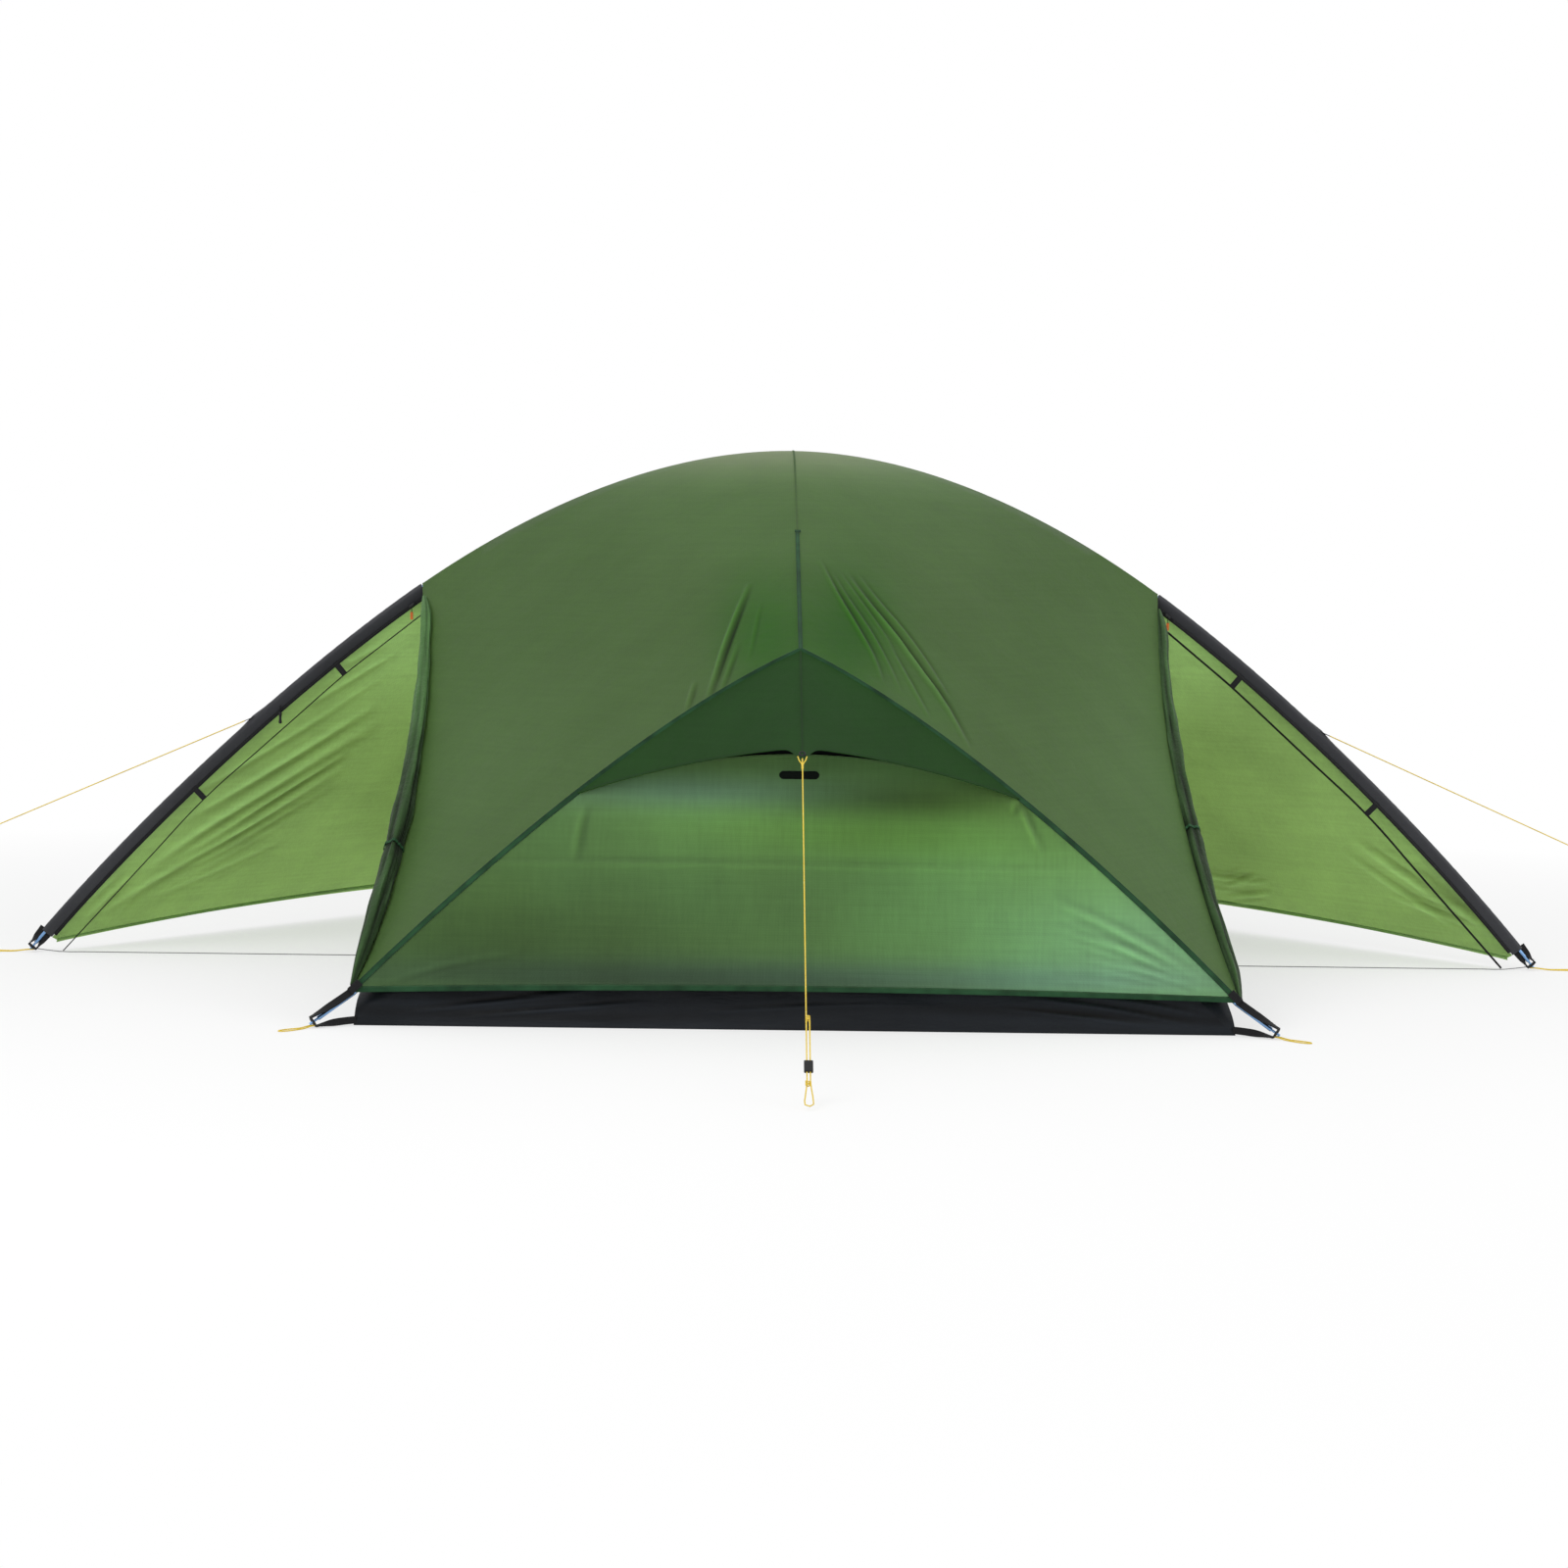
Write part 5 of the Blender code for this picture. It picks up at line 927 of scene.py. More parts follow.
def hoodRoute():
    tip, end = vec(0, -form["hoodTip"][0], form["hoodTip"][1]), vec(*cordAt["hoodEnd"])
    along = unit(end - tip)
    start = tip + along * cordAt["hoodClear"]
    length = float(np.linalg.norm(end - start)) - cordAt["hoodLoop"]
    route = loopedEnd(length, cordAt["hoodLoop"], cordAt["hoodLoopHalf"], length - cordAt["hoodTailTop"],
                      cordAt["strands"])
    return smoothThrough(layOut(route, start, along, vec(-1, 0, 0)), cordAt["hoodPoints"]), start, along, length


def makeKnot(name, centre, along):
    # Turns of cord round a line, pulled tight
    wide, long = cordAt["knot"]
    side = unit(np.cross(along, vec(0.2, 0.3, 1)))
    t = np.linspace(0, 1, 48)
    path = centre + along * long * (t[:, None] - 0.5) + wide * spokes(t * 6 * math.pi, side, np.cross(along, side))
    return tubePiece(name, path, cordAt["radius"] * 0.85, yellowCord, sides=8)


def makeCords():
    route, start, along, length = hoodRoute()
    middle = vec(cordAt["strands"] / 2, 0, 0)
    knots = [makeKnot("hoodLineKnot", start + along * (cordAt["hoodTailTop"] - 0.002) + middle, along),
             makeKnot("hoodLoopKnot", start + along * (length + 0.004) + middle * 0.4, along)]
    for hand in (1, -1):
        strand = [start + vec(x * hand, y, z) + along * down for x, y, z, down in cordAt["yoke"]]
        knots.append(tubePiece("hoodLineYoke%d" % (hand + 1), smoothThrough(strand, 24), cordAt["radius"] * 0.9,
                               yellowCord))
    makeCord("hood_guyline", route, cordAt["radius"], yellowCord)
    root, out = guyStart()
    begin = root + out * (cordAt["guyTab"] - cordAt["guyTabRoot"] + form["seamGap"])
    reach = (cordAt["guyEndX"] - begin[0]) / out[0]
    guy = loopedEnd(reach, cordAt["guyLoop"], cordAt["guyLoopHalf"], cordAt["guyTail"], cordAt["guyTailGap"])
    guy = smoothThrough(layOut(guy, begin, out, vec(0, 1, 0)), cordAt["guyPoints"])
    spot = begin + out * (reach - cordAt["guyTail"] + 0.008) - vec(0, cordAt["guyTailGap"] / 2, 0)
    for side, sx in sideSign.items():
        knot = makeKnot("guylineKnot_" + side, flip(spot, sx, 1), flip(out, sx, 1))
        makeCord("ridge_guyline_" + side, flip(guy, sx, 1), cordAt["radius"], yellowCord)
        corner = pegLoop(*plateFrame(flip(legPole, sx, 1)), unit(vec(sx, -1, 0)), cordAt["cornerReach"])
        foot = pegLoop(*plateFrame(flip(arch, sx, 1)), vec(sx, 0, 0), cordAt["footReach"])
        for name, path, radius, material, lay in (
                ("corner_loop_", corner, cordAt["radius"], yellowCord, "loose"),
                ("foot_loop_", foot, cordAt["radius"], yellowCord, "loose"),
                ("base_cord_", flip(baseRoute(), sx, 1), cordAt["baseRadius"], greyCord, "loose"),
                ("porch_cord_", flip(porchRoute(side), sx, 1), cordAt["porchRadius"][side], blackCord, "taut")):
            makeCord(name + side, path, radius, material)


makeCords()
print("cords made")


# Flysheet: one continuous cloth over the arch and both spines
roofFolds = dict(
    right=[
        ([(0.044, 0.942), (0.079, 0.870), (0.119, 0.800), (0.156, 0.727), (0.166, 0.690)], 0.0058, 0.0036),
        ([(0.102, 0.911), (0.146, 0.851), (0.199, 0.785), (0.249, 0.714), (0.293, 0.654), (0.343, 0.560)],
         0.0066, 0.0054),
        ([(0.125, 0.911), (0.169, 0.853), (0.217, 0.797), (0.270, 0.722), (0.310, 0.655)], 0.0052, 0.0028),
        ([(0.068, 0.916), (0.103, 0.858), (0.143, 0.798), (0.179, 0.731), (0.205, 0.670)], 0.0050, 0.0024),
        ([(0.181, 0.773), (0.218, 0.704), (0.262, 0.620)], 0.0050, 0.0022),
        ([(0.087, 0.914), (0.127, 0.857), (0.171, 0.794), (0.201, 0.747)], 0.0048, 0.0020)],
    left=[
        ([(-0.103, 0.890), (-0.133, 0.814), (-0.154, 0.757), (-0.177, 0.686), (-0.190, 0.650)], 0.0066, 0.0052),
        ([(-0.125, 0.769), (-0.142, 0.721), (-0.162, 0.665)], 0.0055, 0.0022),
        ([(-0.212, 0.690), (-0.229, 0.633)], 0.0060, 0.0024),
        ([(-0.080, 0.850), (-0.092, 0.790), (-0.104, 0.735)], 0.0050, 0.0012)])


# Painted shade and highlight of the folds, for their height in metres
foldShade = 135.0      # how much darker one side of a fold is for its height in metres
# Painted light and shade on the roof: a painted sheen at the peak, lighter low at the sides, darker beside the centre
# seam; and a painted tint, greyer at the peak and yellower beside the seam
roofPaintedLight = [
    ((0.0, 1.20), (0.75, 0.085), 0.80), ((0.0, 1.02), (0.50, 0.10), 0.14), ((-0.85, 0.45), (0.35, 0.35), 0.12),
    ((0.85, 0.45), (0.35, 0.35), 0.20), ((0.095, 0.78), (0.095, 0.12), -0.27), ((-0.080, 0.77), (0.080, 0.10), -0.16)]
roofPaintedTint = [
    ((-0.10, 1.20), (0.60, 0.070), 0.65), ((0.100, 0.78), (0.105, 0.13), -0.84),
    ((-0.078, 0.78), (0.085, 0.12), -0.74), ((0.260, 0.64), (0.070, 0.08), -0.20)]
# Painted light and shade on the end walls: painted shadow under the hood, bands of painted light and shade from the
# inner tent and tub seen through the cloth, a painted highlight low at one side; with a painted tint to match
wallPaintedLight = [
    ((0.75, 0.20), (0.50, 0.30), 0.85), ((-0.60, 0.17), (0.36, 0.085), -0.33), ((-0.10, 0.44), (0.26, 0.075), 0.72),
    ((0.0, 0.345), (0.45, 0.035), 0.12), ((-0.10, 0.100), (0.70, 0.038), -0.46),
    ((0.22, 0.462), (0.26, 0.034), -0.57)]
wallPaintedTint = [
    ((-0.18, 0.475), (0.33, 0.035), 0.85), ((0.0, 0.105), (0.85, 0.035), 0.75), ((0.72, 0.18), (0.36, 0.14), 0.65),
    ((0.20, 0.39), (0.28, 0.05), -0.28), ((0.26, 0.465), (0.22, 0.04), -0.45), ((-0.67, 0.20), (0.25, 0.10), -0.10)]
# Painted light on the porches: lighter near the top, a little darker near the foot
porchPaintedLight = [((0.92, 0.75), (0.22, 0.16), 0.20), ((1.60, 0.08), (0.20, 0.10), -0.06)]


flyValues = dict(
    roofAcross=(0.40, 138, 15), roofDown=(0.42, 106, 17), rearRows=22, roofFold=1.2, roofCover=0.75,
    wallSteps=(221, 75), wallFan=(1, 8), wallShade=0.6, wallCover=0.7, hoodAcross=(0.15, 18, 35), hoodRows=37,
    hoodCover=0.5, porchSteps=(221, 161), porchFan=(2, 5), porchShade=0.37, porchCover=0.6)


def evenly(counts):
    return (np.linspace(0, 1, n) for n in counts)


def besideEdge(count):
    # A line on the roof cloth beside its side edge
    return quarterGrid([10 / 12], np.linspace(0, 1, count))[:, 0]


def denseShares(fineEnd, fineCount, coarseCount):
    # Steps from 0 to 1, fine up to fineEnd and coarser beyond
    return np.concatenate([np.linspace(0, fineEnd, fineCount, endpoint=False), np.linspace(fineEnd, 1, coarseCount)])


def wholeRoof(front, rear):
    # From the two quarters on the right
    right = np.vstack([front[::-1], flip(rear, 1, -1)[1:]])
    return np.concatenate([flip(right, -1, 1)[:, ::-1], right[:, 1:]], axis=1)


def makeCanopy(v):
    us, front = denseShares(*v["roofAcross"]), 1 - denseShares(*v["roofDown"])[::-1]
    grid = wholeRoof(quarterGrid(us, front), quarterGrid(us, np.linspace(0, 1, v["rearRows"])))
    front = grid[..., 1] < 0.02
    height, shade = foldHeight(grid, roofFolds["right"] + roofFolds["left"])
    # painted light and shade: the roof's painted sheen and shade, and the painted highlights and shade of the folds at
    # the front
    paintedLight = paintedLightSpots(grid, roofPaintedLight) + np.where(front, shade * foldShade, 0.0)
    grid = pressedOut(grid, np.where(front, height * v["roofFold"], 0.0), 1)
    clothPiece("canopyCloth", grid, flyCloth,
               ["roof_panel_%s_%s" % (end, side) for end in endSign for side in sideSign],
               paintedLight=paintedLight, paintedTint=paintedLightSpots(grid, roofPaintedTint) * front)


wallFolds = [
    ([(-0.426, 0.451), (-0.440, 0.390), (-0.447, 0.328)], 0.011, 0.0035),
    ([(0.431, 0.466), (0.423, 0.435)], 0.010, 0.0040),
    ([(0.432, 0.468), (0.461, 0.400), (0.481, 0.357)], 0.010, 0.0040),
    ([(-0.74, 0.322), (-0.30, 0.327), (0.20, 0.324), (0.60, 0.318)], 0.009, 0.0018)]
cornerFolds = [
    ([(0.50, 0.265), (0.62, 0.215), (0.74, 0.150), (0.82, 0.095)], 0.011, 0.0034),
    ([(0.52, 0.205), (0.66, 0.165), (0.80, 0.100)], 0.010, 0.0030),
    ([(0.56, 0.150), (0.70, 0.125), (0.83, 0.085)], 0.009, 0.0028),
    ([(0.50, 0.110), (0.66, 0.098), (0.80, 0.080)], 0.008, 0.0018),
    ([(-0.56, 0.150), (-0.70, 0.125), (-0.83, 0.085)], 0.009, 0.0014)]


def endWallGrid(us, vs):
    ventAt = whereX(legLine, form["ventX"])
    leg = partOf(legLine, ventAt, runOf(legLine)[-1])[::-1]
    hem = bowed(flip(corner, -1, 1), corner, (0, 0, form["hemRise"]))
    vent = bowed(flip(leg[-1], -1, 1), leg[-1], (0, 0, form["ventRise"] + form["ventCover"]))
    return quarterGrid(us, vs, hem, vent, flip(leg, -1, 1), leg)


def hoodGrid(us, vs):
    seam = partOf(legLine, 0, whereX(legLine, form["hoodX"]))
    end = seam[-1] + vec(0, -0.004, -0.003)
    free = bowed(vec(0, -form["hoodTip"][0], form["hoodTip"][1]), end, (0, *form["hoodSag"]))
    top, bottom = acrossWhole(share(seam, us)), acrossWhole(share(free, us))
    us = np.asarray(us)
    aside = np.concatenate([us[::-1], us[1:]])
    cut = form["hoodNick"][0] * (1 - np.exp(-(aside / form["hoodNick"][1]) ** 2))
    v = np.asarray(vs)[:, None, None] * (1 - cut)[:, None]
    return (1 - v) * top[None] + v * bottom[None]


def porchGrid(us, vs):
    below = form["sleeveTail"] + form["seamGap"] + form["cloth"] / 2
    places = np.linspace(whereX(arch, form["doorLine"]) + form["seamGap"], archRun - form["sleeveEnd"], 13)
    top = np.array([walk(arch, s) - upFromArch(s) * below for s in places])
    hem = bowed(corner, form["porchFoot"] * vec(1, -1, 1), (0, 0, form["porchRise"]))
    shares = np.linspace(0, 1, 11)
    seam = share(sideEdge, shares)
    seam = seam + (top[0] - seam[0]) * np.clip(1 - shares / 0.08, 0, 1)[:, None]
    return quarterGrid(us, vs, top, hem, seam, bowed(top[-1], hem[-1], (0, 0, 0), 10))


def makeEndWalls(v):
    for end, sy in endSign.items():
        grid = flip(endWallGrid(*evenly(v["wallSteps"])), 1, -sy)
        height, shade = foldHeight(grid, wallFolds + fanned(cornerFolds, *v["wallFan"]))
        # painted light and shade: painted shadow under the hood, light and shade seen through the cloth, and the
        # folds' painted highlights and shade
        paintedLight = paintedLightSpots(grid, wallPaintedLight) + shade * foldShade * v["wallShade"]
        grid = pressedOut(grid, height * (sy < 0), 1)
        clothPiece("endWallCloth_" + end, grid, endCloth,
                   ["end_wall_" + end], -sy,
                   paintedLight=paintedLight, paintedTint=paintedLightSpots(grid, wallPaintedTint))


def makeHoods(v):
    for end, sy in endSign.items():
        grid = flip(hoodGrid(denseShares(*v["hoodAcross"]), np.linspace(0, 1, v["hoodRows"])), 1, -sy)
        clothPiece("ventHoodCloth_" + end, grid, hoodCloth,
                   ["vent_hood_" + end], sy)


porchFolds = dict(
    left=[
        ([(-0.992, 0.59), (-1.183, 0.465), (-1.353, 0.358), (-1.433, 0.310)], 0.012, 0.0055),
        ([(-0.997, 0.542), (-1.240, 0.386), (-1.421, 0.269), (-1.520, 0.192)], 0.013, 0.0062),
        ([(-1.080, 0.425), (-1.277, 0.302), (-1.452, 0.200), (-1.636, 0.084)], 0.011, 0.0050),
        ([(-1.229, 0.249), (-1.386, 0.174), (-1.531, 0.114)], 0.009, 0.0022),
        ([(-0.951, 0.742), (-1.060, 0.679)], 0.009, 0.0030),
        ([(-0.96, 0.70), (-1.08, 0.625), (-1.16, 0.575)], 0.009, 0.0030),
        ([(-1.058, 0.477), (-1.219, 0.372), (-1.371, 0.270), (-1.499, 0.187)], 0.011, 0.0045),
        ([(-1.535, 0.195), (-1.613, 0.121), (-1.663, 0.067)], 0.009, 0.0030)],
    right=[
        ([(1.364, 0.293), (1.478, 0.214), (1.555, 0.163), (1.655, 0.098)], 0.010, 0.0045),
        ([(1.468, 0.153), (1.555, 0.124), (1.647, 0.090)], 0.009, 0.0036),
        ([(1.152, 0.122), (1.212, 0.166)], 0.010, 0.0034),
        ([(1.00, 0.175), (1.10, 0.150), (1.24, 0.146)], 0.009, 0.0030),
        ([(1.162, 0.091), (1.253, 0.118)], 0.010, 0.0030),
        ([(1.494, 0.222), (1.606, 0.138), (1.671, 0.080)], 0.009, 0.0036)])


def makePorches(v):
    for side, sx in sideSign.items():
        grid = flip(porchGrid(*evenly(v["porchSteps"])), sx, -1)
        height, shade = foldHeight(grid, fanned(porchFolds[side], *v["porchFan"]))
        # painted light: lighter near the top, and the folds' painted highlights and shade
        paintedLight = paintedLightSpots(grid * vec(sx, 1, 1), porchPaintedLight) + shade * foldShade * v["porchShade"]
        clothPiece("porchClothPaintedBrighter_" + side, pressedOut(grid, height, -sx), porchClothPaintedBrighter,
                   ["porch_panel_" + side], sx, paintedLight=paintedLight)


makeCanopy(flyValues)
makeEndWalls(flyValues)
makeHoods(flyValues)
makePorches(flyValues)
print("flysheet made")


# Arch sleeves over the poles of the porches
sleeveValues = dict(
    rings=120, sides=26, inside=0.90, pucker=0.00045, puckerPitch=0.021, patch=0.0045, patchReach=0.060,
    patchHalf=0.0078, patchRise=0.0006, tab=(0.014, 0.0013), guyTab=(0.012, 0.0016))


def sleeveProfile(where, v):
    # A teardrop round the pole whose tail carries the porch cloth, puckered by its stitching
    ring = []
    for turn in np.arange(v["sides"]) * 2 * math.pi / v["sides"]:
        high, side = math.cos(turn), math.sin(turn)
        pucker = v["pucker"] * math.sin(where / v["puckerPitch"] * 2 * math.pi + 2.3 * turn) * (0.4 + 0.6 * abs(side))
        pucker += v["pucker"] * 0.7 * math.sin(where * 173.0 + 5.0 * turn)
        wide = side * form["sleeveHalf"] + pucker * side
        if high >= 0:
            ring.append((wide, high * form["sleeveTop"] + pucker * 0.6))
        else:
            ring.append((wide * (1 + high * 0.55), high * form["sleeveTail"]))
    return ring


def sleeveShell(v):
    # Points, faces and UVs of the right sleeve: an outer layer, an inner one and a rim at both ends
    sides, rings, size = v["sides"], v["rings"], v["sides"] * v["rings"]
    quads = ringFaces(rings, sides, capped=False)
    faces = [face for quad in quads for face in (quad, tuple(i + size for i in quad[::-1]))]
    for base in (0, size - sides):
        for c in range(sides):
            here, after = base + c, base + (c + 1) % sides
            quad = (after, here, here + size, after + size)
            faces.append(quad[::-1] if base else quad)
    guyAt = whereX(arch, cordAt["guyTabX"])
    start = whereX(arch, form["doorLine"]) + form["seamGap"]
    points, uvs = [], []
    for shrink in (1.0, v["inside"]):
        for s in np.linspace(start, archRun - form["sleeveEnd"], rings):
            near = max(0.0, 1 - abs(s - guyAt) / v["patchReach"])
            lift = v["patchRise"] * near ** 0.5 * (shrink == 1.0)
            ring = [walk(arch, s) + vec(0, a * shrink, 0) + upFromArch(s) * (b * shrink + lift * (b > 0))
                    for a, b in sleeveProfile(s, v)]
            points += ring
            uvs += [(r, s) for r in runOf(np.vstack([ring, ring[:1]]))[:-1]]
    return points, faces, uvs


def makeSleeves(v):
    points, faces, uvs = sleeveShell(v)
    root, out = guyStart()
    for side, sx in sideSign.items():
        mesh = meshFrom("sleeve_" + side, flip(points, sx, 1), faces, uvs, 50)
        fixNormals(mesh)
        sleeve = addObject("archSleeve_" + side, mesh, sleeveCloth)
        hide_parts("arch_sleeve_" + side)
        for k, x in enumerate(cordAt["tabX"]):
            where = whereX(arch, x)
            up, ahead = upFromArch(where), form["cloth"] + form["seamGap"]
            top = walk(arch, where) - up * (form["sleeveTail"] - cordAt["tabRoot"])
            length = cordAt["tabDrop"] + cordAt["tabRoot"]
            path = [top - up * length * t - vec(0, ahead + 0.0004 * math.sin(t * 3), 0) for t in np.linspace(0, 1, 9)]
            bandPiece("sleeveTab_%s_%d" % (side, k), flip(path, sx, 1), flip(tangent(arch, where), sx, 1), *v["tab"],
                      blackTape, slot="sleeve_black")
        path = [root + out * (t * cordAt["guyTab"] - cordAt["guyTabRoot"]) for t in np.linspace(0, 1, 10)]
        bandPiece("guyTab_" + side, flip(path, sx, 1), (0, 1, 0), *v["guyTab"], webbingMaterial, slot="sleeve_black")
        guyPatch(side, sx, v)


def guyPatch(side, sx, v):
    # Three-cornered reinforcement that spreads the guyline's pull along the sleeve
    guyAt, reach, across = whereX(arch, cordAt["guyTabX"]), v["patchReach"], np.linspace(-1, 1, 9)[:, None]
    grid = []
    for s in np.linspace(guyAt - reach, guyAt + reach * 0.9, 33):
        lift = v["patch"] * max(0.0, 1 - abs(s - guyAt) / reach) ** 1.15
        high = form["sleeveTop"] - 0.004 + (lift + 0.0025) * (1 - np.abs(across))
        grid.append(walk(arch, s) + upFromArch(s) * high + vec(0, v["patchHalf"], 0) * across)
    mesh = sheetMesh("guyPatch_" + side, flip(np.stack(grid, axis=1), sx, 1), 0.0009)
    fixNormals(mesh)
    addObject("guyPatch_" + side, mesh, sleeveCloth)


makeSleeves(sleeveValues)
print("sleeves made")


# Porch doors, rolled up along the cabin's side edges
# The roll's painted light and shade: its range, where it changes along the roll, how dark the creases are painted, and
# for each side its values at those places
rollValues = dict(
    thickness=0.0006, paintedLightRange=(-0.8, 1.2), start=0.045, end=0.990, rings=150, steps=30, taper=0.07, core=0.12,
    paintedLightAt=(0.30, 0.52), creasePaintedShade=2.4, tieReach=1.035, tieBand=(0.0075, 0.0012), toggleHalf=0.011,
    toggle=(0.0026, 0.0036, 0.0039, 0.0030, 0.0026),
    left=dict(
        radii=(0.0115, 0.0225, 0.0120), fullest=0.74, turns=6, ties=(0.70,), seed=4, place=(-0.85, 1.0),
        paintedLight=(0.75, -0.30)),
    right=dict(
        radii=(0.013, 0.019, 0.015), fullest=0.60, turns=6, ties=(0.60,), seed=9, place=(0.93, 0.0),
        paintedLight=(-0.15, -0.45)))


def rollRadius(v, t):
    top, full, bottom = v["radii"]
    ends = top if t < v["fullest"] else bottom
    reach = t / v["fullest"] if t < v["fullest"] else (1 - t) / (1 - v["fullest"])
    ends += (full - ends) * math.sin(reach * math.pi / 2) ** 2
    near = min(1.0, t / rollValues["taper"], (1 - t) / rollValues["taper"])
    return ends * (0.35 + 0.65 * math.sin(near * math.pi / 2))


def rollFrame(t):
    # On the side edge: place, direction along it, away from the roof cloth, and square to both
    run = runOf(sideEdge)[-1]
    edge, along = walk(sideEdge, t * run), tangent(sideEdge, t * run)
    out = edge - share(besideEdge(41), [t])[0]
    out = unit(out - along * float(out @ along))
    return edge, along, out, np.cross(along, out)


def rollShape(turns, t, own):
    # Creases shared by all turns of the roll, so that they stay clear of each other
    turn, seed = turns % (2 * math.pi), own["seed"]
    lumps = 0.10 * np.sin(3 * turn + 5.0 * t + seed) + 0.055 * np.sin(7 * turn - 13 * t + 2 * seed)
    fine = 0.035 * np.sin(13 * turn + 29 * t + seed) + 0.020 * np.sin(19 * turn - 61 * t)
    fine = fine + 0.03 * np.sin(47 * t + 2 * turn + seed)
    tie = 0.16 * math.exp(-((t - own["ties"][0]) / 0.022) ** 2)
    return 1 - 0.12 * (0.5 + 0.5 * np.cos(5 * turn + 6 * t)) + lumps + fine - tie


def rollCentre(own, edge, out, over, radius):
    # Beside the edge, or on the roof cloth along it
    aside, above = own["place"]
    outside = over * (1 if over[2] - over[1] > 0 else -1)
    return edge + out * (aside * radius + math.copysign(form["seamGap"], aside)) + outside * above * (radius + 0.002)


def makeRolledDoors(v):
    for side, sx in sideSign.items():
        own = v[side]
        steps = own["turns"] * v["steps"]
        count = np.arange(steps + 1)
        turn = math.pi + 2 * math.pi * count / v["steps"]
        rows, paintedLightRows = [], []
        for s in np.linspace(0, 1, v["rings"]):
            edge, _, out, over = rollFrame(v["start"] + s * (v["end"] - v["start"]))
            radius = rollRadius(own, s) * (1 + 0.05 * math.sin(23 * s) + 0.03 * math.sin(61 * s + 2))
            shape = rollShape(turn, s, own)
            bend = radius * (v["core"] + (1 - v["core"]) * (1 - count / steps)) * shape
            rows.append(rollCentre(own, edge, out, over, radius) + bend[:, None] * spokes(turn, out, over))
            # painted light and shade along the roll, lighter or darker by place along it, and painted shade in its
            # creases
            paintedLightRows.append(np.interp(s, v["paintedLightAt"], own["paintedLight"]) + v["creasePaintedShade"] * (shape - 0.94))
        ties = [tie for n, s in enumerate(own["ties"]) for tie in makeTie("doorTie_%s_%d" % (side, n), v, own, s, sx)]
        clothPiece("rolledDoorCloth_" + side, flip(np.stack(rows), sx, 1), rolledCloth,
                   ["rolled_door_" + side], -sx, v["thickness"], np.clip(paintedLightRows, *v["paintedLightRange"]))


def makeTie(name, v, own, s, sx):
    # Elastic loop and toggle that hold the roll
    edge, along, out, over = rollFrame(v["start"] + s * (v["end"] - v["start"]))
    radius = rollRadius(own, s)
    centre = rollCentre(own, edge, out, over, radius)
    turns = np.linspace(0, 2 * math.pi, 37)
    reach = radius * v["tieReach"] * rollShape(turns, s, own) + 0.0010
    path = centre + reach[:, None] * spokes(turns, out, over)
    band = bandPiece(name, flip(path, sx, 1), flip(along, sx, 1), *v["tieBand"], bindingTape)
    spot = centre + radius * 1.02 * unit(out * 0.75 - over * 0.66)
    half = len(v["toggle"]) - 1
    barrel = [flip(spot + along * a, sx, 1) for a in np.linspace(-v["toggleHalf"], v["toggleHalf"], 2 * half + 1)]
    return [band, tubePiece(name + "Toggle", barrel, [*v["toggle"], *v["toggle"][-2::-1]], blackPlastic)]


makeRolledDoors(rollValues)
print("rolled doors made")


# Tub floor and inner tent
inner = dict(
    floor=(0.880, 1.095), tub=0.130, height=1.145, peak=(0.810, 0.825), sag=0.065, nose=(0.985, 0.685), crown=0.330,
    shoulderReach=0.270, shoulderSlope=40.0, noseSlope=28.0, cornerSlope=44.0, seam=0.300, lift=0.0018, hinge=0.055,
    hingeGap=0.0014, sill=0.175, margin=0.105, endHeight=0.060, round=0.030, roofSag=0.010)


def endPlane(x, z):
    fy = inner["floor"][1]
    return vec(x, -fy + (fy - inner["nose"][0]) * z / inner["nose"][1], z)


def innerLegLine():
    a, b, reach = math.radians(inner["noseSlope"]), math.radians(inner["cornerSlope"]), inner["seam"]
    flat = bezier((0, inner["nose"][1]), (reach * math.cos(a), inner["nose"][1] - reach * math.sin(a)),
                  (inner["floor"][0] - reach * math.cos(b), reach * math.sin(b)), (inner["floor"][0], 0))
    return np.array([endPlane(x, z) for x, z in flat])


innerPeak, sidePeak = vec(0, 0, inner["height"]), vec(inner["peak"][0], 0, inner["peak"][1])
innerNose, floorCorner = vec(0, -inner["nose"][0], inner["nose"][1]), vec(inner["floor"][0], -inner["floor"][1], 0)
innerLeg = innerLegLine()
innerArch = bezier(innerPeak, innerPeak + vec(inner["crown"], 0, 0),
                   sidePeak - downSlope(inner["shoulderSlope"]) * inner["shoulderReach"], sidePeak)
sideRise = sidePeak - vec(inner["floor"][0], 0, 0)
sideHeight = float(np.linalg.norm(sideRise))
sideUp = sideRise / sideHeight
span = math.hypot(inner["floor"][1], sideHeight)
sagWay = vec(0, 1, 0) * sideHeight / span - sideUp * inner["floor"][1] / span
innerSide = bowed(sidePeak, floorCorner, sagWay * inner["sag"])


def atHeight(line, z):
    falling = line[::-1]
    return np.array([np.interp(z, falling[:, 2], falling[:, k]) for k in range(3)])


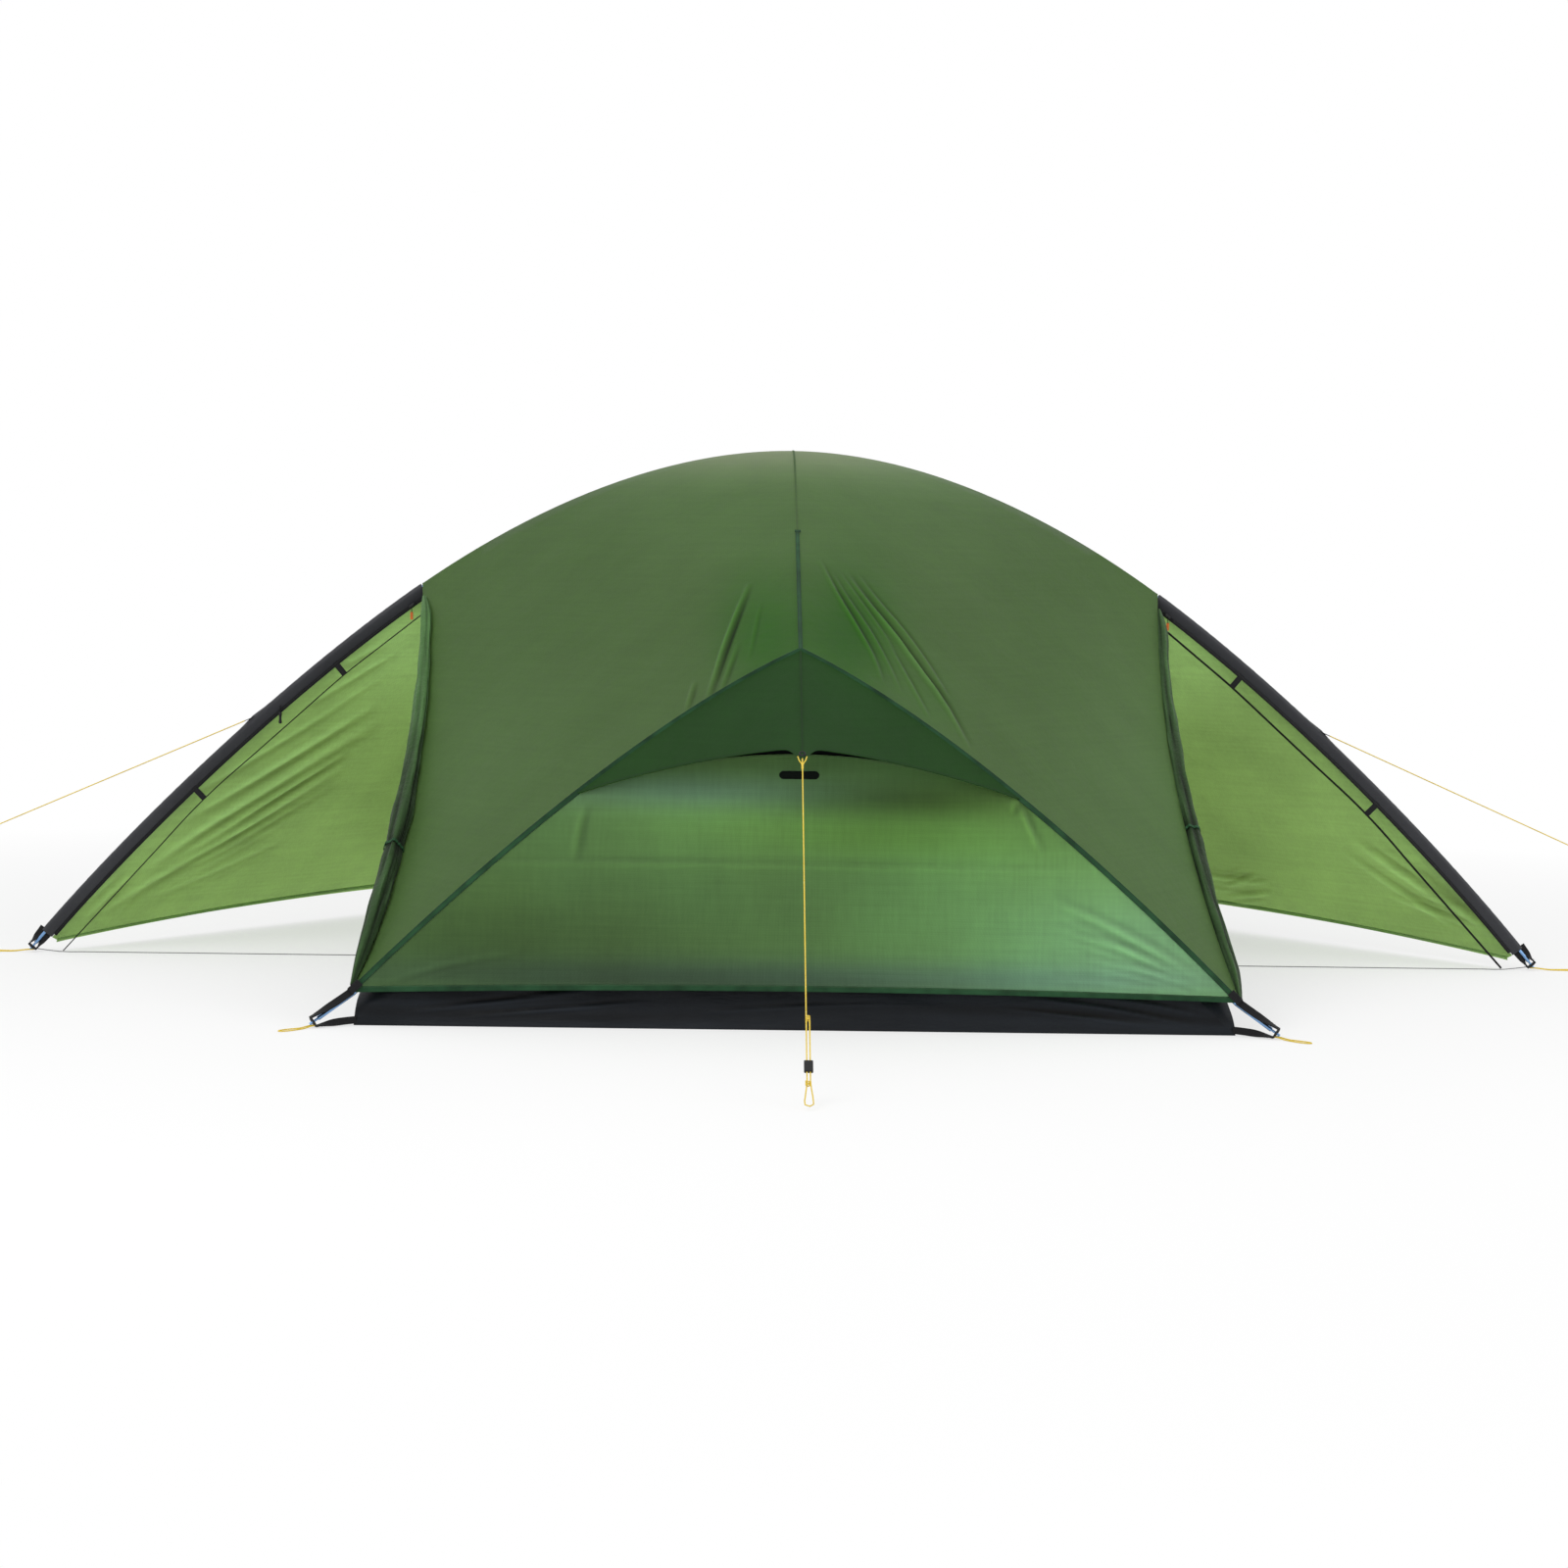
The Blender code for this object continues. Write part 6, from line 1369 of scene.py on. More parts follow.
tubFolds = [
    ([(-0.77, 0.026), (-0.62, 0.044), (-0.42, 0.066)], 0.0060, 0.0032),
    ([(-0.66, 0.018), (-0.50, 0.032), (-0.30, 0.050)], 0.0055, 0.0028),
    ([(-0.58, 0.056), (-0.40, 0.074)], 0.0055, 0.0024),
    ([(-0.20, 0.030), (0.05, 0.046), (0.24, 0.052)], 0.0060, 0.0016),
    ([(0.46, 0.068), (0.64, 0.046), (0.80, 0.016)], 0.0060, 0.0032),
    ([(0.40, 0.046), (0.58, 0.030), (0.72, 0.014)], 0.0055, 0.0026),
    ([(0.56, 0.074), (0.72, 0.056), (0.83, 0.032)], 0.0055, 0.0028)]


tubValues = dict(
    rows=46, cornerSteps=5, sideSteps=110, thickness=0.0011, inset=0.0006, slack=0.004, fineSlack=0.0011, puff=0.042,
    puffReach=0.10, foldPaintedLight=2.4, floorSteps=(61, 73), floorRise=0.0008, ripple=0.0016)


def tubOutlines(v):
    # Foot and rim of the tub's wall, with the same count of points, and the middles of its rounded corners
    onEnd, onSide = atHeight(innerLeg, inner["tub"]), atHeight(innerSide, inner["tub"])
    turning, sides = (np.linspace(0, 1, v[key])[:, None] for key in ("cornerSteps", "sideSteps"))
    foot, rim, middles = [], [], []
    quarters = [(1, 1), (1, -1), (-1, -1), (-1, 1)]
    for n, quarter in enumerate(quarters):
        first, second = (onEnd, onSide) if n % 2 == 0 else (onSide, onEnd)
        base, start, end = flip([floorCorner, first, second], *quarter)
        nextBase, nextStart = flip([floorCorner, second], *quarters[(n + 1) % 4])
        foot += [base + 0 * turning, base + (nextBase - base) * sides[1:-1]]
        rim += [start + (end - start) * turning, end + (nextStart - end) * sides[1:-1]]
        middles.append((start + end) / 2)
    return np.vstack(foot), np.vstack(rim), np.array(middles)


def tubWallGrid(v):
    # The wall leans in between its foot and its rim, and its corners puff out
    foot, rim, middles = tubOutlines(v)
    run = runOf(foot + 1e-9 * np.arange(len(foot))[:, None])     # rises where the foot's points meet in a corner too
    level = vec(1, 1, 0)
    gaps = np.linalg.norm(rim[:, None] - middles, axis=2)
    puffed = unitRows(middles[gaps.argmin(1)] * level) * np.exp(-(gaps.min(1) / v["puffReach"]) ** 2)[:, None]
    rows = []
    for t in np.linspace(0, 1, v["rows"]):
        line, bulge = foot + (rim - foot) * t, math.sin(t * math.pi)
        slack = v["slack"] * np.sin(run * 9.0 + 3 * t) * bulge
        slack = slack + v["fineSlack"] * np.sin(run * 23.0 + 2.4 * np.sin(run * 5.3) + 8 * t) * bulge
        line = line - unitRows(line * level) * (v["slack"] * bulge + np.abs(slack))[:, None]
        rows.append(line + puffed * bulge * v["puff"])
    grid = np.stack(rows)
    grid = np.concatenate([grid, grid[:, :1]], axis=1)
    return grid - unitRows(grid * level) * v["inset"]


def makeTub(v):
    fx, fy = inner["floor"]
    xs, ys = (np.linspace(v["inset"] - half, half - v["inset"], n) for half, n in zip((fx, fy), v["floorSteps"]))
    x, y = np.meshgrid(xs, ys)
    ripple = v["ripple"] * (np.sin(x * 11 + 2 * np.sin(y * 5)) * np.sin(y * 8 + 1)) ** 2
    edge = np.minimum(fx - np.abs(x), fy - np.abs(y))
    base = np.stack([x, y, v["floorRise"] + ripple * np.clip(edge / 0.1, 0, 1)], axis=-1)
    clothPiece("tubFloorCloth", base, floorCloth, ["tub_floor"],
               thickness=v["thickness"])
    grid = tubWallGrid(v)
    front, along, z = grid[..., 1] < -1.0, np.arange(grid.shape[1]) * 0.16, grid[..., 2]
    height, shade = foldHeight(grid, tubFolds)
    # Painted light on the tub's wall: painted sheen lines, lighter towards the rim, and painted highlights and shade
    # of the folds at the front
    paintedLight = 0.5 * np.sin(z * 150 + np.sin(along * 0.35) * 1.6) * np.sin(along * 0.23 + z * 30) ** 2 + z * 2.0
    paintedLight = paintedLight + np.where(front, shade * foldShade * v["foldPaintedLight"], 0.0)
    grid[..., 1] -= np.where(front, height, 0.0)
    wall = clothPiece("tubWallCloth", grid, floorCloth,
                      thickness=v["thickness"], paintedLight=paintedLight)
    fixNormals(wall.data)


def makeInnerRoof():
    us, vs = np.linspace(0, 1, 37), np.linspace(0, 1, 41)
    seam = fallingSeam(innerPeak, innerNose, form["spineCrown"], form["spineReach"])
    quarter = quarterGrid(us, vs, innerArch, innerLeg, seam, innerSide)
    sag = inner["roofSag"] * np.sin(us[None, :] * math.pi) * np.sin(vs[:, None] * math.pi)
    quarter = pressedOut(quarter, -sag, 1)
    quarter[0, :, 1] = 0
    quarter[:, 0, 0] = 0
    roof = clothPiece("innerRoofCloth", wholeRoof(quarter, quarter), innerCloth,
                      ["inner_roof"])
    # cut off level, just above the rim of the tub
    shape = bmesh.new()
    shape.from_mesh(roof.data)
    bmesh.ops.bisect_plane(shape, geom=[*shape.verts, *shape.edges, *shape.faces], clear_inner=True,
                           plane_co=(0, 0, inner["tub"] + inner["lift"]), plane_no=(0, 0, 1))
    bmesh.ops.holes_fill(shape, edges=[e for e in shape.edges if len(e.link_faces) == 1], sides=0)
    shape.to_mesh(roof.data)
    shape.free()


def makeInnerEnds():
    low = inner["tub"] + form["seamGap"]
    half = atHeight(innerLeg, low + 0.006)[0]
    xs, vs = np.linspace(-half, half, 81), np.linspace(0, 1, 31)[:, None]
    tops = np.interp(np.abs(xs), innerLeg[:, 0], innerLeg[:, 2]) - 0.0016
    grid = np.moveaxis(endPlane(xs + 0 * vs, low + (tops - low) * vs), 0, -1)
    grid[..., 1] += 0.006 * np.sin(vs * math.pi) * np.cos(xs / half * math.pi / 2)
    for end, sy in endSign.items():
        clothPiece("innerEndCloth_" + end, flip(grid, 1, -sy), innerCloth,
                   ["inner_end_wall_" + end], -sy)


makeTub(tubValues)
makeInnerRoof()
makeInnerEnds()
print("inner tent made")


# Seam tapes, bindings, hems and their stitches
trim = dict(
    binding=0.0110, bindingThick=0.0036, legEnd=0.004, seam=0.0048, seamLow=0.0085, seamThick=0.0012, markAt=0.57,
    markSize=(0.013, 0.010), markThick=0.0010, hem=0.012, hemThick=0.0018, hoodEdge=0.0050, hoodEdgeThick=0.0022,
    eyeletBack=0.0125, eyeletUp=0.0012, eyeletHole=0.0038, eyeletWide=0.0016, stitchIn=0.0016, proud=0.0007,
    vent=0.0030, ventBinding=(0.006, 0.0020))
stitchLines = {"green": [], "dark": []}


def sewnBand(name, path, wide, width, thickness, material, outward, stitches="dark", slot="fly_green", edges=(1, -1)):
    # A sewn tape with a row of stitches inside each edge, on the side that faces outward
    path = np.asarray(path, dtype=float)
    bandPiece(name, path, wide, width, thickness, material, slot=slot)
    along = directions(path)
    across = unitRows(wide - along * (along * wide).sum(1)[:, None])
    face = np.cross(along, across)
    face *= np.sign((face * outward).sum(1))[:, None]
    for edge in edges:
        inside = across * edge * (width / 2 - trim["stitchIn"])
        stitchLines[stitches].append(path + inside + face * (thickness / 2 + 0.0001))


def seamUp(line):
    # Up and square to a seam in the tent's middle plane
    up = unitRows(np.cross(np.gradient(line, axis=0), vec(1, 0, 0)))
    return up * np.sign(up[:, 2:])


def makeHoodTrim(end, sy, v):
    hood = hoodGrid([0.0], np.linspace(0.0, 1.0, 25))[:, 0]
    up = seamUp(hood)
    sewnBand("hoodSeam_" + end, flip(hood + up * v["proud"], 1, -sy), (1, 0, 0), v["seam"], v["seamThick"], hoodCloth,
             flip(up, 1, -sy), slot="hood_green")
    inside, rim = flip(hoodGrid(denseShares(0.15, 18, 41), [0.94, 1.0]), 1, -sy)
    inward = unitRows(inside - rim)
    sewnBand("hoodBinding_" + end, rim + inward * v["hoodEdge"] * 0.36, inward, v["hoodEdge"], v["hoodEdgeThick"],
             hoodCloth, vec(0, sy, 0), slot="hood_green", edges=(1,))
    tip = hood[-1] - unit(hood[-1] - hood[-2]) * v["eyeletBack"] + up[-1] * v["eyeletUp"]
    ring = [(v["eyeletHole"] + v["eyeletWide"] * (1 + math.cos(a)), v["eyeletUp"] * math.sin(a))
            for a in np.linspace(0, 2 * math.pi, 11)[:-1]]
    lathe("hoodEyelet_" + end, ring, flip(tip, 1, -sy), flip(up[-1], 1, -sy), blackPlastic, closed=True)


def makeSeams(v):
    legs = share(partOf(legLine, 0.0, runOf(legLine)[-1] - v["legEnd"]), np.linspace(0, 1, 90))
    across = unitRows(np.cross(np.gradient(legs, axis=0), vec(0, 1, 0)))
    out = np.cross(across, directions(legs))
    out *= np.sign(-out[:, 1:2])
    spine = share(centreSeam, np.linspace(0, 1, 90))
    up, mark = seamUp(spine), int(np.argmin(np.abs(spine[:, 1] + v["markAt"])))
    patch = spine[mark - 1:mark + 2] + up[mark - 1:mark + 2] * v["proud"] * 2.6
    patch = walk(patch, np.linspace(0, v["markSize"][1], 6)) + vec(0.001, 0, 0)
    for end, sy in endSign.items():
        for side, sx in sideSign.items():
            sewnBand("legBinding_%s_%s" % (end, side), flip(legs + out * v["proud"], sx, -sy), flip(across, sx, -sy),
                     v["binding"], v["bindingThick"], bindingTape, flip(out, sx, -sy))
        for name, part, lift, width, thick, material, stitches in (
                ("Upper_", slice(0, mark + 1), 1.0, v["seam"], 1.0, flyCloth, "green"),
                ("Lower_", slice(mark, None), 1.6, v["seamLow"], 1.5, bindingTape, "dark")):
            sewnBand("centreSeam" + name + end, flip(spine[part] + up[part] * v["proud"] * lift, 1, -sy), (1, 0, 0),
                     width, v["seamThick"] * thick, material, flip(up[part], 1, -sy), stitches)
        bandPiece("seamPatch_" + end, flip(patch, 1, -sy), (1, 0, 0), v["markSize"][0], v["markThick"], bindingTape,
                  slot="fly_green")
        makeHoodTrim(end, sy, v)


def makeVents(v):
    # Black mesh behind the hood, from the end wall's curved top up to the leg seams; its black also paints the shade
    # in the gap under the hood
    wall = endWallGrid(np.linspace(0, 1, 61), [1.0])[0]
    tops = np.stack([np.interp(np.abs(wall[:, 0]), legLine[:, 0], legLine[:, k]) for k in range(3)], axis=1)
    tops[:, 0] = wall[:, 0]
    rows = np.linspace(0.0, 1.0, 25)[:, None, None]
    grid = wall * (1 - rows) + tops * rows
    grid = grid + vec(0, v["vent"], 0) * np.sin(rows * math.pi) + vec(0, 0.0012, -0.0004)
    for end, sy in endSign.items():
        clothPiece("ventMesh_" + end, flip(grid, 1, -sy), ventMeshAndShade,
                   outward=-sy, thickness=0.0005)
        sewnBand("ventBinding_" + end, flip(wall + vec(0, -0.0008, 0), 1, -sy), (0, 0, 1), *v["ventBinding"], endCloth,
                 vec(0, sy, 0), "green", edges=(1,))


def hemLine(name, line, wide, material, outward):
    sewnBand(name, line, wide, trim["hem"], trim["hemThick"], material, outward, "green", edges=(1,))


def makeHems(v):
    hem = bowed(flip(corner, -1, 1), corner, (0, 0, form["hemRise"])) + vec(0, 0, v["hem"] * 0.45)
    above, bottom = porchGrid(np.linspace(0, 1, 61), [0.95, 0.985])
    edge = sideEdge[::2]
    inward = share(besideEdge(61), np.linspace(0, 1, len(edge))) - edge
    for end, sy in endSign.items():
        hemLine("endHem_" + end, flip(hem, 1, -sy), (0, 0, 1), bindingTape, vec(0, sy, 0))
    for side, sx in sideSign.items():
        hemLine("porchHem_" + side, flip(bottom, sx, -1), flip(above - bottom, sx, -1), porchClothPaintedBrighter, vec(0, -1, 0))
        for end, sy in endSign.items():
            hemLine("sideHem_%s_%s" % (end, side), flip(edge + unitRows(inward) * v["hem"] * 0.4, sx, -sy),
                    flip(inward, sx, -sy), flyCloth, flip(vec(1, -1, 0.6), sx, -sy))


makeSeams(trim)
makeVents(trim)
makeHems(trim)
print("seams and vents made")


# Webbing and eyelets that hold the pole tips
tipHolder = dict(
    plate=0.012, thick=0.0025, hole=0.0029, strap=0.0104, strapSag=0.0016, width=0.015, webbing=0.0028,
    cornerClear={"front": 0.0016, "rear": 0.0030}, tub=0.0012, tubRise=0.0100, overlap=0.007, footStrap=0.0466,
    tabLength=0.027, tab=(0.016, 0.0018), tabOut=0.0050, stitchHalf=0.0022)


def tipPlate(node, centre, axis, targets, v):
    # Plate with a hole for the pole's tip, and the two straps that hold it
    flat, upward = unit(np.cross(axis, vec(0, 0, 1))), plateUp(axis)
    half, hole, edge = v["thick"] / 2, v["hole"], v["plate"]
    upper = [(edge, 0.4), (edge * 0.95, 0.8), (edge * 0.8, 0.8), (hole + 0.0022, 1.0), (hole + 0.0006, 1.0),
             (hole, 0.7)]
    profile = [(r, -half * h) for r, h in upper[::-1]] + [(r, half * h) for r, h in upper]
    plate = lathe(node + "Plate", profile, centre, axis, webbingMaterial, closed=True)
    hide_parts(node)
    for k, (target, hand) in enumerate(zip(targets, (1, -1))):
        root = centre + upward * v["strap"] * hand
        along, length = unit(target - root), float(np.linalg.norm(target - root))
        over = np.cross(along, flat)
        t = np.linspace(0, 1, 14)[:, None]
        path = root - along * v["thick"] / 4 + along * (length + v["overlap"]) * t
        path = path - over * v["strapSag"] * np.sin(t * math.pi) * hand
        facing = unit(np.cross(along, vec(0, -1, 0)))
        facing *= 1 if facing @ flat > 0 else -1
        turned = np.clip(np.linspace(-0.15, 1.6, 14), 0, 1)[:, None]
        bandPiece("%sStrap%d" % (node, k), path, flat * (1 - turned) + facing * turned, v["width"], v["webbing"],
                  webbingMaterial, slot="webbing_black")
        for aside, face, at in itertools.product((-0.35, 0.0, 0.35), (1, -1), (0.14, 0.20)):
            spot = root + along * length * at + flat * v["width"] * aside
            stitchLines["dark"].append([spot + flat * v["stitchHalf"] * way + over * face * v["webbing"] * 0.62
                                        for way in (-1, 1)])


def makeTipHolders(v):
    run = runOf(legLine)[-1]
    seam = share(partOf(legLine, run - v["tabLength"], run), np.linspace(0, 1, 12))
    for end, sy in endSign.items():
        for side, sx in sideSign.items():
            centre, axis = plateFrame(flip(legPole, sx, -sy))
            fly = flip(corner, sx, -sy)
            fly = fly + unit(centre + plateUp(axis) * v["strap"] - fly) * v["cornerClear"][end]
            tub = flip(floorCorner, sx, -sy) + unit(vec(sx, sy, 0)) * v["tub"] + vec(0, 0, v["tubRise"])
            tipPlate("corner_strap_%s_%s" % (end, side), centre, axis, [fly, tub], v)
            tab = flip(seam, sx, -sy) + vec(0, sy, 0.35) * v["tabOut"]
            wide = np.cross(unit(tab[-1] - tab[0]), vec(0, sy, 0))
            sewnBand("cornerTab_%s_%s" % (end, side), tab, wide, *v["tab"], webbingMaterial, vec(0, sy, 0),
                     slot="webbing_black")
    for side, sx in sideSign.items():
        centre, axis = plateFrame(flip(arch, sx, 1))
        ends = [centre + plateUp(axis) * v["strap"] * hand - axis * v["footStrap"] for hand in (1, -1)]
        tipPlate("foot_strap_" + side, centre, axis, ends, v)


makeTipHolders(tipHolder)
print("webbing made")


# Inner side walls with their doors
doorValues = dict(
    zipTape=0.011, tapeThick=0.0010, tapeOut=0.0010, zipOut=0.0062, piping=0.0009, hingeGap=0.0014, gap=0.0006,
    teethOut=0.0021, teethIn=0.003,
    teeth={"Spacing": 0.0022, "Piece length": 0.0028, "Piece radius": 0.0006, "Turn": math.pi / 2})
sideNormal = unit(vec(sideUp[2], 0, -sideUp[0]))
sideLow = (inner["tub"] + form["seamGap"]) / sideUp[2]


def sidePlace(y, rise, out=0.0):
    # A point of the right side wall, by its place along the floor and up the slope
    return vec(inner["floor"][0], y, 0) + sideUp * rise + sideNormal * out


def roundedOutline(points, radius, steps=6):
    made = []
    for k, p in enumerate(points):
        p = np.asarray(p, dtype=float)
        before, after = np.asarray(points[k - 1]) - p, np.asarray(points[(k + 1) % len(points)]) - p
        a, b = unit(before), unit(after)
        half = math.acos(float(np.clip(a @ b, -1, 1))) / 2
        reach = radius / math.tan(half)
        middle = p + unit(a + b) * radius / math.sin(half)
        first, last = p + a * reach - middle, p + b * reach - middle
        for t in np.linspace(0, 1, steps + 1):
            made.append(middle + unit(first * (1 - t) + last * t) * radius)
    return np.array(made)


def doorLine(inset=0.0, hinge=0.0):
    # The door's corners (along the floor, up the slope): foot and top of the hinge, then far top and far foot
    rise = sideHeight / inner["floor"][1]
    drop = inner["margin"] / math.cos(math.atan(rise))
    far = (sideHeight - drop - inner["sill"] - inner["endHeight"]) / rise
    left, end, sill = -inner["hinge"] - hinge, -far + inset, inner["sill"] + inset
    drop += inset / math.cos(math.atan(rise))
    return [(left, sill), (left, sideHeight + rise * left - drop), (end, sideHeight + rise * end - drop), (end, sill)]


def inOutline(points, outline):
    inside = np.zeros(len(points), dtype=bool)
    x, y = points[:, 0], points[:, 1]
    for (ax, ay), (bx, by) in zip(outline, np.roll(outline, -1, axis=0)):
        crosses = (ay > y) != (by > y)
        with np.errstate(divide="ignore", invalid="ignore"):
            at = ax + (y - ay) * (bx - ax) / (by - ay)
        inside ^= crosses & (x < at)
    return inside


def cutSheet(name, outline, holes, steps, toPlace, sx, thickness):
    # A flat net of squares cut along the outlines, laid in its place and given both faces
    low, high = outline.min(0), outline.max(0)
    shape = bmesh.new()
    bmesh.ops.create_grid(shape, x_segments=steps[0], y_segments=steps[1], size=0.5)
    for vertex in shape.verts:
        vertex.co = Vector((*(low + (vec(vertex.co.x, vertex.co.y) + 0.5) * (high - low)), 0))
    for line in (outline, *holes):
        for a, b in zip(line, np.roll(line, -1, axis=0)):
            step = b - a
            if np.linalg.norm(step) < 1e-6:
                continue
            near = [f for f in shape.faces if np.linalg.norm(vec(*f.calc_center_median()[:2]) - (a + b) / 2)
                    < np.linalg.norm(step) / 2 + 0.08]
            geom = list({x for f in near for x in (*f.verts, *f.edges, f)})
            bmesh.ops.bisect_plane(shape, geom=geom, dist=1e-6, plane_co=(*a, 0), plane_no=(step[1], -step[0], 0))
    centres = np.array([f.calc_center_median()[:2] for f in shape.faces])
    keep = inOutline(centres, outline)
    for hole in holes:
        keep &= ~inOutline(centres, hole)
    bmesh.ops.delete(shape, geom=[f for f, k in zip(list(shape.faces), keep) if not k], context="FACES")
    area = sum(f.calc_area() for f in shape.faces)
    flat = [tuple(v.co[:2]) for v in shape.verts]
    spots = flip([toPlace(x, y) for x, y in flat], sx, 1)
    shape.verts.index_update()
    faces = [tuple(v.index for v in f.verts) for f in shape.faces]
    loops = {tuple(sorted(v.index for v in e.verts)): None for e in shape.edges if e.is_boundary}
    for f in faces:
        for pair in zip(f, f[1:] + f[:1]):
            if tuple(sorted(pair)) in loops:
                loops[tuple(sorted(pair))] = pair
    shape.free()
    count, lift = len(spots), flip(sideNormal, sx, 1) * thickness / 2
    points = np.vstack([spots + lift, spots - lift])
    faces = faces + [tuple(i + count for i in f[::-1]) for f in faces]
    faces += [(b, a, a + count, b + count) for a, b in loops.values()]
    mesh = meshFrom(name, points, faces, flat + flat, 60)
    fixNormals(mesh)
    return mesh, area, high - low


def clamped(value):
    return min(1.0, max(0.0, value))


def onWall(y, rise):
    ripple = 0.0016 * math.sin(7 * y + 11 * rise) * math.sin(13 * y - 5 * rise)
    return sidePlace(y, rise, ripple * clamped((rise - sideLow) / 0.08))


def onLeaf(y, rise):
    # Slack mesh, still at its edges
    bay = clamped((-inner["hinge"] - y) / 0.12) * clamped((rise - inner["sill"]) / 0.12)
    edge = clamped((doorLine()[1][1] - (0.757 * (-y - inner["hinge"])) - rise) / 0.10)
    return sidePlace(y, rise, 0.0014 * bay * edge * math.sin(9 * y + 6 * rise))


def wallOutline():
    # The right side wall between the tub and the roof: (along the floor, up the slope)
    seam = innerSide[::-1]
    seam = seam[seam[:, 2] > inner["tub"] + 0.004]
    start = atHeight(innerSide, inner["tub"] + form["seamGap"])
    half = np.array([(start[1] + 0.001, sideLow)] + [(p[1] + 0.0014, p[2] / sideUp[2] - 0.0006) for p in seam[::3]])
    half = half[half[:, 0] < -0.002]
    return np.vstack([half, half[::-1] * vec(-1, 1)])


def zipTrack(v):
    # Round the three free edges of the leaf
    around = roundedOutline(doorLine(-v["zipOut"]), inner["round"] + 0.006)
    around = around[around[:, 0] < -inner["hinge"] - 0.03]
    order = np.argsort(np.arctan2(around[:, 1] - 0.36, around[:, 0] + 0.30) % (2 * math.pi))
    (_, sill), (_, top) = doorLine(-v["zipOut"])[:2]
    near = -inner["hinge"] - 0.004
    return share(np.vstack([[near, top - 0.003], around[order], [near, sill]]), np.linspace(0, 1, 120))


def netPiece(name, outline, holes, steps, toPlace, sx, thickness, material, body, standsFor):
    mesh, area, size = cutSheet(name, outline, holes, steps, toPlace, sx, thickness)
    piece = addObject(name, mesh, material, body)
    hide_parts(standsFor)


def makeInnerSides(v):
    opening = roundedOutline(doorLine(), inner["round"])
    leaf = roundedOutline(doorLine(v["gap"], v["hingeGap"]), inner["round"])
    outline, track = wallOutline(), zipTrack(v)
    (left, sill), (_, top) = doorLine()[:2]
    for side, sx in sideSign.items():
        netPiece("innerSideCloth_" + side, outline, [opening], (60, 26), onWall, sx, 0.0008, innerCloth, "tent",
                 "inner_side_wall_" + side)
        netPiece("doorLeafMesh_" + side, leaf, [], (30, 26), onLeaf, sx, 0.0006, meshCloth, side + "_door",
                 "inner_door_" + side)
        path, teeth = (flip([sidePlace(y, r, out) for y, r in track], sx, 1) for out in (v["tapeOut"], v["teethOut"]))
        wide = unitRows(np.cross(np.gradient(path, axis=0), flip(sideNormal, sx, 1)))
        bandPiece("doorZipTape_" + side, path, wide, v["zipTape"], v["tapeThick"], blackTape, slot="inner_cloth")
        hand = np.sign((wide * (flip(sidePlace(-0.25, 0.35), sx, 1) - path)).sum(1))[:, None]
        repeatAlong("doorZipTeeth_" + side, [teeth + wide * v["teethIn"] * hand], v["teeth"], blackPlastic)
        edge = [sidePlace(left - v["hingeGap"], r) for r in np.linspace(sill + 0.032, top - 0.03, 30)]
        tubePiece("doorPiping_" + side, flip(edge, sx, 1), v["piping"], blackTape, side + "_door")


makeInnerSides(doorValues)
print("inner side walls made")


# Small fittings
fitting = dict(
    zipFirst=0.897, travel=0.250, drop=0.0211, out=0.0075, slider=(0.016, 0.0074, 0.0085), sliderBevel=0.55,
    sliderWaist=0.10, pullCord=0.0009, pull=(0.0064, 0.0022), pullLength=0.032, tape=(0.0085, 0.0010),
    tapeDrop=0.0222, tapeOut=0.0022, teethOut=0.0031,
    teeth={"Spacing": 0.0024, "Piece length": 0.0034, "Piece radius": 0.0006, "Turn": math.pi / 2},
    toggle=(-1.189854, -0.0095, 0.586057), toggleRoot=0.004746, toggleString=0.028,
    barrel=((0.0028, 0.0), (0.0031, 0.0045), (0.0039, 0.0080), (0.0038, 0.0115), (0.0029, 0.0128), (0.0010, 0.0130)))
stitching = {"Spacing": 0.0042, "Piece length": 0.0028, "Piece radius": 0.00032}


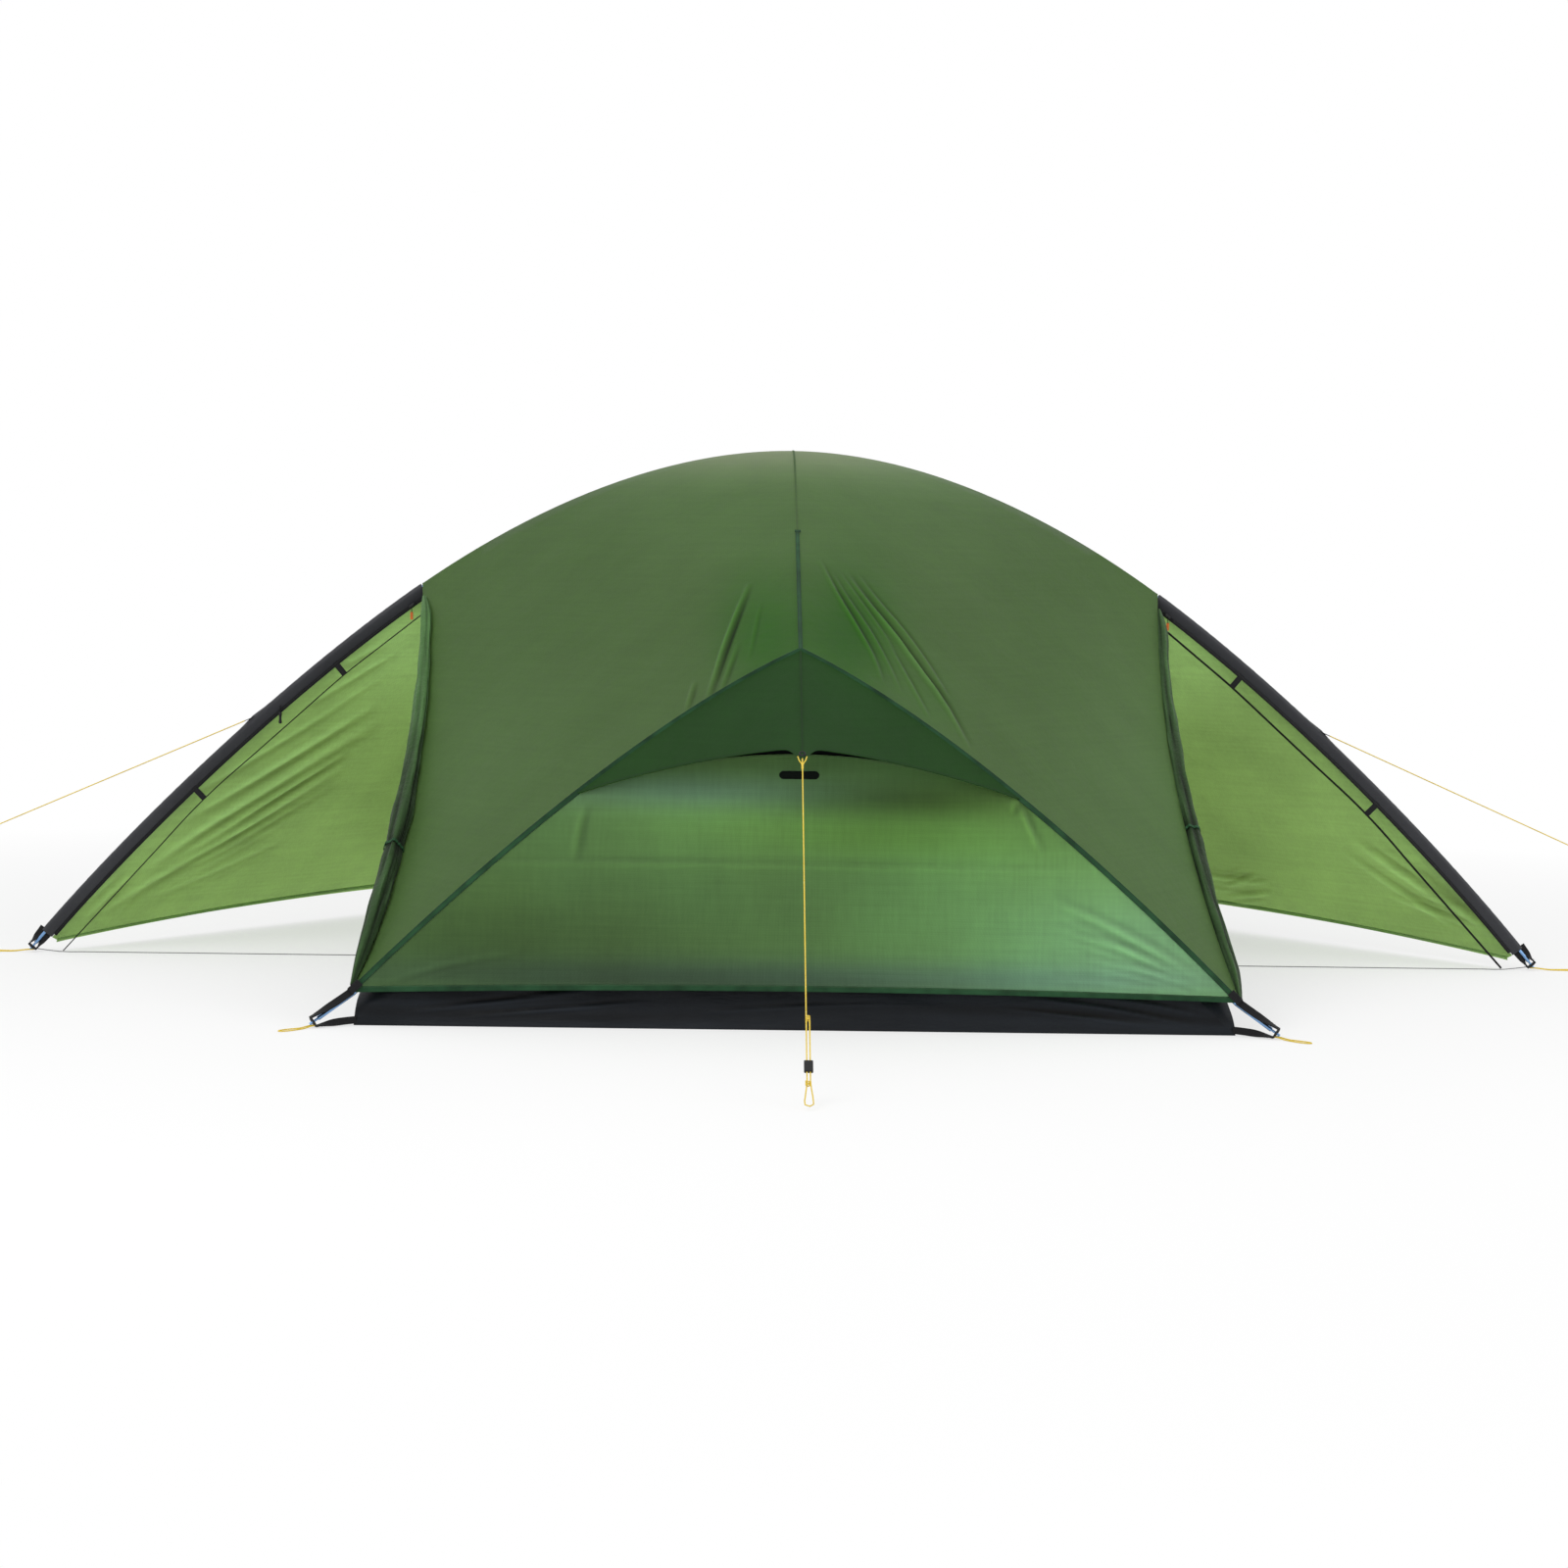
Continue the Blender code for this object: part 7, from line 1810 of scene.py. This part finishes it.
def makeFlyZips(v):
    first = whereX(arch, v["zipFirst"])
    a, b = (walk(arch, s) - upFromArch(s) * v["drop"] for s in (first, first + v["travel"]))
    places = np.linspace(whereX(arch, form["doorLine"]) + 0.006, archRun - form["sleeveEnd"] - 0.01, 150)
    ups = np.array([upFromArch(s) for s in places])
    tape, teeth = (walk(arch, places) - ups * v[drop] - vec(0, v[out], 0)
                   for drop, out in (("tapeDrop", "tapeOut"), ("drop", "teethOut")))
    for side, sx in sideSign.items():
        body = side + "_porch_slider"
        axes = (flip(unit(b - a), sx, 1), flip(upFromArch(first), sx, 1), vec(0, -1, 0))
        middle = flip(a, sx, 1) - vec(0, v["out"], 0)
        slider = roundedBlock("flySlider_" + side, v["slider"], middle, axes, blackPlastic, body, v["sliderBevel"],
                              v["sliderWaist"])
        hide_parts("fly_zip_" + side)
        hang = [middle + vec(0, -0.0046, -0.001 - t * v["pullLength"]) + vec(0, -0.0012, 0) * math.sin(t * 5)
                for t in np.linspace(0, 1, 25)]
        tubePiece("flyPullCord_" + side, hang[:14], v["pullCord"], blackCord, body)
        bandPiece("flyPull_" + side, hang[11:], (1, 0, 0), *v["pull"], orangePull, body, slot="pull_orange")
        bandPiece("flyZipTape_" + side, flip(tape, sx, 1), flip(ups, sx, 1), *v["tape"], blackTape,
                  slot="sleeve_black")
        repeatAlong("flyZipTeeth_" + side, [flip(teeth, sx, 1)], v["teeth"], blackPlastic)


def makeToggle(v):
    top, root, end = vec(*v["toggle"]), vec(0, v["toggleRoot"], 0), vec(0, 0, -v["toggleString"])
    path = smoothThrough([top + root, top + root * 0.35 + vec(0, 0, -0.0002), top + end * 0.25, top + end], 24)
    string = tubePiece("toggleString", path, 0.0012, blackCord, "toggle")
    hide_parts("door_toggle")
    profile = [(r, -z) for r, z in v["barrel"][:0:-1]] + list(v["barrel"])
    lathe("toggleBarrel", profile, top + end, vec(0, 0, 1), blackPlastic, "toggle")


def dressFrame():
    # The pieces that keep their CAD shape
    for name, piece in tentNodes.items():
        finish = None
        if "pole" in name:
            finish = hubFinish if "pole_hub" in name else poleFinish
        elif name.startswith("vent_stiffener"):
            finish = barFinish
        elif name.startswith(("guyline_tensioner", "door_zip")):
            finish = blackPlastic
        if finish:
            for slot in piece.material_slots:
                slot.material = finish


makeFlyZips(fitting)
makeToggle(fitting)
dressFrame()
repeatAlong("greenStitches", stitchLines["green"], stitching, threadGreen)
repeatAlong("darkStitches", stitchLines["dark"], stitching, threadDark)
print("fittings and stitches made")
